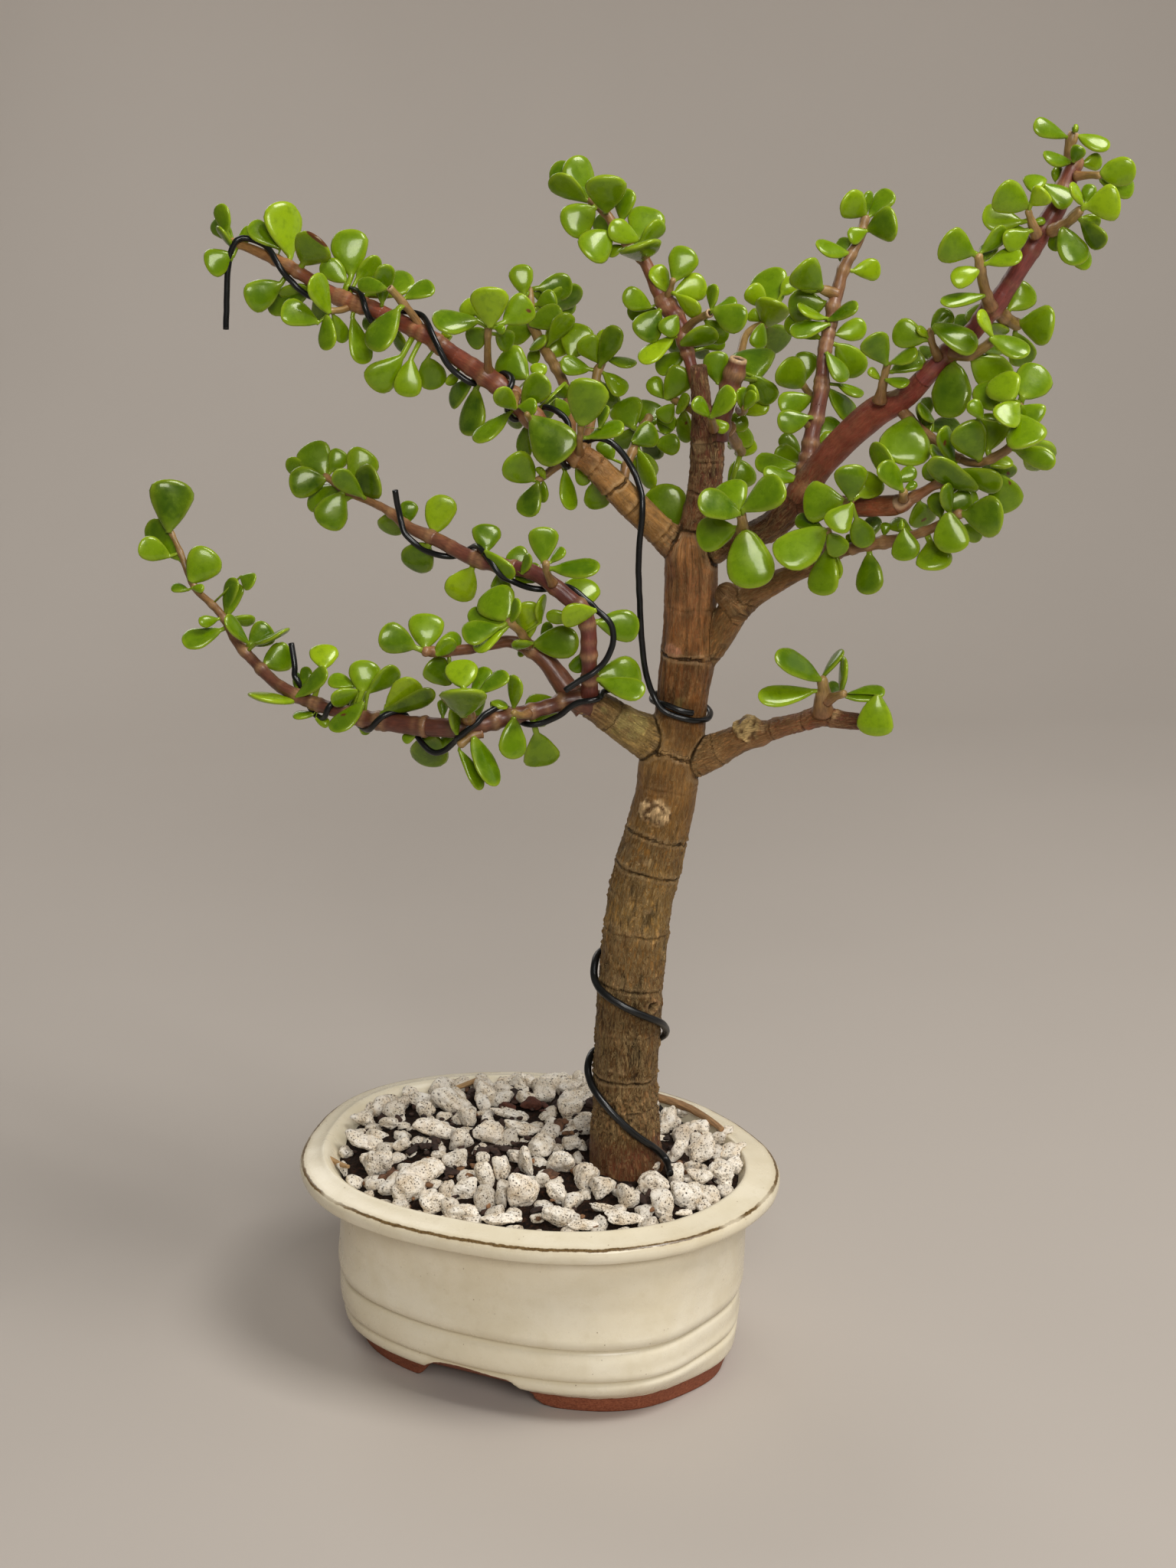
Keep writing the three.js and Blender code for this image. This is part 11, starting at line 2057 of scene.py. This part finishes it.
    # drain holes
    cut = Bag()
    for x in (-28.0, 28.0):
        t = np.arange(48) / 48 * 2 * math.pi
        ring = lambda z, r: np.stack([x + r * np.cos(t), r * np.sin(t), np.full(48, z)], 1)
        R = [ring(1.0, 8.9), ring(5.9, 8.9), ring(6.9, 8.0), ring(14.0, 8.0)]
        V2 = np.concatenate(R + [[[x, 0, 1.0]], [[x, 0, 14.0]]])
        i, j = np.meshgrid(np.arange(3), np.arange(48), indexing="ij")
        A = (i * 48 + j).ravel(); B = (i * 48 + (j + 1) % 48).ravel()
        q4 = np.stack([A, B, B + 48, A + 48], 1)
        j = np.arange(48)
        t3 = np.concatenate([np.stack([np.full(48, 192), (j + 1) % 48, j], 1), np.stack([np.full(48, 193), 144 + j, 144 + (j + 1) % 48], 1)])
        cut.add(V2, [q4, t3])
    c = cut.build("cutter")
    mod = ob.modifiers.new("b", "BOOLEAN")
    mod.operation = "DIFFERENCE"
    mod.solver = "EXACT"
    mod.object = c
    apply_mods(ob)
    bpy.data.objects.remove(c, do_unlink=True)
    if not ob.data.materials:
        ob.data.materials.append(GLAZE)
    ob.data.polygons.foreach_set("use_smooth", np.ones(len(ob.data.polygons), bool))
    return ob


pot()

# ---------------------------------------------------------------- soil, stones, litter
BED = (0.862, 0.836)


def rho_of(x, y):
    return np.hypot(x / (POT_A * BED[0]), y / (POT_B * BED[1]))


def bed_top(x, y):
    r = rho_of(x, y)
    return 63.8 + 8.7 * np.maximum(0, 1 - r * r) ** 0.8 + 1.5 * (y / 50)


def soil():
    n = 176
    a = np.arange(n) / n * 2 * math.pi
    w = wobble(a)
    rows = [(11.9, 0.30, 0.16), (11.9, 0.565, 0.32), (10.5, 0.62, 0.46), (10.3, 0.665, 0.600), (13.2, 0.727, 0.700), (20.2, 0.769, 0.773),
            (30, 0.775, 0.782), (44, 0.781, 0.791), (54.5, 0.789, 0.802), (58.5, 0.818, 0.817), (60.6, 0.836, 0.822)]
    rings = [np.stack([POT_A * x * w * np.cos(a), POT_B * y * w * np.sin(a), np.full(n, z)], 1) for z, x, y in rows]
    for k in np.linspace(1.0, 0.02, 50):
        x, y = POT_A * 0.855 * k * w * np.cos(a), POT_B * 0.830 * k * w * np.sin(a)
        z = bed_top(x, y) - 2.9
        q = np.stack([x, y, z], 1)
        z = z + 0.9 * fbm(q / 4.0, 3, 3) + 0.6 * fbm(q / 1.3, 3, 5)
        if k > 0.99:
            z = np.minimum(z - 0.4, 62.5)
        rings.append(np.stack([x, y, z], 1))
    V = np.concatenate(rings)
    m = len(rings)
    i, j = np.meshgrid(np.arange(m - 1), np.arange(n), indexing="ij")
    A = (i * n + j).ravel(); B = (i * n + (j + 1) % n).ravel()
    quads = np.stack([A, B, B + n, A + n], 1)
    V = np.concatenate([V, [[0, 0, 11.9]], [[0, 0, float(bed_top(0, 0)) - 2.9]]])
    j = np.arange(n); last = (m - 1) * n
    tris = np.concatenate([np.stack([np.full(n, m * n), (j + 1) % n, j], 1), np.stack([np.full(n, m * n + 1), last + j, last + (j + 1) % n], 1)])
    make("potting_mix", V, [quads, tris], {}, SOIL, "potting_soil", ["soil"])


soil()


def ball(n):
    """A unit sphere of 20 n n triangles."""
    t = (1 + 5**0.5) / 2
    C = np.array([(-1, t, 0), (1, t, 0), (-1, -t, 0), (1, -t, 0), (0, -1, t), (0, 1, t), (0, -1, -t), (0, 1, -t), (t, 0, -1), (t, 0, 1), (-t, 0, -1), (-t, 0, 1)], float)
    T = [(0, 11, 5), (0, 5, 1), (0, 1, 7), (0, 7, 10), (0, 10, 11), (1, 5, 9), (5, 11, 4), (11, 10, 2), (10, 7, 6), (7, 1, 8), (3, 9, 4), (3, 4, 2), (3, 2, 6), (3, 6, 8), (3, 8, 9), (4, 9, 5), (2, 4, 11), (6, 2, 10), (8, 6, 7), (9, 8, 1)]
    V, F, seen = [], [], {}
    for a, b, c in T:
        at = {}
        for i in range(n + 1):
            for j in range(n + 1 - i):
                p = (C[a] * (n - i - j) + C[b] * i + C[c] * j) / n
                p = p / np.linalg.norm(p)
                key = tuple(np.round(p, 5) + 0.0)
                if key not in seen:
                    seen[key] = len(V)
                    V.append(p)
                at[i, j] = seen[key]
        for i in range(n):
            for j in range(n - i):
                F.append((at[i, j], at[i + 1, j], at[i, j + 1]))
                if i + j < n - 1:
                    F.append((at[i + 1, j], at[i + 1, j + 1], at[i, j + 1]))
    return np.array(V), np.array(F)


BALLS = {k: ball(k) for k in (2, 3, 5, 6, 8, 15)}


def stone(centre, a, b, c, tilt, seed, level, basis, sharp=4.2, pits=1.0):
    """A rough chipped lump: a along the first basis vector, b along the second, c along the third."""
    U, F = BALLS[level]
    rng = np.random.default_rng(seed)
    # rounded many-sided form: planes at random, with a soft corner where they meet
    D = rng.normal(size=(11, 3))
    D[:6] = np.concatenate([np.eye(3), -np.eye(3)]) + 0.32 * rng.normal(size=(6, 3))
    D /= np.linalg.norm(D, axis=1)[:, None]
    H = np.r_[rng.uniform(0.80, 1.0, 6), rng.uniform(0.86, 1.08, 5)]
    p = sharp * rng.uniform(0.8, 1.3)
    k = (np.maximum(U @ D.T / H, 0) ** p).sum(1) ** (-1 / p)
    q = U * 1.15 + seed * 3.17
    lump = 1 + 0.15 * fbm(q, 2, 11) + 0.10 * fbm(q * 2.4, 2, 12)
    X = U * (k * lump)[:, None]
    # keep the stated width and height
    X = X / np.abs(X).max(0) * 0.97
    X = X * np.array([a, b, c])
    n = U / np.array([a, b, c])
    n /= np.linalg.norm(n, axis=1)[:, None]
    t = math.radians(tilt)
    R = np.array([[math.cos(t), 0, -math.sin(t)], [0, 1, 0], [math.sin(t), 0, math.cos(t)]])
    X = X @ R.T
    n = n @ R.T
    s = X + seed * 13.1
    rough = 0.34 * fbm(s / 2.1, 2, 13) + 0.20 * fbm(s / 1.0, 3, 14)
    d1, d2, tag = cells(s / 1.30, 6)
    hole = (1 - smooth(0.06, 0.40, d1)) * (tag > 0.42)
    e1, e2, etag = cells(s / 0.62, 8)
    hole2 = (1 - smooth(0.06, 0.42, e1)) * (etag > 0.5)
    X = X + n * ((rough - (0.42 * hole + 0.10 * hole2) * pits) * min(1.0, a / 4.0))[:, None]
    # the third value marks the sunken holes, which the pumice material darkens as painted shade
    return centre + X @ basis, [F], np.clip(hole + 0.6 * hole2, 0, 1)


_flat = np.array([CAMERA_FORWARD[0], CAMERA_FORWARD[1], 0.0])
_flat /= np.linalg.norm(_flat)
_up = np.array([0.0, 0.0, 1.0])
_right = np.cross(_flat, _up)
VIEW = np.stack([_right, _flat, _up])


DARK = [(b[0], b[1], max(b[3], 2.5) + 1.8) for b in BITS if b[6] in ("dark", "red", "black")]
PUMICE = {"pumice_stone_front": (-34, -31), "pumice_stone_left": (-50, 4), "pumice_stone_right": (56, 10),
          "pumice_stone_middle": (4, -34), "pumice_stone_back": (14, 36)}
FRONT = np.array([CAMERA_FORWARD[0], CAMERA_FORWARD[1]]) / math.hypot(CAMERA_FORWARD[0], CAMERA_FORWARD[1])


def stones_and_litter():
    placed = []
    for k, (x, y, z, a, c, tilt, tone) in enumerate(STONES):
        b = (a * c) ** 0.5 * 0.95
        depth = x * FRONT[0] + y * FRONT[1]
        placed.append((np.array([x, y, z]), a * 1.04, b, c * 1.04, tilt, tone, 500 + k, 15 if depth < -8 and a > 4.0 else 8))
    rng = np.random.default_rng(4)
    trunk = np.array([33.0, 0.6])
    extra = []
    for _ in range(12000):
        a = rng.uniform(0, 2 * math.pi)
        r = math.sqrt(rng.uniform(0, 1)) * 0.99
        w = float(wobble(np.array([a]))[0])
        x, y = POT_A * 0.862 * r * w * math.cos(a), POT_B * 0.832 * r * w * math.sin(a)
        s = rng.uniform(3.2, 5.0)
        if np.hypot(x - trunk[0], y - trunk[1]) < 12.5 + s * 0.8:
            continue
        if r > 1.01 - (s * 0.80) / 62:
            continue
        depth = x * FRONT[0] + y * FRONT[1]
        hidden = depth > 24
        edge = r > 0.82 and not hidden
        if any(np.hypot(x - u, y - v) < rr for u, v, rr in DARK):
            continue
        sink = 0.2 if hidden else (2.0 if edge else 3.0)
        if not hidden:
            s *= 0.82
        c = np.array([x, y, float(bed_top(x, y)) - 0.6 - sink])
        near = False
        for p in placed:
            if np.hypot(*(c - p[0])[:2]) < (0.80 if hidden else 0.70) * (s + min(p[1], p[2])):
                near = True
                break
        if near or any(np.hypot(*(c - p[0])[:2]) < 0.84 * (s + min(p[1], p[2])) for p in extra):
            continue
        extra.append((c, s * rng.uniform(1.0, 1.35), s, s * rng.uniform(0.75, 0.98), rng.uniform(-35, 35), rng.uniform(0.86, 1.04) if hidden else rng.uniform(0.78, 0.98), 900 + len(extra), 6 if hidden else 5))
    every = placed + extra
    own = {}
    for name, at in PUMICE.items():
        d = [np.hypot(p[0][0] - at[0], p[0][1] - at[1]) + (0 if p[1] > 4.6 else 3) for p in every]
        for k in np.argsort(d):
            if k not in own:
                own[int(k)] = name
                break
    groups = {}
    for k, (c, a, b, cc, tilt, tone, seed, level) in enumerate(every):
        turn = np.random.default_rng(seed).uniform(-0.35, 0.35) if seed < 900 else np.random.default_rng(seed).uniform(0, 3.1)
        ct, st = math.cos(turn), math.sin(turn)
        basis = np.array([[ct, st, 0], [-st, ct, 0], [0, 0, 1]]) @ VIEW if seed >= 900 else VIEW
        V, F, pit = stone(c, a, b, cc, tilt, seed, level, basis)
        # a stone at the wall leans on it and doesn't enter it
        q = rho_of(V[:, 0], V[:, 1]) / wobble(np.arctan2(V[:, 1] / POT_B, V[:, 0] / POT_A))
        lim = np.interp(V[:, 2], [58, 62, 64.3, 66.0, 67.0], [0.955, 0.985, 1.008, 1.022, 1.2])
        f = np.where(q > lim, lim / np.maximum(q, 1e-6), 1.0)
        V = V * np.stack([f, f, np.ones(len(f))], 1)
        if k in own:
            make(own[k] + "_lump", V, F, {"tone": np.full(len(V), tone * 1.06), "pit": pit}, STONE, "pumice", [own[k]])
            continue
        key = "gravel_back" if level < 15 else ("gravel_front_left" if c[0] < -14 else "gravel_front_right")
        groups.setdefault(key, Bag()).add(V, F, tone=np.full(len(V), tone * 1.06), pit=pit)
    for key, bag in groups.items():
        bag.build(key, mat=STONE, slot="pumice", nodes=["gravel"])

    # bits of bark and crumbs of soil between the stones
    bag = Bag()
    rng = np.random.default_rng(12)
    shades = {"dark": srgb(52, 34, 26), "brown": srgb(98, 68, 48), "red": srgb(88, 48, 34), "black": srgb(24, 18, 16)}
    items = []
    for k, (x, y, z, a, c, tilt, kind) in enumerate(BITS):
        f = max(1.0, rho_of(x, y) / 0.93)
        x, y = x / f, y / f
        items.append((np.array([x, y, z + 0.2 * c]), a, 0.6 * (a + c) / 2, c * 0.8, tilt, shades[kind], 2000 + k, 8))
        for j in range(7):
            u = rng.normal(0, 1, 2) * a * 0.9
            s = rng.uniform(0.8, 2.1)
            p = np.array([x + u[0], y + u[1], 0])
            if rho_of(p[0], p[1]) > 0.90:
                continue
            p[2] = float(bed_top(p[0], p[1])) - 2.1 + s * 0.4
            items.append((p, s * 1.6, s, s * 0.6, rng.uniform(-40, 40), shades[kind] * rng.uniform(0.7, 1.5), 2100 + k * 9 + j, 3 if s > 1.2 else 2))
    for j in range(320):
        a = rng.uniform(0, 2 * math.pi)
        r = math.sqrt(rng.uniform(0, 1)) * 0.95
        x, y = POT_A * 0.855 * r * math.cos(a), POT_B * 0.825 * r * math.sin(a)
        if np.hypot(x - trunk[0], y - trunk[1]) < 12:
            continue
        s = rng.uniform(0.5, 1.5)
        tone = shades["dark"] * rng.uniform(0.6, 1.6) if rng.uniform() < 0.72 else srgb(128, 92, 62) * rng.uniform(0.7, 1.2)
        items.append((np.array([x, y, float(bed_top(x, y)) - 2.1 + rng.uniform(0, 0.8)]), s * rng.uniform(1, 1.8), s, s * 0.7, rng.uniform(-40, 40), tone, 3000 + j, 3 if s > 1.0 else 2))
    for (c, a, b, cc, tilt, tone, seed, level) in items:
        turn = np.random.default_rng(seed).uniform(0, 3.1)
        ct, st = math.cos(turn), math.sin(turn)
        basis = np.array([[ct, st, 0], [-st, ct, 0], [0, 0, 1]]) @ VIEW if seed >= 2100 else VIEW
        V, F, pit = stone(c, a, b, cc, tilt, seed, level, basis, 12.0, 0.4)
        bag.add(V, F, col=np.repeat(np.clip(tone, 0.003, 1)[None], len(V), 0))
    bag.build("bark_litter", mat=LITTER, slot="bark", nodes=["gravel"])

    bag = Bag()
    for k, path in enumerate(STICKS):
        P = np.column_stack([np.array(path, float), [0.75, 0.9, 0.85, 0.6]])
        V, F, sv, tv, rv, ln = tube(P, 0.6, 12, "flat", "flat")
        g = np.stack([rv * np.cos(tv), rv * np.sin(tv), sv * 0.15], 1)
        bag.add(V, F, col=np.repeat(srgb(176, 142, 98)[None], len(V), 0), grain=g)
    bag.build("dry_twigs", mat=STICK, slot="dry_wood", nodes=["gravel"])

    # the curved stick behind the trunk
    rows = [(21, 47.5, 2.4, 1.3), (32.5, 44.6, 2.6, 1.3), (39.5, 41.6, 2.5, 1.2), (46, 37.8, 2.3, 1.1), (50.5, 34.8, 2.0, 0.9)]
    P = np.array([(x, y, float(bed_top(x, y)) + h, r) for x, y, h, r in rows])
    V, F, sv, tv, rv, ln = tube(P, 0.5, 20, "flat", "flat")
    g = np.stack([rv * np.cos(tv), rv * np.sin(tv), sv * 0.12], 1)
    ridge = vnoise(g * 2.2, 5)
    tone = srgb(158, 122, 84)[None] * (1 + 0.3 * ridge)[:, None]
    ob = make("dry_stick", V, F, {"col": np.clip(tone, 0.003, 1), "grain": g}, STICK, "dry_wood", ["bark_stick"])
    V, n = points_of(ob)
    put_points(ob, V + n * (0.15 * ridge + 0.12 * fbm(V / 2.0, 3, 9))[:, None])




stones_and_litter()

# ---------------------------------------------------------------- drain meshes keep their frame geometry
for _n in ("drain_screen_left", "drain_screen_right"):
    _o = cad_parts[_n]
    _o.data.materials.clear()
    _o.data.materials.append(SCREEN)

# ---------------------------------------------------------------- floor and light
def floor():
    me = bpy.data.meshes.new("floor")
    # a sweep: flat under the pot, rising far behind it
    prof = [(-1.6, 0.0), (0.75, 0.0)]
    for k in range(1, 17):
        t = k / 16 * math.pi / 2
        prof.append((0.75 + 0.5 * math.sin(t), 0.5 - 0.5 * math.cos(t)))
    prof.append((1.25, 2.6))
    vs, fs = [], []
    f = _flat
    side = _right
    for d, z in prof:
        for w in (-2.2, 2.2):
            p = f * d + side * w
            vs.append((p[0], p[1], z))
    for k in range(len(prof) - 1):
        fs.append((2 * k, 2 * k + 1, 2 * k + 3, 2 * k + 2))
    me.from_pydata(vs, [], fs)
    me.polygons.foreach_set("use_smooth", np.ones(len(fs), bool))
    ob = bpy.data.objects.new("floor", me)
    bpy.context.scene.collection.objects.link(ob)
    k = Mat("floor_pale")
    n = k.noise(3.0, 3, 0.5)
    k.set(Base_Color=k.mix(n, tuple(srgb(181, 172, 163)), tuple(srgb(191, 182, 173))), Roughness=0.75)
    me.materials.append(k.m)


floor()


def lamp(name, at, aim, size, power, colour=(1, 1, 1)):
    d = bpy.data.lights.new(name, "AREA")
    d.shape = "RECTANGLE"
    d.size, d.size_y = size
    d.energy = power
    d.color = colour
    o = bpy.data.objects.new(name, d)
    at = np.array(at)
    world = _right * at[0] + _flat * at[1] + _up * at[2]
    o.location = world
    o.rotation_euler = (Vector(aim) - Vector(world)).to_track_quat("-Z", "Y").to_euler()
    bpy.context.scene.collection.objects.link(o)


lamp("key", (0.60, -0.42, 1.30), (0.0, 0.0, 0.16), (0.48, 0.48), 12.6, (1.0, 0.985, 0.955))
lamp("front", (0.20, -1.35, 0.95), (0.0, 0.0, 0.13), (0.6, 0.45), 10.8, (1.0, 0.99, 0.965))
lamp("side", (1.15, 0.1, 0.6), (0.0, 0.0, 0.2), (0.7, 0.9), 1.0, (0.98, 0.99, 1.0))
lamp("rim", (-0.6, 1.0, 0.9), (0.0, 0.0, 0.25), (0.8, 0.5), 3.4, (1.0, 0.99, 0.97))

world = bpy.data.worlds.new("studio")
bpy.context.scene.world = world
world.use_nodes = True
world.node_tree.nodes["Background"].inputs["Color"].default_value = (1.0, 0.975, 0.945, 1)
world.node_tree.nodes["Background"].inputs["Strength"].default_value = 0.145
bpy.context.scene.view_settings.view_transform = "Standard"
